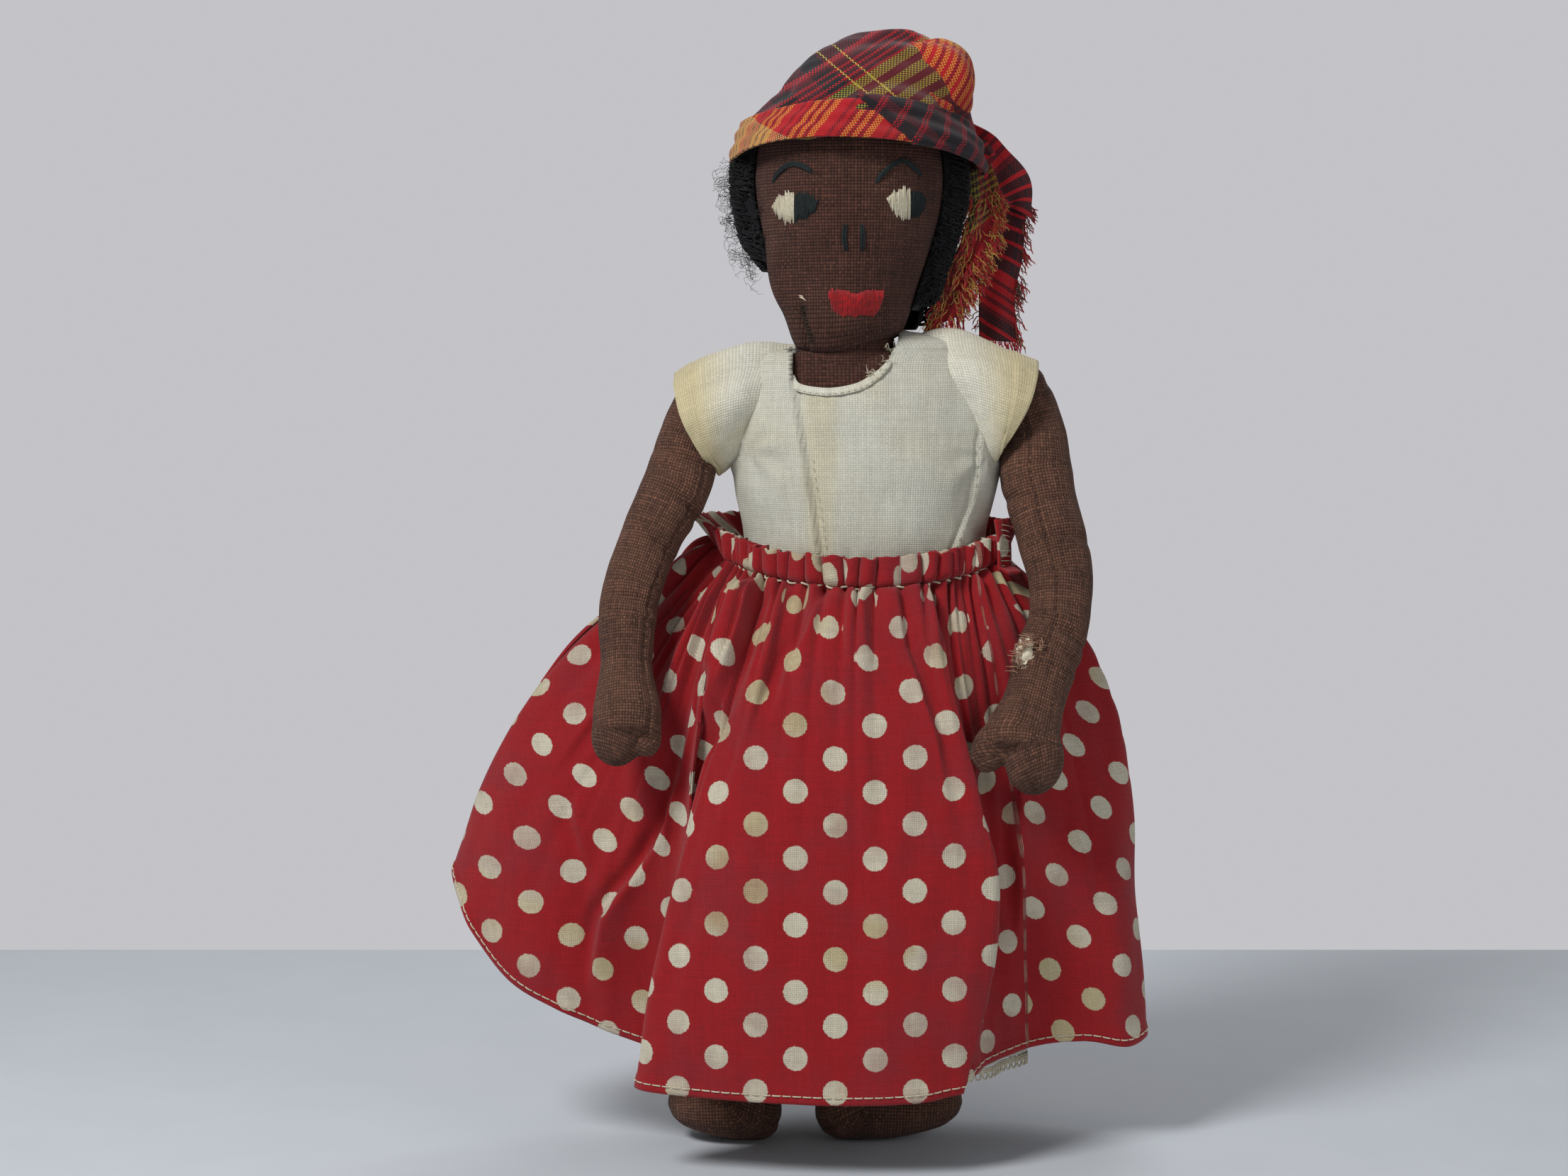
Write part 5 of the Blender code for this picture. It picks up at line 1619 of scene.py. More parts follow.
    def sew_seam(self, piece: bpy.types.Object, route: np.ndarray, body: Body) -> None:
        """Lays small dark stitches along the arm's seam, on the skin as it came out.

        Args:
            piece: The piece.
            route: The limb's middle line.
            body: The body that the stitches move with.
        """
        spots = vertex_values(piece.data, "co") / MM
        along, angle, _ = self.measured(spots, route)
        near = np.abs(np.angle(np.exp(1j * (angle - self.seam)))) < 0.12
        line = []
        for place in np.arange(14, 74, 1.0):
            chosen = near & (np.abs(along - place) < 0.9)
            if chosen.any():
                line.append(spots[chosen].mean(0))
        path = np.array(line)
        middle = np.stack([np.interp(path[:, 2], route[::-1, 2], route[::-1, axis]) for axis in range(3)], 1)
        out = unit(path - middle)
        threads = stitches(path + out * 0.28, pitch=2.0, share=0.55, lift=out, sag=0.10)
        sew(f"{self.name}_arm_seam", threads, self.seam_radius, FINISHES.dark_thread, body)


@dataclass
class WornWrist:
    """The worn place at the left wrist: wadding that comes through, with broken and darned threads."""

    middle: tuple[float, float, float] = (37.9, -25.9, 117.4)
    half: tuple[float, float, float] = (2.3, 2.2, 4.0)
    fibres: int = 34
    fibre_radius: float = 0.07
    darns: int = 110
    darn_radius: float = 0.13
    body: Body = Body.LEFT_ARM

    def build(self) -> None:
        """Makes the tuft and the threads."""
        dice = np.random.default_rng(21)
        work = bmesh.new()
        bmesh.ops.create_icosphere(work, subdivisions=4, radius=1)
        bmesh.ops.scale(work, vec=self.half, verts=work.verts)
        spots = np.array([vert.co for vert in work.verts])
        lumps = 1 + 0.22 * rumple(spots, 1.3, 2.0)
        for vert, lump in zip(work.verts, lumps):
            vert.co = vert.co * lump + Vector(self.middle)
        tuft = piece_from("wadding_tuft", work, FINISHES.wadding)
        dress(tuft, self.body, FINISHES.wadding, "forearm_wadding")
        fibres = []
        for _ in range(self.fibres):
            start = np.array(self.middle) + dice.normal(0, (0.9, 0.3, 1.6)) + (0, -1.7, 0)
            bend = dice.normal(0, 0.6, (3, 3)) * (1, 0.5, 1)
            fibres.append(wandering(start, bend, 8))
        sew("wadding_fibres", fibres, self.fibre_radius, FINISHES.wadding, self.body, taper=0.4, sides=0)
        darning = []
        for index in range(self.darns):
            ring = dice.uniform(0, math.tau)
            reach = dice.uniform(0.8, 1.35)
            x = self.middle[0] + 0.9 + math.cos(ring) * 3.1 * reach
            z = self.middle[2] - 2.2 + math.sin(ring) * 5.6 * reach
            y = -28.0 + 0.055 * (x - 38) ** 2 - 0.24 * (z - 117)
            level = index % 2
            span = dice.uniform(0.7, 1.9)
            ends = np.array(
                [
                    [x - span * level, y, z - span * (1 - level) * 0.6],
                    [x + span * level, y, z + span * (1 - level) * 0.6]
                ]
            )
            share = np.linspace(0, 1, 5)[:, None]
            path = ends[0] + (ends[1] - ends[0]) * share
            path[:, 1] += np.array([0.6, -0.2, -0.45, -0.2, 0.6]) + dice.normal(0, 0.12)
            darning.append(path + dice.normal(0, 0.08, path.shape))
        sew("wrist_darning", darning, self.darn_radius, FINISHES.brown_thread, self.body, taper=0.6, sides=0)


@dataclass
class Leg(Limb):
    """A stuffed leg with its foot turned outwards."""

    side: int
    foot_length: float
    half_width: float = 9.8
    half_depth: float = 9.2
    spacing: float = 12.6
    lean: float = 15.5
    ankle_height: float = 12.0
    hip_height: float = 107.6
    heel_reach: float = 8.6  # from the ankle's middle back to the heel's end
    floor_gap: float = 0.05
    cells: tuple[int, int] = (40, 60)
    foot_half: tuple[float, float] = (11, 7.0)  # the foot's half depth and half height
    rows: Sequence[tuple[float, float, float]] = (
        (0.0, 0.70, 0.05), (0.03, 0.93, 0.22), (0.07, 1.00, 0.44), (0.16, 1.00, 0.84), (0.34, 1.00, 0.98),
        (0.60, 0.94, 0.96), (0.84, 0.88, 0.93), (1.0, 0.84, 0.91),
    )
    foot_rows: Sequence[tuple[float, float, float]] = (
        (0.0, 0.20, 0.20), (0.02, 0.46, 0.45), (0.10, 0.86, 0.80), (0.28, 1.0, 0.98), (0.52, 0.98, 1.02),
        (0.76, 0.86, 0.92), (0.92, 0.60, 0.62), (0.98, 0.34, 0.34), (1.0, 0.10, 0.10),
    )

    def build(self) -> None:
        """Makes the leg."""
        name = "right" if self.side < 0 else "left"
        top = np.array([MIDDLE + self.side * self.spacing, 0, self.hip_height])
        ankle = np.array([top[0] - self.lean, 0, self.ankle_height])
        heel = ankle[0] - self.side * self.heel_reach
        leg_run = Run([row[0] for row in self.rows], self.rows)
        foot_run = Run([row[0] for row in self.foot_rows], self.foot_rows)

        def shin(across: np.ndarray, along: np.ndarray) -> np.ndarray:
            """The skin of the leg.

            Args:
                across: Shares across, from 0 to 1.
                along: Shares along, from 0 to 1.

            Returns:
                Places in millimetres.
            """
            row, angle = leg_run(along), across * math.tau
            middle = top + (ankle - top) * along[:, None]
            wide, deep = self.half_width * row[:, 1], self.half_depth * row[:, 2]
            return middle + rows_of(wide * np.cos(angle), deep * np.sin(angle), 0 * angle)

        def foot(across: np.ndarray, along: np.ndarray) -> np.ndarray:
            """The skin of the foot.

            Args:
                across: Shares across, from 0 to 1.
                along: Shares along, from 0 to 1.

            Returns:
                Places in millimetres.
            """
            row, angle = foot_run(along), across * math.tau
            middle = rows_of(heel + self.side * self.foot_length * along, 0 * along, 6.6 + 2.4 * along**2)
            deep, tall = self.foot_half[0] * row[:, 2], self.foot_half[1] * row[:, 1]
            return middle + rows_of(0 * angle, deep * np.cos(angle), tall * np.sin(angle))

        shells = []
        for surface in (shin, foot):
            shell = sheet_mesh(*self.cells, surface, lambda across, along: rows_of(across, along), ring=True)
            bmesh.ops.holes_fill(shell, edges=[edge for edge in shell.edges if edge.is_boundary], sides=0)
            bmesh.ops.recalc_face_normals(shell, faces=shell.faces)
            shells.append(shell)
        piece = self.skin(f"{name}_leg_skin", shells, voxel=0.85, rounds=4)
        toe = np.array([heel + self.side * self.foot_length, 0, 8.0])
        route = np.array(
            [top, ankle * (1, 1, 0) + (0, 0, 16), ankle * (1, 1, 0) + (self.side * 3, 0, 9), toe]
        )
        self.crease(piece, route, ((60, 0.5, 0.4, 1.6), (94, 0.8, -self.side * 0.6, 1.3)), 2.6)
        for vertex in piece.data.vertices:
            vertex.co.z = max(vertex.co.z, self.floor_gap * MM)
        self.lay_cloth(piece, route, self.half_width)
        # The legs wear the lighter copy of the limb cloth, painted light against the skirt's shadow.
        dress(piece, Body.RIGHT_LEG if self.side < 0 else Body.LEFT_LEG, FINISHES.leg, f"{name}_leg")


def inside(points: np.ndarray, outline: np.ndarray) -> np.ndarray:
    """Which points lie inside a closed outline.

    Args:
        points: Places on a plane.
        outline: The outline's corners.

    Returns:
        True for each point inside.
    """
    within = np.zeros(len(points), bool)
    for a, b in zip(outline, np.roll(outline, -1, axis=0)):
        if a[1] == b[1]:
            continue
        crosses = (a[1] > points[:, 1]) != (b[1] > points[:, 1])
        at = a[0] + (points[:, 1] - a[1]) * (b[0] - a[0]) / (b[1] - a[1])
        within ^= crosses & (points[:, 0] < at)
    return within


def nearest_on(points: np.ndarray, line: np.ndarray) -> tuple[np.ndarray, np.ndarray]:
    """The nearest place on a line of points, and how far away it is.

    Args:
        points: Places on a plane.
        line: The line's points.

    Returns:
        The nearest places, and their distances.
    """
    dense = Run(np.arange(len(line)), line)(np.linspace(0, len(line) - 1, 900))
    gaps = np.linalg.norm(points[:, None] - dense[None], axis=2)
    return dense[gaps.argmin(1)], gaps.min(1)


def cut_opening(
    work: bmesh.types.BMesh, outline: np.ndarray, plane: tuple[int, int], side: Callable[[Vector], bool]
) -> None:
    """Cuts an opening with a clean edge from a sheet.

    Args:
        work: The sheet.
        outline: The opening's outline on two of the three axes.
        plane: Those axes.
        side: Which part of the sheet the opening may touch.
    """
    doomed = []
    for face in work.faces:
        middle = face.calc_center_median()
        if side(middle) and inside(np.array([[middle[plane[0]], middle[plane[1]]]]), outline)[0]:
            doomed.append(face)
    bmesh.ops.delete(work, geom=doomed, context="FACES")
    rim = [vert for vert in work.verts if vert.is_boundary and side(vert.co)]
    spots = np.array([[vert.co[plane[0]], vert.co[plane[1]]] for vert in rim])
    near, gaps = nearest_on(spots, np.vstack([outline, outline[:1]]))
    for vert, place, gap in zip(rim, near, gaps):
        if gap < 1.1:
            vert.co[plane[0]], vert.co[plane[1]] = place


@dataclass
class Blouse:
    """The white blouse: front, back, cap sleeves and the bound neckline."""

    form: OvalForm
    layer: float = 1.15  # from the trunk's skin to the outside of the cloth
    cloth: float = 0.6
    thread: float = 0.09  # the radius of the sewing thread
    fray: float = 0.07  # the radius of a loose thread
    cells: tuple[int, int] = (190, 130)
    band_cells: tuple[int, int] = (110, 8)
    sleeve_cells: tuple[int, int] = (150, 44)
    bottom: float = 131.0
    neckline: Sequence[tuple[float, float]] = (
        (-15.0, 200), (-15.0, 186), (-14.9, 180.8), (-13.4, 178.7), (-9.0, 177.8), (-5.0, 177.8),
        (0.0, 178.9), (3.4, 180.9), (6.2, 183.2), (7.8, 186), (9.6, 190), (10.4, 200),
    )

    def build(self) -> None:
        """Makes every part of the blouse."""
        self.panel("blouse_front_cloth", 1, "blouse_front")
        self.panel("blouse_back_cloth", -1, "blouse_back")
        self.binding()
        self.seams()
        rings = {
            "right": (
                ((-14.0, 187.6), (-22.5, 163.0), 4.5), ((-24.5, 188.0), (-28.3, 160.8), 10.6),
                ((-35.0, 185.0), (-31.4, 158.8), 12.2), ((-42.4, 180.4), (-32.4, 158.4), 11.4),
            ),
            "left": (
                ((12.0, 189.0), (24.0, 164.0), 4.5), ((21.5, 190.8), (29.8, 160.8), 10.4),
                ((32.0, 188.0), (31.6, 159.2), 12.4), ((42.0, 183.6), (29.4, 159.6), 11.6),
            ),
        }
        for name, ring in rings.items():
            self.sleeve(name, ring)

    def pleat_line(self, z: np.ndarray) -> np.ndarray:
        """Where the front's overlapping fold runs, by height."""
        return np.interp(z, [131, 139, 160, 171, 179], [-7.4, -8.4, -11.4, -13.2, -14.4])

    def seam_line(self, z: np.ndarray) -> np.ndarray:
        """Where the front's left seam runs, by height."""
        return np.interp(z, [131, 140, 151, 162, 167], [17.5, 21.5, 26.2, 27.4, 27.8])

    def shape(self, across: np.ndarray, along: np.ndarray, facing: int) -> np.ndarray:
        """One panel of the blouse over the trunk.

        Args:
            across: Shares from the doll's right to its left.
            along: Shares from the top down.
            facing: 1 for the front, -1 for the back.

        Returns:
            Places in millimetres.
        """
        form = self.form.layer(self.layer)
        angle = (across - 0.5) * math.radians(181)
        row = form.run(1 - along * 0.86)
        wide = row[:, 1] * form.half_width + self.layer
        deep = row[:, 2] * form.half_depth + self.layer * np.minimum(1, row[:, 2] * 3)
        z = (
            np.maximum(form.foot[2] + row[:, 0] * form.height, self.bottom)
            + 1.2 * soft_step(along, 0.10, 0.0)
        )
        x = form.foot[0] + wide * np.sin(angle)
        push = np.zeros_like(x)
        if facing > 0:
            gap = x - self.pleat_line(z)
            push += (
                2.1 * (1 - soft_step(gap, -0.35, 0.2)) * np.exp(np.minimum(gap, 0) / 8.0)
                - 0.5 * bump_shape(gap - 0.5, 0.6)
            )
            seam = x - self.seam_line(z)
            push += (0.7 * soft_step(seam, -0.4, 0.1) - 0.45 * bump_shape(seam + 0.6, 0.5)) * (z < 168)
        else:
            push += 0.7 * soft_step(x - 3, -0.2, 0.4) * np.exp(-np.maximum(x - 3, 0) / 6.0) * (x > 0)
        places = rows_of(x, -facing * deep * np.cos(angle), z)
        push += rumple(places, 11, 7.0) * 0.75 + rumple(places * (1, 1, 0.6), 4.5, 2.0) * 0.28
        corner = np.hypot(np.abs(x - MIDDLE) - 27, z - 163)
        ray = np.arctan2(z - 163, np.abs(x - MIDDLE) - 27)
        push += 0.7 * (0.6 + 0.4 * np.sin(ray * 7)) * bump_shape(corner - 6, 5)
        push += 0.35 * bump_shape(z - 136, 4) * np.cos(x * 0.9 + 1.5 * np.sin(x * 0.4))
        places[:, 0] += np.sin(angle) * push
        places[:, 1] += -facing * np.cos(angle) * push
        lift = (
            soft_step(places[:, 2], 182, 188) * soft_step(places[:, 0], 5, 11)
            * soft_step(places[:, 0], 30, 22)
        )
        places[:, 2] += 3.2 * lift
        return places

    def panel(self, name: str, facing: int, node: str) -> None:
        """Makes the front or the back.

        Args:
            name: The panel's name.
            facing: 1 for the front, -1 for the back.
            node: The solid that it stands for.
        """
        form = self.form

        def surface(across: np.ndarray, along: np.ndarray) -> np.ndarray:
            """The panel's cloth."""
            return self.shape(across, along, facing)

        def flat(across: np.ndarray, along: np.ndarray) -> np.ndarray:
            """Its places on the flat cloth.

            Args:
                across: Shares across, from 0 to 1.
                along: Shares along, from 0 to 1.

            Returns:
                Places on the flat cloth, in millimetres.
            """
            places = surface(across, along)
            turn = (across - 0.5) * math.pi
            wide, deep = form.half_sizes(places[:, 2])
            mean = np.sqrt((wide**2 + deep**2) / 2)
            return rows_of(form.foot[0] + turn * np.maximum(mean, 12), places[:, 2])

        work = sheet_mesh(*self.cells, surface, flat)
        if facing > 0:
            cut_opening(work, np.array(self.neckline), (0, 2), lambda co: co.y < 0.5)
        else:
            back = np.array(
                [(-15, 200), (-14.5, 188), (-11, 184.8), (-2, 183.6), (7, 184.8), (10.0, 188), (10.4, 200)]
            )
            cut_opening(work, back, (0, 2), lambda co: co.y > -0.5)
        piece = thicken(piece_from(name, work, FINISHES.blouse), self.cloth, 1.0 if facing < 0 else -1.0)
        dress(piece, Body.TORSO, FINISHES.blouse, node)
        lay(piece, flat=(0.095, 0.064))

    def on_front(self, points: np.ndarray, lift: float) -> np.ndarray:
        """Puts points of the front, given across and up, on the blouse, standing off by a lift."""
        grown = self.form.layer(self.layer + lift)
        return rows_of(points[:, 0], grown.front(points[:, 0], points[:, 1]), points[:, 1])

    def binding(self) -> None:
        """Makes the narrow band that binds the neckline, its stitches and its loose threads."""
        edge = Run(np.arange(8), np.array(self.neckline[2:10]))

        def surface(across: np.ndarray, along: np.ndarray) -> np.ndarray:
            """The band, from its folded edge down.

            Args:
                across: Shares across, from 0 to 1.
                along: Shares along, from 0 to 1.

            Returns:
                Places in millimetres.
            """
            place = edge(across * 6.4)
            ahead = edge(np.minimum(across * 6.4 + 0.05, 7)) - edge(np.maximum(across * 6.4 - 0.05, 0))
            ahead /= np.linalg.norm(ahead, axis=1)[:, None]
            down = rows_of(ahead[:, 1], -ahead[:, 0])
            wide = 1.7 * (1 - 0.35 * soft_step(across, 0.75, 1))
            spot = place + down * ((along - 0.12) * wide)[:, None]
            crown = 0.22 * np.sin(np.clip(along, 0, 1) * math.pi) ** 0.5 + 0.10
            places = self.on_front(spot, 0.25)
            places[:, 1] -= crown + 0.10 * np.sin(across * 55)
            return places

        band = sheet_mesh(*self.band_cells, surface, lambda across, along: rows_of(across * 26, along * 2.3))
        piece = thicken(piece_from("neckline_band", band, FINISHES.sleeve), thickness=0.45, offset=0.0)
        dress(piece, Body.TORSO, FINISHES.sleeve, "neck_binding")
        path = surface(np.linspace(0.02, 0.96, 160), np.full(160, 0.74))
        out = np.tile([0.0, -1.0, 0.0], (160, 1))
        threads = stitches(path + (0, -0.22, 0), pitch=1.5, share=0.6, lift=out, sag=0.10)
        sew("neckline_stitches", threads, self.thread, FINISHES.cream_thread, Body.TORSO)
        dice = np.random.default_rng(4)
        loose = []
        for _ in range(18):
            x = dice.uniform(1.5, 8.6)
            z = float(np.interp(x, [0, 3.4, 6.2, 7.8, 9.6], [178.9, 180.9, 183.2, 186, 190])) - 0.3
            start = self.on_front(np.array([[x, z]]), 0.6)[0]
            steps = dice.normal(0, 0.48, (5, 3)) + (-0.20, -0.12, 0.06)
            loose.append(wandering(start, steps, 12))
        sew("neckline_fray", loose, self.fray, FINISHES.cream_thread, Body.TORSO, taper=0.5, sides=0)

    def seams(self) -> None:
        """Adds the stitches of the front's seams and the tacks that close the back."""
        heights = np.linspace(133, 166, 90)
        threads = []
        for line, shift in ((self.seam_line(heights), 0.55), (self.pleat_line(heights), 1.0)):
            path = self.on_front(rows_of(line + shift, heights), 0.85)
            shown = 14 if shift > 0.9 else None
            out = np.tile([0.3, -0.95, 0.0], (90, 1))
            threads += stitches(path, pitch=2.2, share=0.45, lift=out, sag=0.10)[:shown]
        for z in (142, 152, 162, 172, 180):
            grown = self.form.layer(self.layer + 0.9)
            x = np.linspace(1.2, 3.9, 5)
            threads.append(
                rows_of(
                    x, -grown.front(x, np.full(5, z)) + np.array([-0.5, 0.1, 0.25, 0.1, -0.5]), z + 0.2 * x
                )
            )
        sew("blouse_stitches", threads, self.thread, FINISHES.cream_thread, Body.TORSO)

    def sleeve(self, name: str, rings: Sequence[tuple]) -> None:
        """Makes one cap sleeve with its turned hem.

        Args:
            name: The side.
            rings: From the armhole to the hem, each the top, the bottom and the half depth.
        """
        side = -1 if name == "right" else 1
        rows = [(*top, *low, deep) for top, low, deep in rings]
        run = Run(np.linspace(0, 1, len(rows)), rows)

        def surface(across: np.ndarray, along: np.ndarray) -> np.ndarray:
            """The sleeve's cloth, round the arm from its top.

            Args:
                across: Shares across, from 0 to 1.
                along: Shares along, from 0 to 1.

            Returns:
                Places in millimetres.
            """
            row, angle = run(along), across * math.tau
            middle, half = (row[:, 0:2] + row[:, 2:4]) / 2, (row[:, 0:2] - row[:, 2:4]) / 2
            upright = np.cos(angle)
            places = rows_of(
                middle[:, 0] + half[:, 0] * upright, -row[:, 4] * np.sin(angle),
                middle[:, 1] + half[:, 1] * upright
            )
            places[:, 0] += side * 2.6 * np.sin(angle) ** 2 * along**2
            sag = rumple(places * (0.5, 1, 1), 7, 5.0 + side) * 0.8 + rumple(places, 3.2, 1.0) * 0.18
            fold = 0.9 * np.sin(angle * 5 + along * 2.6 * side + 1.0) * soft_step(along, 1.0, 0.35) * (
                0.35 + 0.65 * np.abs(np.sin(angle))
            )
            hem = 0.28 * soft_step(along, 0.80, 0.82)
            out = rows_of(0.25 * side + 0 * angle, -np.sin(angle), upright)
            return places + out * (sag + fold + hem)[:, None]

        def flat(across: np.ndarray, along: np.ndarray) -> np.ndarray:
            """Its places on the flat cloth."""
            return rows_of((across - 0.5) * 74, along * 20)

        work = sheet_mesh(*self.sleeve_cells, surface, flat, ring=True)
        sheet = piece_from(f"{name}_sleeve_cloth", work, FINISHES.sleeve)
        piece = thicken(sheet, thickness=0.55, offset=1.0)
        path_at = np.linspace(0, 1, 400)
        out = rows_of(0.3 * side + 0 * path_at, -np.sin(path_at * math.tau), np.cos(path_at * math.tau))
        path = surface(path_at, np.full(400, 0.845)) + out * 0.30
        threads = stitches(path, pitch=2.0, share=0.6, lift=out, sag=0.08)
        sewn = strands(f"{name}_sleeve_stitches", threads, self.thread, FINISHES.cream_thread)
        joint_x = MIDDLE + side * SHOULDER_REACH
        for made in (piece, sewn):
            body = Body.RIGHT_ARM if side < 0 else Body.LEFT_ARM
            start, end = (joint_x - side * 9, 0, 178), (joint_x + side * 3, 0, 171)
            [c * MM for c in start]
            [c * MM for c in end]
            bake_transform(made)
            log.info("%s bends between torso and %s", made.name, body.value)
        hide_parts(f"{name}_sleeve")
        lay(piece, flat=(0.074, 0.020))


@dataclass
class Skirt:
    """The gathered dotted skirt, its heading, side flap and stitches."""

    spread: float = 100.0
    shift: float = 1.5
    waist_half: tuple[float, float] = (31.2, 21.2)
    waist_height: float = 132.5
    heading: float = 7.0
    gathers: int = 56
    columns: int = 520
    rows: int = 96
    heading_rows: int = 20
    flap_cells: tuple[int, int] = (26, 34)
    hem_radius: float = 0.17
    gather_radius: float = 0.24
    tack_radius: float = 0.11
    drop: float = 118.0  # down the cloth, from the waist to the hem
    flap_size: tuple[float, float] = (9.0, 12.5)
    flap_turn: float = 67.0  # the flap's place from the front, in degrees
    # Each row is one line of cloth: its waist angle, then its hip, middle and hem places as shares of the
    # spread, sideways, forwards and up.
    stations: Sequence[tuple] = (
        (-98, (-0.605, -0.02, 1.225), (-0.84, -0.03, 0.93), (-0.955, -0.04, 0.635)),
        (-90, (-0.52, 0.05, 1.16), (-0.79, 0.06, 0.815), (-0.906, 0.04, 0.507)),
        (-83, (-0.466, 0.1, 1.159), (-0.702, 0.1, 0.735), (-0.812, 0.09, 0.398)),
        (-76, (-0.425, 0.13, 1.142), (-0.612, 0.12, 0.699), (-0.701, 0.12, 0.336)),
        (-69, (-0.385, 0.15, 1.135), (-0.533, 0.14, 0.683), (-0.591, 0.14, 0.291)),
        (-62, (-0.345, 0.18, 1.128), (-0.433, 0.17, 0.668), (-0.482, 0.17, 0.258)),
        (-56, (-0.306, 0.21, 1.121), (-0.354, 0.22, 0.657), (-0.412, 0.22, 0.241)),
        (-51, (-0.296, 0.24, 1.124), (-0.381, 0.28, 0.658), (-0.448, 0.28, 0.216)),
        (-45, (-0.276, 0.26, 1.116), (-0.418, 0.32, 0.655), (-0.506, 0.33, 0.202)),
        (-38, (-0.237, 0.28, 1.118), (-0.369, 0.36, 0.662), (-0.46, 0.38, 0.197)),
        (-29, (-0.18, 0.29, 1.119), (-0.265, 0.38, 0.665), (-0.335, 0.4, 0.190)),
        (-17, (-0.103, 0.3, 1.121), (-0.142, 0.39, 0.667), (-0.179, 0.42, 0.184)),
        (-4, (-0.017, 0.3, 1.121), (-0.019, 0.39, 0.667), (-0.032, 0.43, 0.180)),
        (9, (0.069, 0.3, 1.121), (0.104, 0.38, 0.665), (0.095, 0.42, 0.182)),
        (21, (0.147, 0.28, 1.118), (0.205, 0.36, 0.662), (0.172, 0.39, 0.188)),
        (31, (0.205, 0.27, 1.117), (0.29, 0.33, 0.665), (0.222, 0.35, 0.200)),
        (38, (0.226, 0.24, 1.124), (0.285, 0.27, 0.664), (0.255, 0.29, 0.218)),
        (45, (0.266, 0.22, 1.122), (0.305, 0.21, 0.665), (0.315, 0.22, 0.238)),
        (53, (0.326, 0.19, 1.129), (0.395, 0.18, 0.67), (0.416, 0.16, 0.256)),
        (63, (0.398, 0.15, 1.144), (0.505, 0.15, 0.684), (0.537, 0.13, 0.259)),
        (75, (0.48, 0.09, 1.16), (0.59, 0.1, 0.69), (0.628, 0.09, 0.24)),
        (88, (0.545, 0.02, 1.18), (0.645, 0.02, 0.700), (0.695, 0.01, 0.252)),
        (102, (0.515, -0.05, 1.16), (0.625, -0.07, 0.68), (0.675, -0.08, 0.24)),
        (112, (0.473, -0.094, 1.147), (0.584, -0.114, 0.656), (0.622, -0.123, 0.221)),
        (121, (0.426, -0.134, 1.13), (0.539, -0.155, 0.641), (0.581, -0.167, 0.212)),
        (130, (0.36, -0.162, 1.118), (0.441, -0.179, 0.626), (0.465, -0.193, 0.194)),
        (140, (0.298, -0.196, 1.11), (0.372, -0.222, 0.623), (0.398, -0.246, 0.195)),
        (150, (0.216, -0.211, 1.103), (0.248, -0.229, 0.609), (0.262, -0.243, 0.177)),
        (161, (0.138, -0.236, 1.102), (0.159, -0.277, 0.616), (0.181, -0.306, 0.188)),
        (172, (0.044, -0.231, 1.098), (0.037, -0.247, 0.604), (0.043, -0.264, 0.171)),
        (183, (-0.045, -0.244, 1.103), (-0.078, -0.288, 0.619), (-0.083, -0.326, 0.192)),
        (194, (-0.129, -0.228, 1.105), (-0.182, -0.247, 0.618), (-0.191, -0.262, 0.185)),
        (205, (-0.221, -0.224, 1.119), (-0.329, -0.259, 0.648), (-0.361, -0.287, 0.231)),
        (216, (-0.296, -0.195, 1.133), (-0.422, -0.213, 0.665), (-0.451, -0.237, 0.265)),
        (227, (-0.38, -0.168, 1.157), (-0.566, -0.191, 0.723), (-0.624, -0.223, 0.35)),
        (238, (-0.447, -0.129, 1.179), (-0.66, -0.148, 0.777), (-0.726, -0.177, 0.426)),
        (247, (-0.53, -0.092, 1.185), (-0.77, -0.112, 0.865), (-0.86, -0.143, 0.527)),
        (255, (-0.57, -0.055, 1.195), (-0.80, -0.072, 0.89), (-0.92, -0.095, 0.59)),
    )
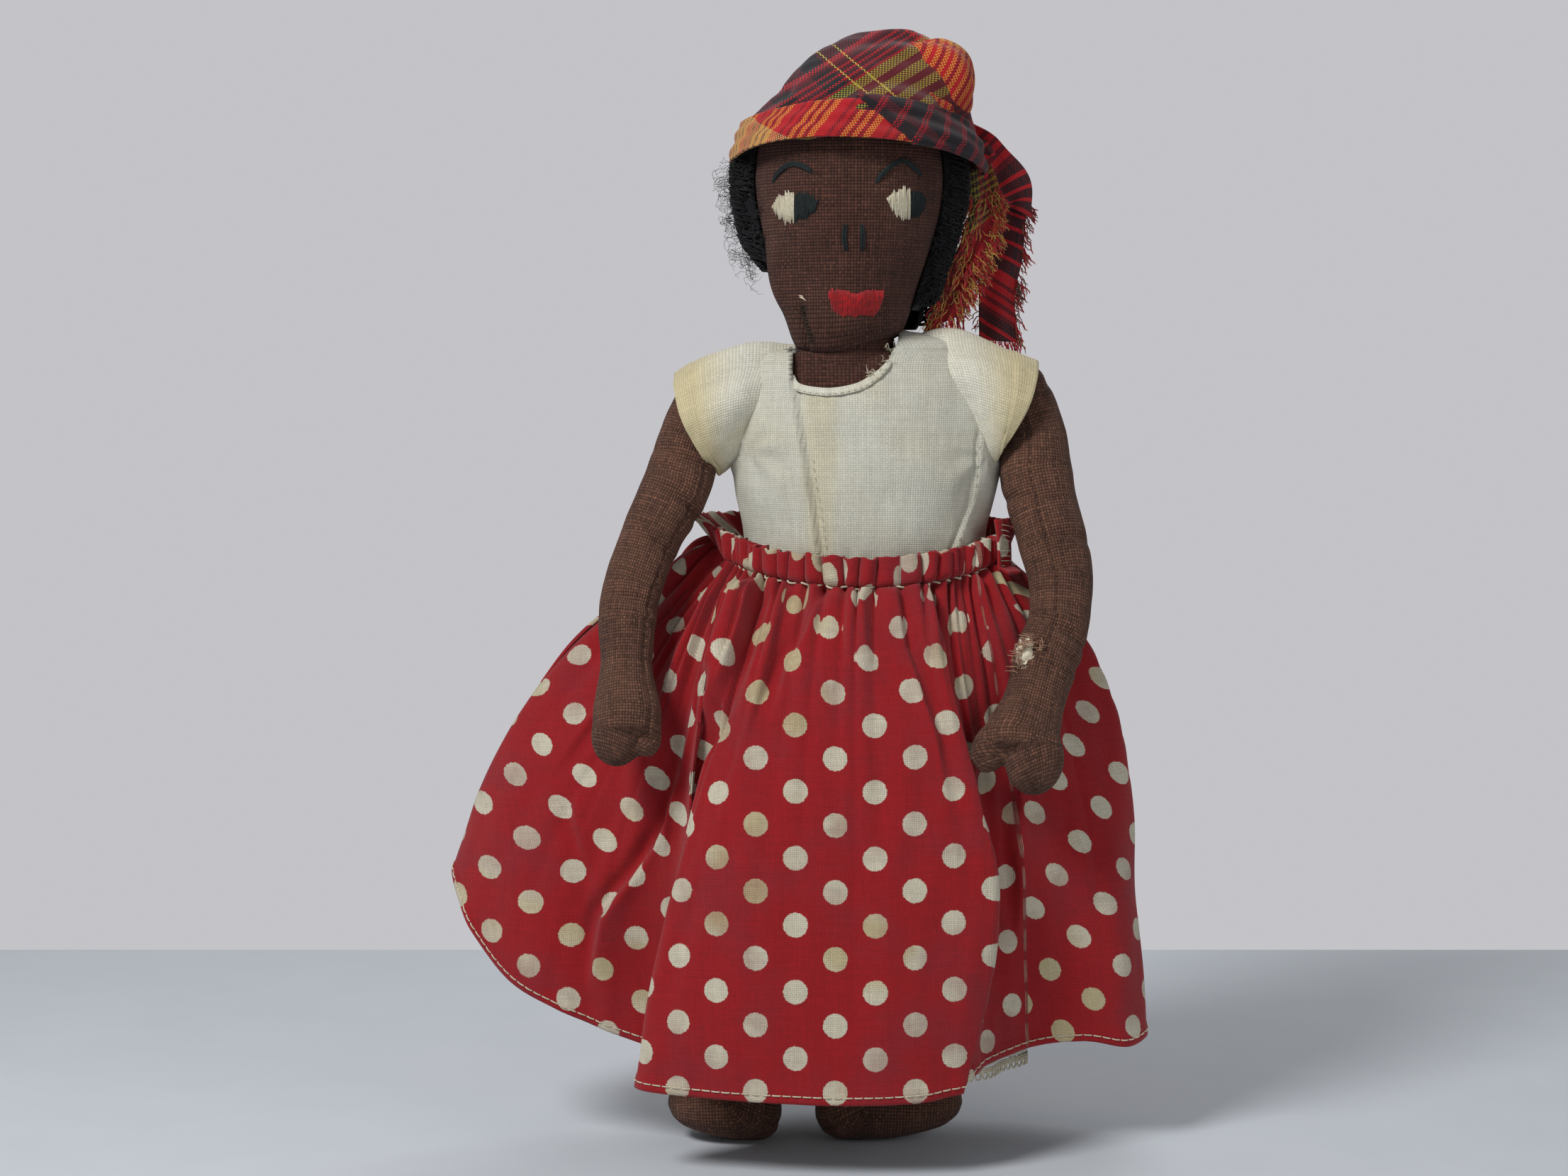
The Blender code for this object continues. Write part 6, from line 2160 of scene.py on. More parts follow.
    # Each row is one pressed-in fold: how far it stands out, which side lies on top, and its line as shares
    # down and round the skirt.
    creases: Sequence[tuple[float, int, Sequence[tuple[float, float]]]] = (
        (
            2.8, -1,
            (
                (0.088, 0.2013), (0.256, 0.2013), (0.375, 0.1900), (0.494, 0.1605), (0.588, 0.1553),
                (0.688, 0.1474), (0.80, 0.1355)
            )
        ),
        (
            2.2, 1,
            (
                (0.125, 0.1355), (0.312, 0.1329), (0.481, 0.1316), (0.581, 0.1276), (0.681, 0.1132),
                (0.769, 0.0960), (0.92, 0.0947)
            )
        ),
        (1.2, -1, ((0.150, 0.1283), (0.356, 0.1265), (0.494, 0.1285), (0.569, 0.1300), (0.68, 0.1325))),
        (1.0, -1, ((0.120, 0.1895), (0.306, 0.1816), (0.425, 0.1560), (0.56, 0.1500))),
        (0.8, 1, ((0.60, 0.0526), (0.694, 0.0776), (0.76, 0.0987))),
        (
            1.5, -1,
            (
                (0.013, 0.3789), (0.25, 0.3930), (0.388, 0.3934), (0.556, 0.3935), (0.66, 0.4000),
                (0.78, 0.4020), (0.863, 0.3980), (1.0, 0.3921)
            )
        ),
        (1.0, -1, ((0.031, 0.3500), (0.25, 0.3553), (0.375, 0.3645), (0.431, 0.3697), (0.56, 0.3720))),
        (0.9, 1, ((0.069, 0.2882), (0.213, 0.2803), (0.294, 0.2671), (0.42, 0.2618))),
        (0.7, -1, ((0.062, 0.3211), (0.25, 0.3276), (0.38, 0.3395))),
        (0.6, 1, ((0.025, 0.3079), (0.213, 0.3092), (0.35, 0.3184))),
        (0.8, -1, ((0.056, 0.2526), (0.2, 0.2500), (0.338, 0.2487), (0.46, 0.2447))),
        (1.2, 1, ((0.05, 0.470), (0.40, 0.475), (0.80, 0.462))),
        (1.3, -1, ((0.02, 0.535), (0.35, 0.545), (0.75, 0.560))),
        (1.5, 1, ((0.04, 0.610), (0.40, 0.622), (0.90, 0.640))),
        (1.2, -1, ((0.02, 0.690), (0.50, 0.684), (0.85, 0.700))),
        (1.6, -1, ((0.05, 0.745), (0.45, 0.760), (0.95, 0.752))),
        (1.3, 1, ((0.03, 0.820), (0.40, 0.815), (0.80, 0.828))),
        (1.4, -1, ((0.06, 0.880), (0.50, 0.872), (0.92, 0.885))),
        (1.0, 1, ((0.02, 0.945), (0.35, 0.952), (0.70, 0.948))),
        (1.0, -1, ((0.02, 0.030), (0.30, 0.040), (0.60, 0.034))),
        (0.9, 1, ((0.02, 0.085), (0.30, 0.082), (0.52, 0.090))),
    )

    side_seam: float = 0.47  # where the front cloth meets the back cloth, as a share round the skirt

    def __post_init__(self) -> None:
        """Draws the cloth lines and measures the cloth along the hem and down each line."""
        rows = []
        for angle, *levels in self.stations:
            places = [(self.spread * x, -self.spread * front, self.spread * up) for x, front, up in levels]
            rows.append(
                [math.radians(angle), *self.waist(np.array([math.radians(angle)]), 0.0)[0], *np.ravel(places)]
            )
        self.count = len(rows)
        first = np.array(rows)
        turned = first + np.eye(len(first[0]))[0] * math.tau
        whole = np.vstack([first[-2:] - np.eye(len(first[0]))[0] * math.tau, first, turned[:2]])
        self.lines = Run(np.arange(-2, self.count + 2), whole)
        across = np.linspace(0, 1, self.columns + 1)
        along = np.linspace(0, 1, self.rows + 1)
        grid = self.drape(np.repeat(across, self.rows + 1), np.tile(along, self.columns + 1)).reshape(
            self.columns + 1, self.rows + 1, 3
        )
        self.down = self.summed(np.linalg.norm(np.diff(grid, axis=1), axis=2), 1)
        self.girth = self.summed(np.linalg.norm(np.diff(grid, axis=0), axis=2), 0)
        self.hem_length = self.girth[-1, -1]
        phase = self.turned(across)
        hidden = (phase - np.floor(phase) - 0.5) * 4.6
        self.wide = self.levelled(grid) + hidden[:, None] * np.exp(-self.down / 9.0)
        for stands, _, line in self.creases:
            reach, shown = self.crease(
                np.repeat(across, self.rows + 1), np.tile(along, self.columns + 1), line
            )
            hidden = 1.3 * stands * shown * (soft_step(reach, -0.8, 0.8) - (line[0][1] < 0.27))
            self.wide += hidden.reshape(self.wide.shape)
        shifted = 2.4 * np.sin(np.floor(phase) * 2.39)
        self.tall = self.climbed(grid) + shifted[:, None] * np.exp(-self.down / 6.0)

    def levelled(self, grid: np.ndarray) -> np.ndarray:
        """How far each place lies round the skirt from the middle of the front, at its own height.

        Args:
            grid: The main form's places, by column and row.

        Returns:
            The distances, by column and row.
        """
        levels = np.linspace(grid[..., 2].min(), grid[..., 2].max(), 90)
        cuts = []
        for column in grid:
            down = column[::-1]
            cuts.append(np.stack([np.interp(levels, down[:, 2], down[:, axis]) for axis in range(3)], -1))
        cuts = np.array(cuts)
        run = self.summed(np.linalg.norm(np.diff(cuts, axis=0), axis=2), 0)
        side = int(self.side_seam * self.columns)
        front, back = slice(int(0.16 * self.columns), side), slice(side, int(0.97 * self.columns))
        ahead = np.array(
            [np.interp(-20.0, cuts[front, level, 0], run[front, level]) for level in range(len(levels))]
        )
        behind = np.array(
            [np.interp(2.0, -cuts[back, level, 0], run[back, level]) for level in range(len(levels))]
        )
        run[:side] -= ahead
        run[side:] -= behind - 260
        return np.array([np.interp(column[:, 2], levels, measured) for column, measured in zip(grid, run)])

    def climbed(self, grid: np.ndarray) -> np.ndarray:
        """How far each place lies up the cloth from the front hem's lowest part, square to its level line.

        Args:
            grid: The main form's places, by column and row.

        Returns:
            The distances, by column and row.
        """
        sideways = np.gradient(grid, axis=0)
        steps = np.diff(grid, axis=1)
        out = np.cross(steps, sideways[:, 1:])
        level = rows_of(-out[..., 1], out[..., 0], 0 * out[..., 0])
        level /= np.maximum(np.linalg.norm(level, axis=-1), 1e-9)[..., None]
        square = steps - level * (steps * level).sum(-1)[..., None]
        down = self.summed(np.linalg.norm(square, axis=2), 1)
        tall = down[:, -1:] - down
        front = int(0.30 * self.columns)
        foot = np.interp(grid[:, -1, 2], grid[front, ::-1, 2], tall[front, ::-1])
        return tall + foot[:, None]

    @staticmethod
    def summed(steps: np.ndarray, axis: int) -> np.ndarray:
        """Running totals of steps along an axis, from 0."""
        totals = np.cumsum(steps, axis=axis)
        return np.concatenate([np.zeros_like(np.take(totals, [0], axis=axis)), totals], axis=axis)

    def look(self, table: np.ndarray, across: np.ndarray, along: np.ndarray) -> np.ndarray:
        """Reads a table of the cloth between its columns and rows.

        Args:
            table: The table, by column and row.
            across: Shares across, from 0 to 1.
            along: Shares along, from 0 to 1.

        Returns:
            The values there.
        """
        column, row = np.clip(across, 0, 1) * self.columns, np.clip(along, 0, 1) * self.rows
        left = np.minimum(column.astype(int), self.columns - 1)
        top = np.minimum(row.astype(int), self.rows - 1)
        u, v = column - left, row - top
        upper = table[left, top] * (1 - u) + table[left + 1, top] * u
        return upper * (1 - v) + (table[left, top + 1] * (1 - u) + table[left + 1, top + 1] * u) * v

    def crease(
        self, across: np.ndarray, along: np.ndarray, line: Sequence[tuple[float, float]]
    ) -> tuple[np.ndarray, np.ndarray]:
        """How far places lie beside a pressed-in fold.

        Args:
            across: Shares round the skirt.
            along: Shares down the skirt.
            line: The fold's line.

        Returns:
            The distance round the skirt in millimetres, and how much of the fold shows at that height.
        """
        downs, rounds = zip(*line)
        at = np.interp(along, downs, rounds)
        reach = self.look(self.girth, across, along) - self.look(self.girth, at, along)
        shown = soft_step(along, downs[0] - 0.05, downs[0] + 0.03) * (
            1 - soft_step(along, downs[-1] - 0.16, downs[-1] + 0.01)
        )
        return reach, np.where(downs[-1] > 0.99, soft_step(along, downs[0] - 0.05, downs[0] + 0.03), shown)

    def waist(self, angle: np.ndarray, extra: Union[float, np.ndarray]) -> np.ndarray:
        """The line of the gathering stitches, by angle from the front, standing out by an extra.

        Args:
            angle: Angles from the front.
            extra: How far they stand out.

        Returns:
            Places in millimetres.
        """
        rise = 2.0 * np.sin(angle) ** 2 + 8.5 * (1 - np.cos(angle)) / 2
        x = self.shift + (self.waist_half[0] + extra) * np.sin(angle)
        return rows_of(x, -(self.waist_half[1] + extra) * np.cos(angle), self.waist_height + rise)

    def drape(self, across: np.ndarray, along: np.ndarray) -> np.ndarray:
        """The skirt's main form, from the waist to the hem.

        Args:
            across: Shares across, from 0 to 1.
            along: Shares along, from 0 to 1.

        Returns:
            Places in millimetres.
        """
        row = self.lines((across % 1) * self.count)
        levels = row[:, 1:].reshape(-1, 4, 3)
        at = np.clip(along * 3, 0, 2.99999)
        index = at.astype(int)
        share = (at - index)[:, None]
        every = np.arange(len(row))
        before, first = levels[every, np.maximum(index - 1, 0)], levels[every, index]
        second, after = levels[every, index + 1], levels[every, np.minimum(index + 2, 3)]
        bent = (
            (2 * before - 5 * first + 4 * second - after) * share**2
            + (3 * first - before - 3 * second + after) * share**3
        )
        return 0.5 * (2 * first + (second - before) * share + bent)

    def cloth(self, across: np.ndarray, along: np.ndarray) -> np.ndarray:
        """Places on the flat cloth: across from the middle of the front, and up from the hem."""
        return rows_of(self.look(self.wide, across, along), self.look(self.tall, across, along))

    def turned(self, across: np.ndarray) -> np.ndarray:
        """How many gathers have passed, with uneven widths."""
        uneven = 0.9 * np.sin(across * 41) + 0.6 * np.sin(across * 97 + 1) + 0.35 * np.sin(across * 173 + 2)
        return across * self.gathers + 0.30 * uneven

    def gather(self, across: np.ndarray) -> np.ndarray:
        """The gathers' wave along the waist, from about -1 to 1.

        Args:
            across: Shares across, from 0 to 1.

        Returns:
            The wave.
        """
        wave = 2 * np.abs(np.sin(math.pi * self.turned(across))) ** 0.75 - 1
        strength = 0.80 + 0.34 * np.sin(across * 67 + 0.5) + 0.32 * np.sin(across * 139)
        return wave * strength

    def surface(self, across: np.ndarray, along: np.ndarray) -> np.ndarray:
        """The skirt with its gathers, smaller folds and turned hem.

        Args:
            across: Shares across, from 0 to 1.
            along: Shares along, from 0 to 1.

        Returns:
            Places in millimetres.
        """
        step = 0.0008
        places = self.drape(across, along)
        sideways = self.drape(across + step, along) - self.drape(across - step, along)
        down = (
            self.drape(across, np.minimum(along + 0.01, 1)) - self.drape(across, np.maximum(along - 0.01, 0))
        )
        out = unit(np.cross(down, sideways))
        depth = along * self.drop
        spots = rows_of(across * self.hem_length, depth * 0.35, 0 * depth)
        fade = np.exp(-depth / (13 + 28 * (0.5 + 0.5 * rumple(spots * (1, 0, 0), 17, 9.0))))
        push = (self.gather(across) - 0.2) * (0.65 + 1.55 * soft_step(depth, 0.0, 3.0)) * fade
        push += 1.3 * soft_step(depth, 0.0, 1.3) - 0.9
        push += rumple(spots, 16, 3.0) * 1.7 * soft_step(depth, 8, 45) + rumple(spots, 5.5, 6.0) * 0.45
        push += rumple(spots * (1, 0.5, 1), 8, 27.0) * 0.6 * bump_shape(depth - 30, 26)
        push += 5.0 * bump_shape(depth - 13, 9) * bump_shape(((across + 0.54) % 1 - 0.5) * 40, 2.2)
        for stands, side, line in self.creases:
            reach, shown = self.crease(across % 1, along, line)
            reach = reach * side
            lip = np.exp(-np.maximum(reach, 0) / 5.5) * soft_step(reach, -0.75, 0.45)
            push += 1.75 * stands * shown * (lip - 0.50 * bump_shape(reach + 2.4, 2.0))
        push += 0.22 * soft_step(along, 0.958, 0.964)
        return places + out * push[:, None]

    def build(self) -> None:
        """Makes the skirt and everything sewn to it."""
        work = sheet_mesh(self.columns, self.rows, self.surface, self.cloth, ring=True)
        piece = thicken(piece_from("skirt_cloth", work, FINISHES.skirt), thickness=0.55, offset=-1.0)
        self.hang(piece, "skirt")
        self.sew_hem()
        self.make_heading()
        self.make_flap()
        self.sew_gathers()
        flat = (self.hem_length * MM, 0.124)
        lay(piece, flat=flat)

    def hang(self, piece: bpy.types.Object, *nodes: str) -> None:
        """Keeps a piece where it lies, on no body, and hides the solids that it stands for.

        Args:
            piece: The piece.
            *nodes: The solids that it stands for.
        """
        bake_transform(piece)
        if nodes:
            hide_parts(*nodes)
        log.info("%s bends between torso and skirt", piece.name)

    def sew_hem(self) -> None:
        """Lays the machine stitches along the hem."""
        across = np.linspace(0, 1, 1600)
        along = np.full(1600, 1 - 2.5 / 116)
        path = self.surface(across, along)
        sideways = np.gradient(path, axis=0)
        down = self.surface(across, along + 0.01) - self.surface(across, along - 0.01)
        out = unit(np.cross(down, sideways))
        threads = stitches(path + out * 0.06, pitch=2.3, share=0.80, lift=out, sag=0.12)
        sew("skirt_hem_stitches", threads, self.hem_radius, FINISHES.cream_thread, Body.SKIRT)

    def heading_place(self, across: np.ndarray, up: np.ndarray) -> np.ndarray:
        """The gathered heading, by shares round the waist and above the stitching.

        Args:
            across: Shares across, from 0 to 1.
            up: Shares above the stitching.

        Returns:
            Places in millimetres.
        """
        angle = self.lines((across % 1) * self.count)[:, 0]
        lean = 9.5 * bump_shape(np.angle(np.exp(1j * (angle - math.radians(-112)))), 0.42)
        lean += 3.5 * bump_shape(np.angle(np.exp(1j * (angle - math.radians(96)))), 0.30)
        wave = self.gather(across + 0.0035 * np.sin(across * 91) * up)
        extra = (
            wave * (0.55 + 1.15 * soft_step(up, 0, 0.35)) * (1 - 0.6 * lean / 9.5)
            + 1.7 * soft_step(up, -0.05, 0.22) - 1.0 + lean * np.maximum(up, 0) ** 1.3
        )
        places = self.waist(angle, extra)
        places[:, 2] += (self.heading + 1.2 * lean / 9.5 + 0.6 * wave * np.sin(across * 300)) * up
        return places

    def make_heading(self) -> None:
        """Makes the heading that stands above the gathering stitches."""

        def surface(across: np.ndarray, along: np.ndarray) -> np.ndarray:
            """The heading, from its folded top down."""
            return self.heading_place(across, 1 - along * 1.10)

        def flat(across: np.ndarray, along: np.ndarray) -> np.ndarray:
            """Its places on the same cloth as the skirt."""
            top, up = self.cloth(across, 0 * along), (1 - along) * self.heading
            return top + rows_of(0.4 * up * np.sin(np.floor(self.turned(across)) * 1.7), up)

        work = sheet_mesh(self.columns, self.heading_rows, surface, flat, ring=True)
        piece = thicken(piece_from("waist_heading", work, FINISHES.skirt), thickness=0.7, offset=-1.0)
        dress(piece, Body.TORSO, FINISHES.skirt, "waist_ruffle")
        lay(piece, flat=(0.19, 0.010))

    def sew_gathers(self) -> None:
        """Lays the long hand stitches that hold the gathers."""
        across = np.linspace(0, 1, 1400)
        angle = self.lines(across * self.count)[:, 0]
        out = rows_of(np.sin(angle), -np.cos(angle), 0 * angle)
        path = self.waist(angle, 0.55 + 0.65 * self.gather(across))
        path[:, 2] += 0.25 * np.sin(across * 311)
        threads = stitches(path, pitch=3.7, share=0.66, lift=out, sag=0.5)
        sew("gathering_stitches", threads, self.gather_radius, FINISHES.cream_thread, Body.TORSO)

    def make_flap(self) -> None:
        """Makes the closing flap at the doll's left with its tacking threads."""
        turn = math.radians(self.flap_turn)
        flap_width, flap_height = self.flap_size
        out = np.array([math.sin(turn), -math.cos(turn), 0])
        sideways = np.array([math.cos(turn), math.sin(turn), 0])
        middle = self.waist(np.array([turn]), 3.2)[0]

        def surface(across: np.ndarray, along: np.ndarray) -> np.ndarray:
            """The flap, from its raw top edge down.

            Args:
                across: Shares across, from 0 to 1.
                along: Shares along, from 0 to 1.

            Returns:
                Places in millimetres.
            """
            height = flap_height * (0.5 - along) + 4.75
            bow = (0.25 - (across - 0.5) ** 2) * 3.4 + 0.5 * np.sin(across * 9 + along * 3)
            lean = np.maximum(0, -height) * 1.8 + 0.9 * along
            return (
                middle + sideways * ((across - 0.5) * flap_width)[:, None] + out * (bow + lean)[:, None]
                + np.array([0, 0, 1.0]) * height[:, None]
            )

        work = sheet_mesh(
            *self.flap_cells, surface,
            lambda across, along: rows_of(across * flap_width + 3, flap_height * (1 - along) + 4)
        )
        piece = thicken(piece_from("side_flap", work, FINISHES.skirt), thickness=0.6, offset=0.0)
        dress(piece, Body.TORSO, FINISHES.skirt, "side_placket")
        lay(piece, flat=(0.010, 0.0125))
        dice = np.random.default_rng(12)
        threads = []
        for index in range(9):
            start = (
                surface(np.array([dice.uniform(0.05, 0.35)]), np.array([0.1 + index * 0.095]))[0] + out * 0.5
            )
            end = (
                surface(np.array([dice.uniform(0.55, 0.95)]), np.array([0.16 + index * 0.09]))[0] + out * 0.6
            )
            share = np.linspace(0, 1, 7)[:, None]
            path = (
                start + (end - start) * share
                + out * (np.sin(share * math.pi) * 0.35 - 0.3 * (share == 0) - 0.3 * (share == 1))
            )
            threads.append(path)
        sew("flap_tacks", threads, self.tack_radius, FINISHES.cream_thread, Body.TORSO)


@dataclass
class Petticoat:
    """The white petticoat and the looped edging under its hem."""

    skirt: Skirt
    top: float = 124.4
    hem: float = 21.0
    top_half: tuple[float, float] = (31.5, 18.7)  # half the width and half the depth
    hem_half: tuple[float, float] = (39.0, 24.5)
    folds: int = 8
    loop_pitch: float = 2.0
    loop_radius: float = 0.22
    cells: tuple[int, int] = (150, 60)

    def place(self, across: np.ndarray, along: np.ndarray) -> np.ndarray:
        """The petticoat's cloth, from its top to its hem.

        Args:
            across: Shares across, from 0 to 1.
            along: Shares along, from 0 to 1.

        Returns:
            Places in millimetres.
        """
        angle = across * math.tau
        fold = 1 + 0.045 * along * np.cos(angle * self.folds)
        wide = self.top_half[0] * (1 - along) + self.hem_half[0] * along
        deep = self.top_half[1] * (1 - along) + self.hem_half[1] * along
        return rows_of(
            wide * fold * np.sin(angle), -deep * fold * np.cos(angle),
            self.top + (self.hem - self.top) * along
        )

    def build(self) -> None:
        """Makes the petticoat and its edging."""
        work = sheet_mesh(
            *self.cells, self.place, lambda across, along: rows_of(across * 210, along * 104), ring=True
        )
        piece = thicken(piece_from("petticoat_cloth", work, FINISHES.blouse), thickness=0.6, offset=-1.0)
        self.skirt.hang(piece, "petticoat")
        lay(piece, flat=(0.21, 0.104))
        loops = []
        share = np.linspace(0, 1, 2600)
        edge = self.place(share, np.ones(2600))
        run = run_of(edge)
        count = int(run[-1] / self.loop_pitch)
        turn = np.linspace(-0.35, math.pi + 0.35, 9)
        for index in range(count):
            at = (index + 0.5) * run[-1] / count + 0.82 * np.cos(turn)
            spot = along_line(at, run, edge)
            spot[:, 2] += -1.55 - 1.45 * np.sin(turn)
            loops.append(spot)
        tape = along_line(np.linspace(0, run[-1], 500), run, edge)
        loops += [tape + (0, 0, -0.5), tape + (0, 0, -1.0), tape + (0, 0, -1.5)]
        sew("petticoat_loops", loops, self.loop_radius, FINISHES.cream_thread, Body.SKIRT, "petticoat_lace")


@dataclass
class Hair:
    """Three rolls of black wool, each a mass under loose curls and fine fuzz."""

    head: Head
    thickness: float = 4.9
    lock_radius: float = 0.24
    hair_radius: float = 0.045
    rolls: Sequence[tuple] = (
        ("right", (-113, -79), (204.0, 236.0), 190, 62),
        ("left", (76, 111), (196.0, 236.0), 210, 50),
        ("back", (110, 249), (191.6, 238.5), 900, 110),
    )

    def build(self) -> None:
        """Makes every roll."""
        for seed, (name, turns, heights, curls, fuzz) in enumerate(self.rolls):
            self.roll(name, turns, heights)
            self.wool(name, turns, heights, curls, fuzz, np.random.default_rng(20 + seed))

    def place(self, angle: np.ndarray, z: np.ndarray, lift: Union[float, np.ndarray]) -> np.ndarray:
        """Places standing off the head by a lift, by angle from the front and height.

        Args:
            angle: Angles from the front.
            z: Heights in millimetres.
            lift: How far they stand off the head.

        Returns:
            Places in millimetres.
        """
        wide, deep = self.head.form.half_sizes(z)
        wide, deep = wide + lift, deep + lift
        return rows_of(self.head.middle + wide * np.sin(angle), -deep * np.cos(angle), z + 0 * angle)

    @staticmethod
    def foot(angle: Union[float, np.ndarray], lowest: float) -> Union[float, np.ndarray]:
        """The wool's lower edge, which climbs towards the doll's right cheek."""
        return lowest + 16 * soft_step(angle, math.radians(203), math.radians(229))

    @staticmethod
    def hanging(angle: Union[float, np.ndarray], z: np.ndarray) -> np.ndarray:
        """How far the wool behind the doll's left cheek stands off where the head narrows."""
        return 5.5 * soft_step(z, 206, 193) * bump_shape(angle - math.radians(124), math.radians(20))

    def roll(self, name: str, turns: tuple[float, float], heights: tuple[float, float]) -> None:
        """Makes the wool's mass.

        Args:
            name: The roll.
            turns: Its angles from the front, in degrees.
            heights: Its lowest and highest place.
        """

        def surface(across: np.ndarray, along: np.ndarray) -> np.ndarray:
            """The roll, pillowed down to the head at its edges.

            Args:
                across: Shares across, from 0 to 1.
                along: Shares along, from 0 to 1.

            Returns:
                Places in millimetres.
            """
            angle = np.radians(turns[0] + (turns[1] - turns[0]) * across)
            z = heights[1] + (self.foot(angle, heights[0]) - heights[1]) * along
            pillow = (1 - np.abs(2 * across - 1) ** 5) * (
                1 - np.maximum(0, 2 * along - 1) ** (2.4 if name == "right" else 5)
            )
            pillow *= 1 - 0.45 * soft_step(z, 228, 233)
            spots = self.place(angle, z, 3.0)
            tufts = 0.55 * rumple(spots, 3.2, 4.0) + 0.35 * rumple(spots, 1.5, 2.0)
            return self.place(
                angle, z, 0.5 + (self.thickness - 0.6 + tufts) * pillow + self.hanging(angle, z)
            )

        work = sheet_mesh(
            120 if name == "back" else 60, 80, surface, lambda across, along: rows_of(across, along)
        )
        piece = thicken(piece_from(f"hair_mass_{name}", work, FINISHES.wool), thickness=0.3, offset=-1.0)
        dress(piece, Body.HEAD, FINISHES.wool, f"hair_{name}")

    def wool(
        self, name: str, turns: tuple[float, float], heights: tuple[float, float], curls: int, fuzz: int,
        dice: np.random.Generator
    ) -> None:
        """Lays crimped locks over the mass and lets fine hairs stand out of it.

        Args:
            name: The roll.
            turns: Its angles from the front, in degrees.
            heights: Its lowest and highest place.
            curls: How many locks.
            fuzz: How many fine hairs, times three.
            dice: The seeded source of the irregular parts.
        """
        locks = []
        steps = np.linspace(0, 1, 26)
        for _ in range(curls):
            angle = math.radians(dice.uniform(turns[0] + 2, turns[1] - 2))
            low_end = float(self.foot(angle, heights[0]))
            z = dice.uniform(low_end + 2, heights[1] - 1)
            length, lean = dice.uniform(9, 17), dice.normal(0, 0.45)
            z_line = z - length * (steps - 0.5) * math.cos(lean)
            turn = angle + length * (steps - 0.5) * math.sin(lean) / 26
            crimp = dice.uniform(5, 9) * math.tau * steps + dice.uniform(0, 6)
            swing = dice.uniform(0.35, 0.75)
            turn = turn + swing * np.sin(crimp) / 25
            low, high = math.radians(min(turns)), math.radians(max(turns))
            rounded = 9.0 if name == "right" else 2.2
            edge = np.minimum(
                np.minimum((turn - low) * 25 / 2.5, (high - turn) * 25 / 2.5), (z_line - low_end) / rounded
            )
            edge = np.minimum(edge, (235 - z_line) / 5)
            lift = (
                1.2 + (self.thickness - 1.0) * soft_step(edge, -0.3, 1) + swing * np.cos(crimp) * 0.8
                + dice.uniform(-0.4, 0.5)
            )
            z_line = np.clip(z_line, low_end + 1.2, 233.5)
            locks.append(self.place(turn, z_line, lift + self.hanging(turn, z_line)))
        sew(f"hair_locks_{name}", locks, self.lock_radius, FINISHES.wool, Body.HEAD, taper=0.5, sides=0)
        hairs = []
        steps = np.linspace(0, 1, 9)
        for _ in range(fuzz * 3):
            angle = math.radians(dice.uniform(turns[0] + 1, turns[1] - 1))
            z = dice.uniform(float(self.foot(angle, heights[0])) + 1, 230)
            reach = dice.uniform(1.0, 5.8)
            wander = np.cumsum(dice.normal(0, 0.60, (9, 2)), axis=0)
            lift = self.thickness * 0.85 + reach * np.sin(steps * dice.uniform(1.4, 2.9))
            hairs.append(self.place(angle + wander[:, 0] / 26, z + wander[:, 1] - 1.5 * steps, lift))
        sew(f"hair_fuzz_{name}", hairs, self.hair_radius, FINISHES.wool, Body.HEAD, taper=0.4, sides=0)


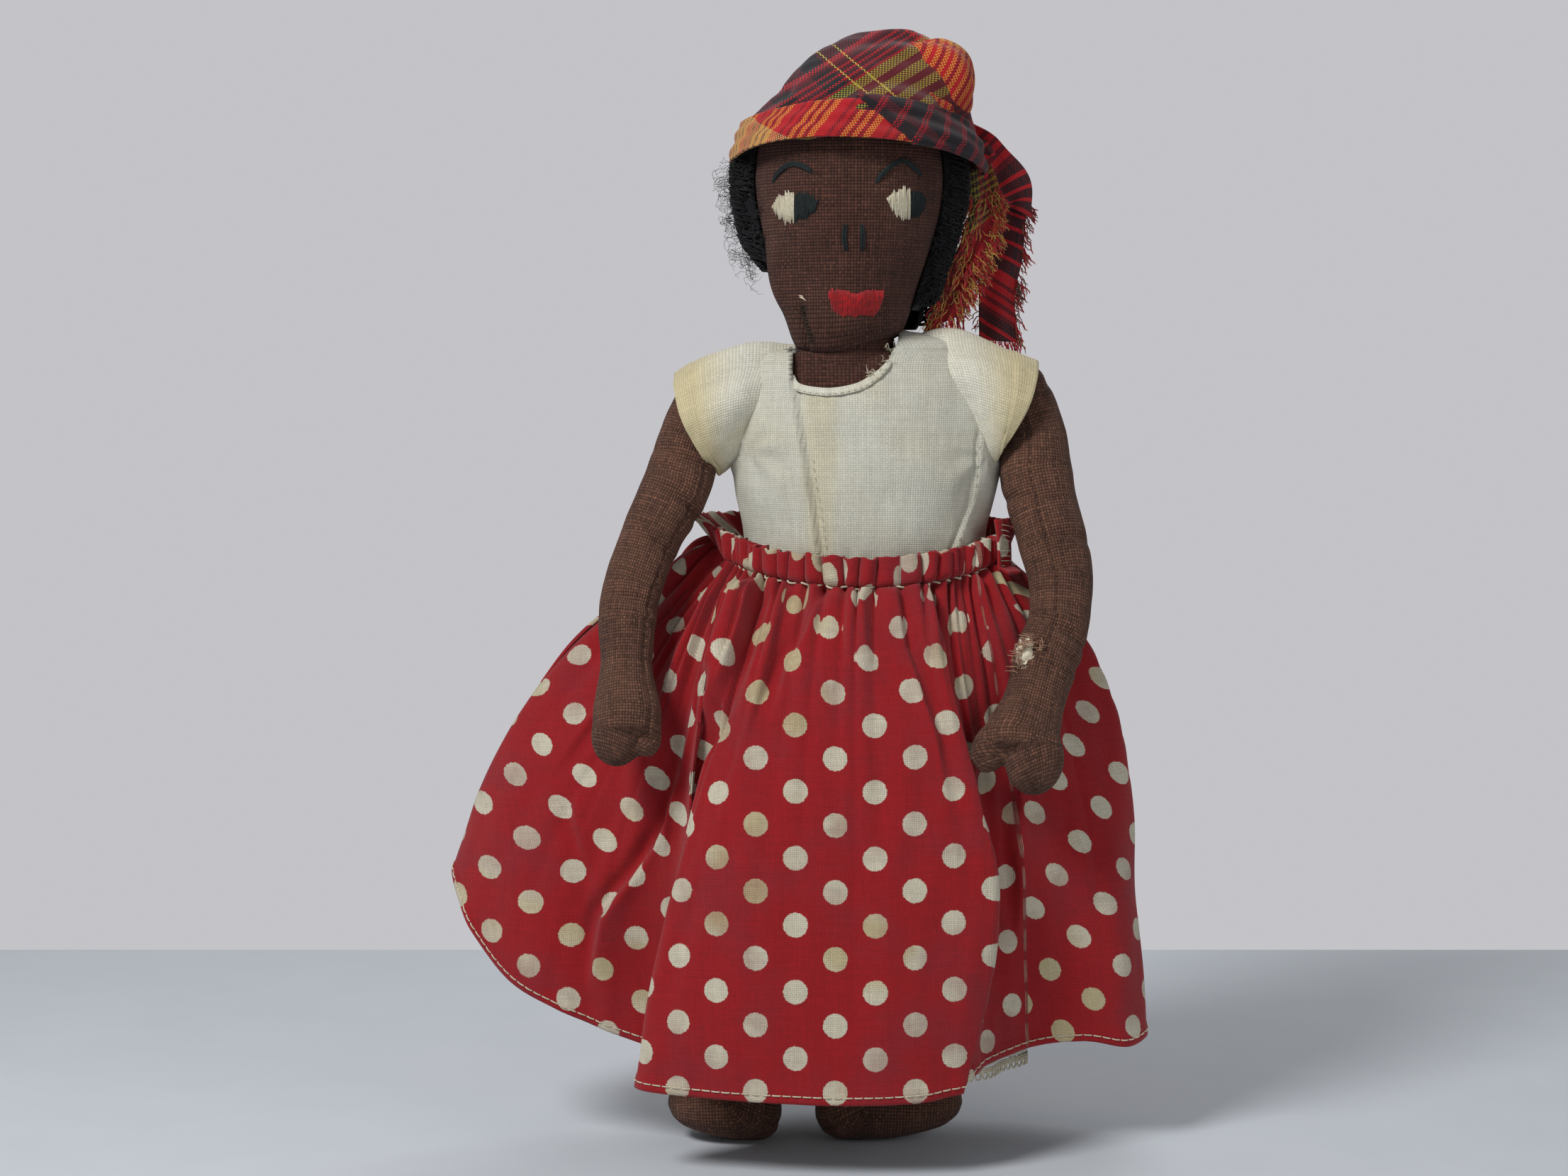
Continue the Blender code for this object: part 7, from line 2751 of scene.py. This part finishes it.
@dataclass
class Scarf:
    """The plaid headscarf: crown wrap, folded band, puff, knot and two hanging ends."""

    head: Head
    band_half: tuple[float, float] = (28.6, 24.6)
    band_width: float = 8.8
    cloth_radius: float = 26.5  # at which the cloth round the head is measured
    knot_radius: float = 4.4
    fringe_radius: float = 0.17
    fray_radius: float = 0.13
    crown_cells: tuple[int, int] = (160, 90)
    band_cells: tuple[int, int] = (240, 40)
    lap_cells: tuple[int, int] = (110, 26)
    puff_cells: tuple[int, int] = (110, 70)
    knot_cells: tuple[int, int] = (60, 40)
    tail_cells: tuple[int, int] = (30, 90)
    puff_half: tuple[float, float, float] = (9.9, 11.2, 10.1)
    # Each row is a ring of the crown: its middle across, back and up, then its half width and half depth.
    rings: Sequence[tuple[float, ...]] = (
        (-0.6, 1.0, 234.5, 26.6, 23.2), (0.9, 1.0, 241.0, 24.4, 22.2), (3.3, 1.5, 246.3, 21.2, 19.6),
        (4.8, 2.2, 251.5, 18.3, 16.4), (6.2, 3.0, 256.6, 13.2, 12.0), (7.8, 3.8, 260.0, 6.4, 6.4),
        (8.4, 4.0, 260.9, 0.0, 0.0),
    )
    # Each row is a place on a hanging end: its middle, then half its width across, back and up.
    outer: Sequence[tuple[tuple[float, ...], ...]] = (
        (
            (26.0, 4.2, 236.0, 1.4, 0.6, 3.6), (30.6, 4.8, 232.0, 2.6, 0.6, 4.0),
            (34.8, 5.8, 227.0, 3.4, 0.5, 3.6), (38.0, 6.8, 222.8, 3.4, 0.2, 1.6),
            (38.4, 7.8, 219.6, 2.8, 0.0, -1.6)
        ),
        (
            (38.0, 9.6, 225.0, 2.4, 0.6, -1.2), (36.6, 10.8, 218.5, 4.0, 1.2, 0.6),
            (34.8, 11.4, 210.0, 4.6, 1.4, 0.2), (33.6, 11.8, 200.0, 4.6, 1.4, -0.2),
            (34.2, 12.0, 189.0, 4.4, 1.4, -0.3)
        ),
    )
    inner: Sequence[tuple[tuple[float, ...], ...]] = (
        (
            (28.8, 3.0, 229.5, 2.6, 1.0, 0.8), (30.0, 2.6, 221.5, 3.4, 1.4, 1.4),
            (28.5, 2.4, 213.5, 5.0, 1.6, 2.7), (25.7, 2.2, 206.2, 5.3, 1.6, 3.2),
            (23.0, 2.3, 199.4, 5.0, 1.4, 2.8), (20.6, 2.6, 193.4, 4.4, 1.4, 2.0)
        ),
    )

    # Where each hanging end starts to swing, and where it swings freely, in metres.
    bends: Mapping[str, tuple[tuple[float, float, float], tuple[float, float, float]]] = field(
        default_factory=lambda: {
            "outer": ((0.030, 0.005, 0.2325), (0.037, 0.007, 0.2225)),
            "inner": ((0.029, 0.003, 0.228), (0.0295, 0.0025, 0.219))
        }
    )

    def at(self, x: float, back: float, up: float) -> np.ndarray:
        """A place about the head, from shares of its half width, its half depth and its height."""
        form = self.head.form
        return np.array(
            [
                self.head.middle + form.half_width * x, form.half_depth * back,
                self.head.chin + self.head.height * up
            ]
        )

    def build(self) -> None:
        """Makes every part of the scarf."""
        self.make_crown()
        self.make_band()
        self.make_lap()
        self.make_puff()
        self.make_knot()
        self.tail("outer", self.outer, Body.OUTER_TAIL)
        self.tail("inner", self.inner, Body.INNER_TAIL)

    def make_crown(self) -> None:
        """Makes the cloth drawn over the crown, with folds that run towards the knot."""
        run = Run(np.linspace(0, 1, len(self.rings)), self.rings)

        def surface(across: np.ndarray, along: np.ndarray) -> np.ndarray:
            """The crown's cloth, from its peak down.

            Args:
                across: Shares across, from 0 to 1.
                along: Shares along, from 0 to 1.

            Returns:
                Places in millimetres.
            """
            row, angle = run(1 - along), (across - 0.5) * math.tau
            places = rows_of(
                row[:, 0] + row[:, 3] * np.sin(angle), row[:, 1] - row[:, 4] * np.cos(angle), row[:, 2]
            )
            reach = np.hypot(places[:, 0] - 10, places[:, 2] - 225)
            fold = (
                0.75 * np.sin(reach / 2.9 + 0.25 * places[:, 1] + 1.0)
                + 0.35 * np.sin(reach / 1.25 + 0.4 * places[:, 1])
            )
            out = rows_of(np.sin(angle), -np.cos(angle), 0.35 + 0 * angle)
            push = (
                fold * (0.55 + 0.75 * soft_step(places[:, 0], -14, 12)) + 1.2 * rumple(places, 8, 21.0)
                + 0.4 * rumple(places, 3.5, 5.0)
            ) * soft_step(along, 0.02, 0.2)
            return places + out * push[:, None]

        def flat(across: np.ndarray, along: np.ndarray) -> np.ndarray:
            """Yarns that climb across the crown towards the doll's left.

            Args:
                across: Shares across, from 0 to 1.
                along: Shares along, from 0 to 1.

            Returns:
                Places on the flat cloth, in millimetres.
            """
            x, y, z = surface(across, along).T
            bend = 0.004 * (x - 8) ** 2 * (x > 8)
            return rows_of(
                x * 0.524 - z * 0.852 + 220 + 0.12 * y - bend, x * 0.629 + z * 0.777 - 190 - 0.10 * (y + 18)
            )

        work = sheet_mesh(*self.crown_cells, surface, flat, ring=True)
        piece = thicken(piece_from("scarf_crown", work, FINISHES.crown), thickness=0.55, offset=0.0)
        dress(piece, Body.HEAD, FINISHES.crown, "scarf_wrap")
        lay(piece, (0.10, 0.045))

    def on_band(self, angle: np.ndarray, height: np.ndarray, thick: np.ndarray) -> np.ndarray:
        """Places about the band's middle line, by angle from the front, height and distance outwards.

        Args:
            angle: Angles from the front.
            height: Heights on the band.
            thick: Distances outwards.

        Returns:
            Places in millimetres.
        """
        taper = -1.6 * height / 4.4 - 1.0
        wide, deep = self.band_half[0] + taper + thick, self.band_half[1] + taper + thick
        x, y = wide * np.sin(angle), -deep * np.cos(angle)
        sag = 2.4 * np.sin(angle) ** 2
        return rows_of(x - 0.1, y + 0.95, 236.2 + height - 0.105 * y - 0.038 * x - sag)

    def on_bias(self, angle: np.ndarray, rise: np.ndarray) -> np.ndarray:
        """Places on the flat cloth of what lies round the head, whose yarns climb to the doll's left.

        Args:
            angle: Angles from the front.
            rise: Heights on the band.

        Returns:
            Places on the flat cloth, in millimetres.
        """
        run = angle * self.cloth_radius
        return rows_of(run * 0.85 - rise * 0.53 + 40, run * 0.53 + rise * 0.85 + 31)

    def make_band(self) -> None:
        """Makes the folded band round the head, in soft layers."""

        def surface(across: np.ndarray, along: np.ndarray) -> np.ndarray:
            """The band, round its section from the top edge outside to the top edge inside.

            Args:
                across: Shares across, from 0 to 1.
                along: Shares along, from 0 to 1.

            Returns:
                Places in millimetres.
            """
            angle, turn = (across - 0.5) * math.tau, along * math.tau
            pleats = 0.34 * np.sin(np.cos(turn) * 8.4 + 1.6 * np.sin(angle * 1.5) + 0.6) * (np.sin(turn) > 0)
            thick = 1.0 * np.abs(np.sin(turn)) ** 0.5 * np.sign(np.sin(turn)) + pleats * np.abs(np.sin(turn))
            height = self.band_width / 2 * np.cos(turn) * (1 + 0.05 * np.sin(angle * 3 + 1))
            wave = 0.3 * np.sin(angle * 5 + 2) * np.cos(turn)
            lumps = 0.35 * rumple(self.on_band(angle, height, 0 * angle), 5, 8.0) * (np.sin(turn) > 0)
            return self.on_band(angle, height, thick + wave + lumps)

        def flat(across: np.ndarray, along: np.ndarray) -> np.ndarray:
            """Yarns on the bias that climb towards the doll's left.

            Args:
                across: Shares across, from 0 to 1.
                along: Shares along, from 0 to 1.

            Returns:
                Places on the flat cloth, in millimetres.
            """
            rise = np.cos(along * math.tau) * self.band_width * 0.55
            return self.on_bias((across - 0.5) * math.tau, rise)

        work = sheet_mesh(*self.band_cells, surface, flat, ring=True)
        piece = piece_from("scarf_fold", work, FINISHES.band)
        dress(piece, Body.HEAD, FINISHES.band, "scarf_band")

    def make_lap(self) -> None:
        """Makes the dark cloth that crosses the band at the doll's left and runs to the knot."""

        def spread(across: np.ndarray, along: np.ndarray) -> tuple[np.ndarray, np.ndarray]:
            """The lap's angle and height on the band. Its front edge slants."""
            start = math.radians(-2) + math.radians(26) * along
            return start + (math.radians(112) - start) * across, 5.4 - 10.2 * along

        def surface(across: np.ndarray, along: np.ndarray) -> np.ndarray:
            """The lap, from its top down.

            Args:
                across: Shares across, from 0 to 1.
                along: Shares along, from 0 to 1.

            Returns:
                Places in millimetres.
            """
            angle, height = spread(across, along)
            crown = 1.3 + 0.5 * np.sin(along * math.pi) - 0.9 * soft_step(along, 0.9, 1.0)
            fold = 0.30 * np.sin(along * 9 + angle * 3) + 0.25 * np.sin(along * 17 - angle * 4)
            edge = 0.75 * soft_step(across, 0.05, 0.0) + 0.3 * soft_step(across, 0.9, 1.0)
            return self.on_band(angle, height, crown + fold - edge)

        def flat(across: np.ndarray, along: np.ndarray) -> np.ndarray:
            """Yarns on the bias, as on the band."""
            return self.on_bias(*spread(across, along))

        work = sheet_mesh(*self.lap_cells, surface, flat)
        piece = thicken(piece_from("scarf_lap", work, FINISHES.lap), thickness=0.5, offset=0.0)
        dress(piece, Body.HEAD, FINISHES.lap)
        lay(piece, (0.049, 0.0102))

    def make_puff(self) -> None:
        """Makes the bunched cloth at the doll's left."""
        centre = np.array([16.8, -2.4, 247.9])

        def surface(across: np.ndarray, along: np.ndarray) -> np.ndarray:
            """The puff, from its top down, creased towards the knot.

            Args:
                across: Shares across, from 0 to 1.
                along: Shares along, from 0 to 1.

            Returns:
                Places in millimetres.
            """
            angle, turn = (across - 0.5) * math.tau, along * math.pi
            places = rows_of(np.sin(turn) * np.sin(angle), -np.sin(turn) * np.cos(angle), np.cos(turn))
            square = (
                np.abs(places[:, 0]) ** 2.8 + np.abs(places[:, 2]) ** 2.8 + np.abs(places[:, 1]) ** 2.8
            ) ** (-1 / 2.8)
            aim = np.array([0.55, 0.25, -0.80])
            pole = places @ aim
            around = np.arctan2(places @ np.array([-0.8, 0.1, -0.5]), places @ np.array([0.2, -0.95, 0.1]))
            crease = 0.12 * np.sin(around * 7 + 1.5 * pole) * np.sqrt(np.maximum(0, 1 - pole**2))
            hollow = 0.24 * bump_shape(np.linalg.norm(places - np.array([-0.66, -0.66, 0.36]), axis=1), 0.42)
            spots = places * np.array(self.puff_half)
            return centre + spots * (square * 0.97 + crease - hollow + 0.05 * rumple(spots, 5, 31.0))[:, None]

        def flat(across: np.ndarray, along: np.ndarray) -> np.ndarray:
            """Gold yarns with red ones, climbing to the doll's left."""
            spots = surface(across, along) - centre
            return rows_of(
                spots[:, 0] * 0.88 - spots[:, 2] * 0.42 + 30 + spots[:, 1] * 0.25,
                spots[:, 2] * 0.88 + spots[:, 0] * 0.42 + 30
            )

        work = sheet_mesh(*self.puff_cells, surface, flat, ring=True)
        piece = piece_from("scarf_bunch", work, FINISHES.bunch)
        dress(piece, Body.HEAD, FINISHES.bunch, "scarf_puff")

    def make_knot(self) -> None:
        """Makes the knot, one turn of cloth over another."""
        centre = self.at(1.42, 0.42, 0.695)

        def surface(across: np.ndarray, along: np.ndarray) -> np.ndarray:
            """The knot's outside.

            Args:
                across: Shares across, from 0 to 1.
                along: Shares along, from 0 to 1.

            Returns:
                Places in millimetres.
            """
            angle, turn = across * math.tau, along * math.pi
            places = rows_of(np.sin(turn) * np.cos(angle), np.sin(turn) * np.sin(angle), np.cos(turn))
            fold = (
                0.12 * np.sin((places[:, 0] * 0.8 + places[:, 2] * 0.9) * 8)
                + 0.08 * np.sin(places[:, 1] * 7 + places[:, 2] * 4)
            )
            return centre + places * (self.knot_radius * (0.98 + fold))[:, None] * np.array([1, 1, 0.95])

        def flat(across: np.ndarray, along: np.ndarray) -> np.ndarray:
            """Red and black yarns."""
            spots = surface(across, along) - centre
            return rows_of(spots[:, 0] + spots[:, 2] * 0.8 + 50, spots[:, 2] - spots[:, 0] * 0.8 + 30)

        work = sheet_mesh(*self.knot_cells, surface, flat, ring=True)
        piece = piece_from("scarf_knot_turns", work, FINISHES.tail)
        dress(piece, Body.HEAD, FINISHES.tail, "scarf_knot")

    def tail(self, name: str, strips: Sequence[Sequence[tuple[float, ...]]], body: Body) -> None:
        """Makes one hanging end: its folded strips and its frayed edges.

        Args:
            name: The end.
            strips: The rows of each strip, from the knot down.
            body: The body that it is.
        """
        kind = FINISHES.tail if name == "outer" else FINISHES.lining
        dice = np.random.default_rng(31 if name == "outer" else 47)
        fringe, edge, start = [], [], 0.0
        for order, rows in enumerate(strips):
            run = Run(np.linspace(0, 1, len(rows)), rows)
            line = run(np.linspace(0, 1, 80))[:, :3]
            length = float(np.linalg.norm(np.diff(line, axis=0), axis=1).sum())
            width = 2 * float(np.linalg.norm(run(np.linspace(0, 1, 20))[:, 3:], axis=1).max())

            def surface(
                across: np.ndarray, along: np.ndarray, run: Run = run, order: int = order
            ) -> np.ndarray:
                """The strip, from the knot down.

                Args:
                    across: Shares across, from 0 to 1.
                    along: Shares along, from 0 to 1.
                    run: The strip's rows.
                    order: The strip's place in the end.

                Returns:
                    Places in millimetres.
                """
                row, side = run(along), (across * 2 - 1)[:, None]
                wave = (
                    0.6 * np.sin(side[:, 0] * 3.5 + along * 4 + order)
                    + 0.3 * np.sin(along * 19 + side[:, 0] * 1.5)
                )
                places = row[:, :3] + row[:, 3:] * side
                places[:, 1] += wave
                places[:, 0] += 0.35 * np.sin(along * 13 + order) * side[:, 0]
                return places

            def flat(
                across: np.ndarray, along: np.ndarray, length: float = length, width: float = width,
                start: float = start
            ) -> np.ndarray:
                """Its places on the flat cloth."""
                if name == "inner":
                    return rows_of(across * 11.3 + 0.1, along * length + 1.5 * across)
                return rows_of(
                    across * width + 0.5, along * length + start + (2.2 if start else 0.8) * (1 - 2 * across)
                )

            work = sheet_mesh(*self.tail_cells, surface, flat)
            label = f"scarf_end_{name}" + ("_lower" if order else "")
            piece = thicken(piece_from(label, work, kind), thickness=0.55, offset=0.0)
            if order:
                dress(piece, body, kind)
            else:
                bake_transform(piece)
                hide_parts(f"scarf_tail_{name}")
                log.info("%s bends between head and %s", piece.name, body.value)
            lay(piece, (max(width * 0.92, 10.1) * MM, length * MM))
            start += length
            if name == "inner":
                edge += self.fray(surface, dice, 190, (1.0, 1.0, 0.0, 0.25, 0.55, 0.8))
            elif order:
                edge += self.fray(surface, dice, 60, (1.0, 1.0, 1.0, 0.0))
            if order == len(strips) - 1:
                for across in np.linspace(0.02, 0.98, 34):
                    foot = surface(np.array([across]), np.array([0.995]))[0]
                    drift = np.cumsum(
                        dice.normal(0, 0.20, (7, 3)) + (0.1, 0, -dice.uniform(0.3, 0.75)), axis=0
                    )
                    fringe.append(np.vstack([foot, foot + drift]))
        sew(
            f"scarf_fringe_{name}", fringe + edge[::2], self.fringe_radius, FINISHES.scarlet_thread, body,
            taper=0.5, sides=0
        )
        other = FINISHES.gold_thread if name == "inner" else FINISHES.dark_fray
        sew(f"scarf_fray_{name}", edge[1::2], self.fray_radius, other, body, taper=0.4, sides=0)

    @staticmethod
    def fray(
        surface: Surface, dice: np.random.Generator, count: int, sides: Sequence[float]
    ) -> list[np.ndarray]:
        """Loose threads along a strip's edges and out of its face.

        Args:
            surface: The strip.
            dice: The seeded source of the irregular parts.
            count: How many tufts.
            sides: The shares across the strip at which they come loose.

        Returns:
            The points of each thread.
        """
        made = []
        for along in np.sort(dice.uniform(0.12, 0.98, count)):
            side = float(dice.choice(sides))
            side += dice.uniform(-0.08, 0.08) * (0 < side < 1)
            foot = surface(np.array([side]), np.array([along]))[0] - np.array([0, 0.5 * (0 < side < 1), 0])
            away = foot - surface(np.array([0.5 - 0.01 * side]), np.array([along]))[0]
            away /= max(float(np.linalg.norm(away)), 1e-6)
            for _ in range(3):
                drift = np.cumsum(dice.normal(0, 0.24, (7, 3)) + away * 0.26 + (0, -0.06, -0.48), axis=0)
                begin = foot - away * 0.3 + dice.normal(0, 0.3, 3)
                made.append(np.vstack([begin, begin + drift]))
        return made


@dataclass
class Studio:
    """The floor, the soft light and the camera."""

    target: tuple[float, float, float] = (-17.0, 0.0, 131.0)
    distance: float = 700.0
    height_turn: float = 4.0
    lens: float = 68.35
    floor_end: float = 233.0
    floor_half: float = 640.0
    # Each row is one soft lamp: its place, its size and its power.
    lamps: Sequence[tuple[str, tuple[float, float, float], float, float]] = (
        ("key_light", (-430, -520, 700), 280, 5.6),
        ("fill_light", (560, -520, 300), 520, 0.8),
        ("back_light", (140, 520, 620), 500, 1.3),
    )

    def build(self) -> None:
        """Sets up the studio round the doll."""
        scene = bpy.context.scene
        scene.render.resolution_x, scene.render.resolution_y = FRAME_PIXELS
        scene.view_settings.view_transform = "Standard"
        self.lay_floor()
        self.light()
        self.place_camera()

    def lay_floor(self) -> None:
        """Lays the pale floor."""
        work = bmesh.new()
        bmesh.ops.create_grid(work, x_segments=1, y_segments=1, size=self.floor_half)
        bmesh.ops.translate(work, vec=(0, self.floor_end - self.floor_half, 0), verts=work.verts)
        bmesh.ops.scale(work, vec=(MM, MM, MM), verts=work.verts)
        mesh = bpy.data.meshes.new("floor")
        work.to_mesh(mesh)
        work.free()
        bench = Bench("floor_paper")
        grain = bench.cloud(bench.place(), 40.0, 3.0)
        colour = bench.mix(grain, paint(206, 212, 219), paint(214, 219, 225))
        mesh.materials.append(bench.close(colour, 0.8, None, {"Specular IOR Level": 0.2}))
        floor = bpy.data.objects.new("floor", mesh)
        bpy.context.scene.collection.objects.link(floor)

    def light(self) -> None:
        """Hangs the lamps and sets the pale surroundings."""
        lamps = []
        for name, place, size, power in self.lamps:
            lamp = bpy.data.lights.new(name, "AREA")
            lamp.shape, lamp.size, lamp.energy = "DISK", size * MM, power
            holder = bpy.data.objects.new(name, lamp)
            holder.location = Vector(place) * MM
            aim = Vector(self.target) * MM - holder.location
            holder.rotation_euler = aim.to_track_quat("-Z", "Y").to_euler()
            bpy.context.scene.collection.objects.link(holder)
            lamps.append(holder)
        world = bpy.data.worlds.new("pale_room")
        bpy.context.scene.world = world
        world.use_nodes = True
        tree = world.node_tree
        shown = tree.nodes["Background"]
        shown.inputs["Color"].default_value = (*paint(196, 195, 199), 1)
        shown.inputs["Strength"].default_value = 1.0
        lit = tree.nodes.new("ShaderNodeBackground")
        lit.inputs["Color"].default_value = (0.95, 0.97, 1.0, 1)
        lit.inputs["Strength"].default_value = 0.19
        path = tree.nodes.new("ShaderNodeLightPath")
        seen = tree.nodes.new("ShaderNodeMath")
        seen.operation = "MAXIMUM"
        either = tree.nodes.new("ShaderNodeMath")
        either.operation = "MAXIMUM"
        blend = tree.nodes.new("ShaderNodeMixShader")
        tree.links.new(path.outputs["Is Camera Ray"], seen.inputs[0])
        tree.links.new(path.outputs["Is Glossy Ray"], seen.inputs[1])
        tree.links.new(seen.outputs[0], either.inputs[0])
        tree.links.new(path.outputs["Is Transmission Ray"], either.inputs[1])
        tree.links.new(either.outputs[0], blend.inputs["Fac"])
        tree.links.new(lit.outputs[0], blend.inputs[1])
        tree.links.new(shown.outputs[0], blend.inputs[2])
        tree.links.new(blend.outputs[0], tree.nodes["World Output"].inputs["Surface"])
        log.info("studio lit by %d lamps", len(lamps))

    def place_camera(self) -> None:
        """Places the camera in front of the doll, a little above its middle."""
        scene = bpy.context.scene
        turn = math.radians(self.height_turn)
        camera = bpy.data.objects.new("camera", bpy.data.cameras.new("camera"))
        camera.data.sensor_width, camera.data.lens = 36.0, self.lens
        away = Vector((0, -math.cos(turn), math.sin(turn))) * self.distance
        camera.location = (Vector(self.target) + away) * MM
        camera.rotation_euler = (-away).to_track_quat("-Z", "Y").to_euler()
        scene.collection.objects.link(camera)
        scene.camera = camera


def main() -> None:
    """Builds the doll piece by piece."""
    logging.basicConfig(level=logging.INFO, format="%(message)s")
    trunk, head, skirt = Trunk(), Head(), Skirt()
    pieces = (
        trunk, head, Arm.right(), Arm.left(), WornWrist(), Leg(-1, 27), Leg(1, 35), Blouse(trunk.form),
        skirt, Petticoat(skirt), Hair(head), Scarf(head), Studio()
    )
    for piece in pieces:
        log.info("building %s", type(piece).__name__)
        piece.build()


if __name__ == "__main__":
    main()
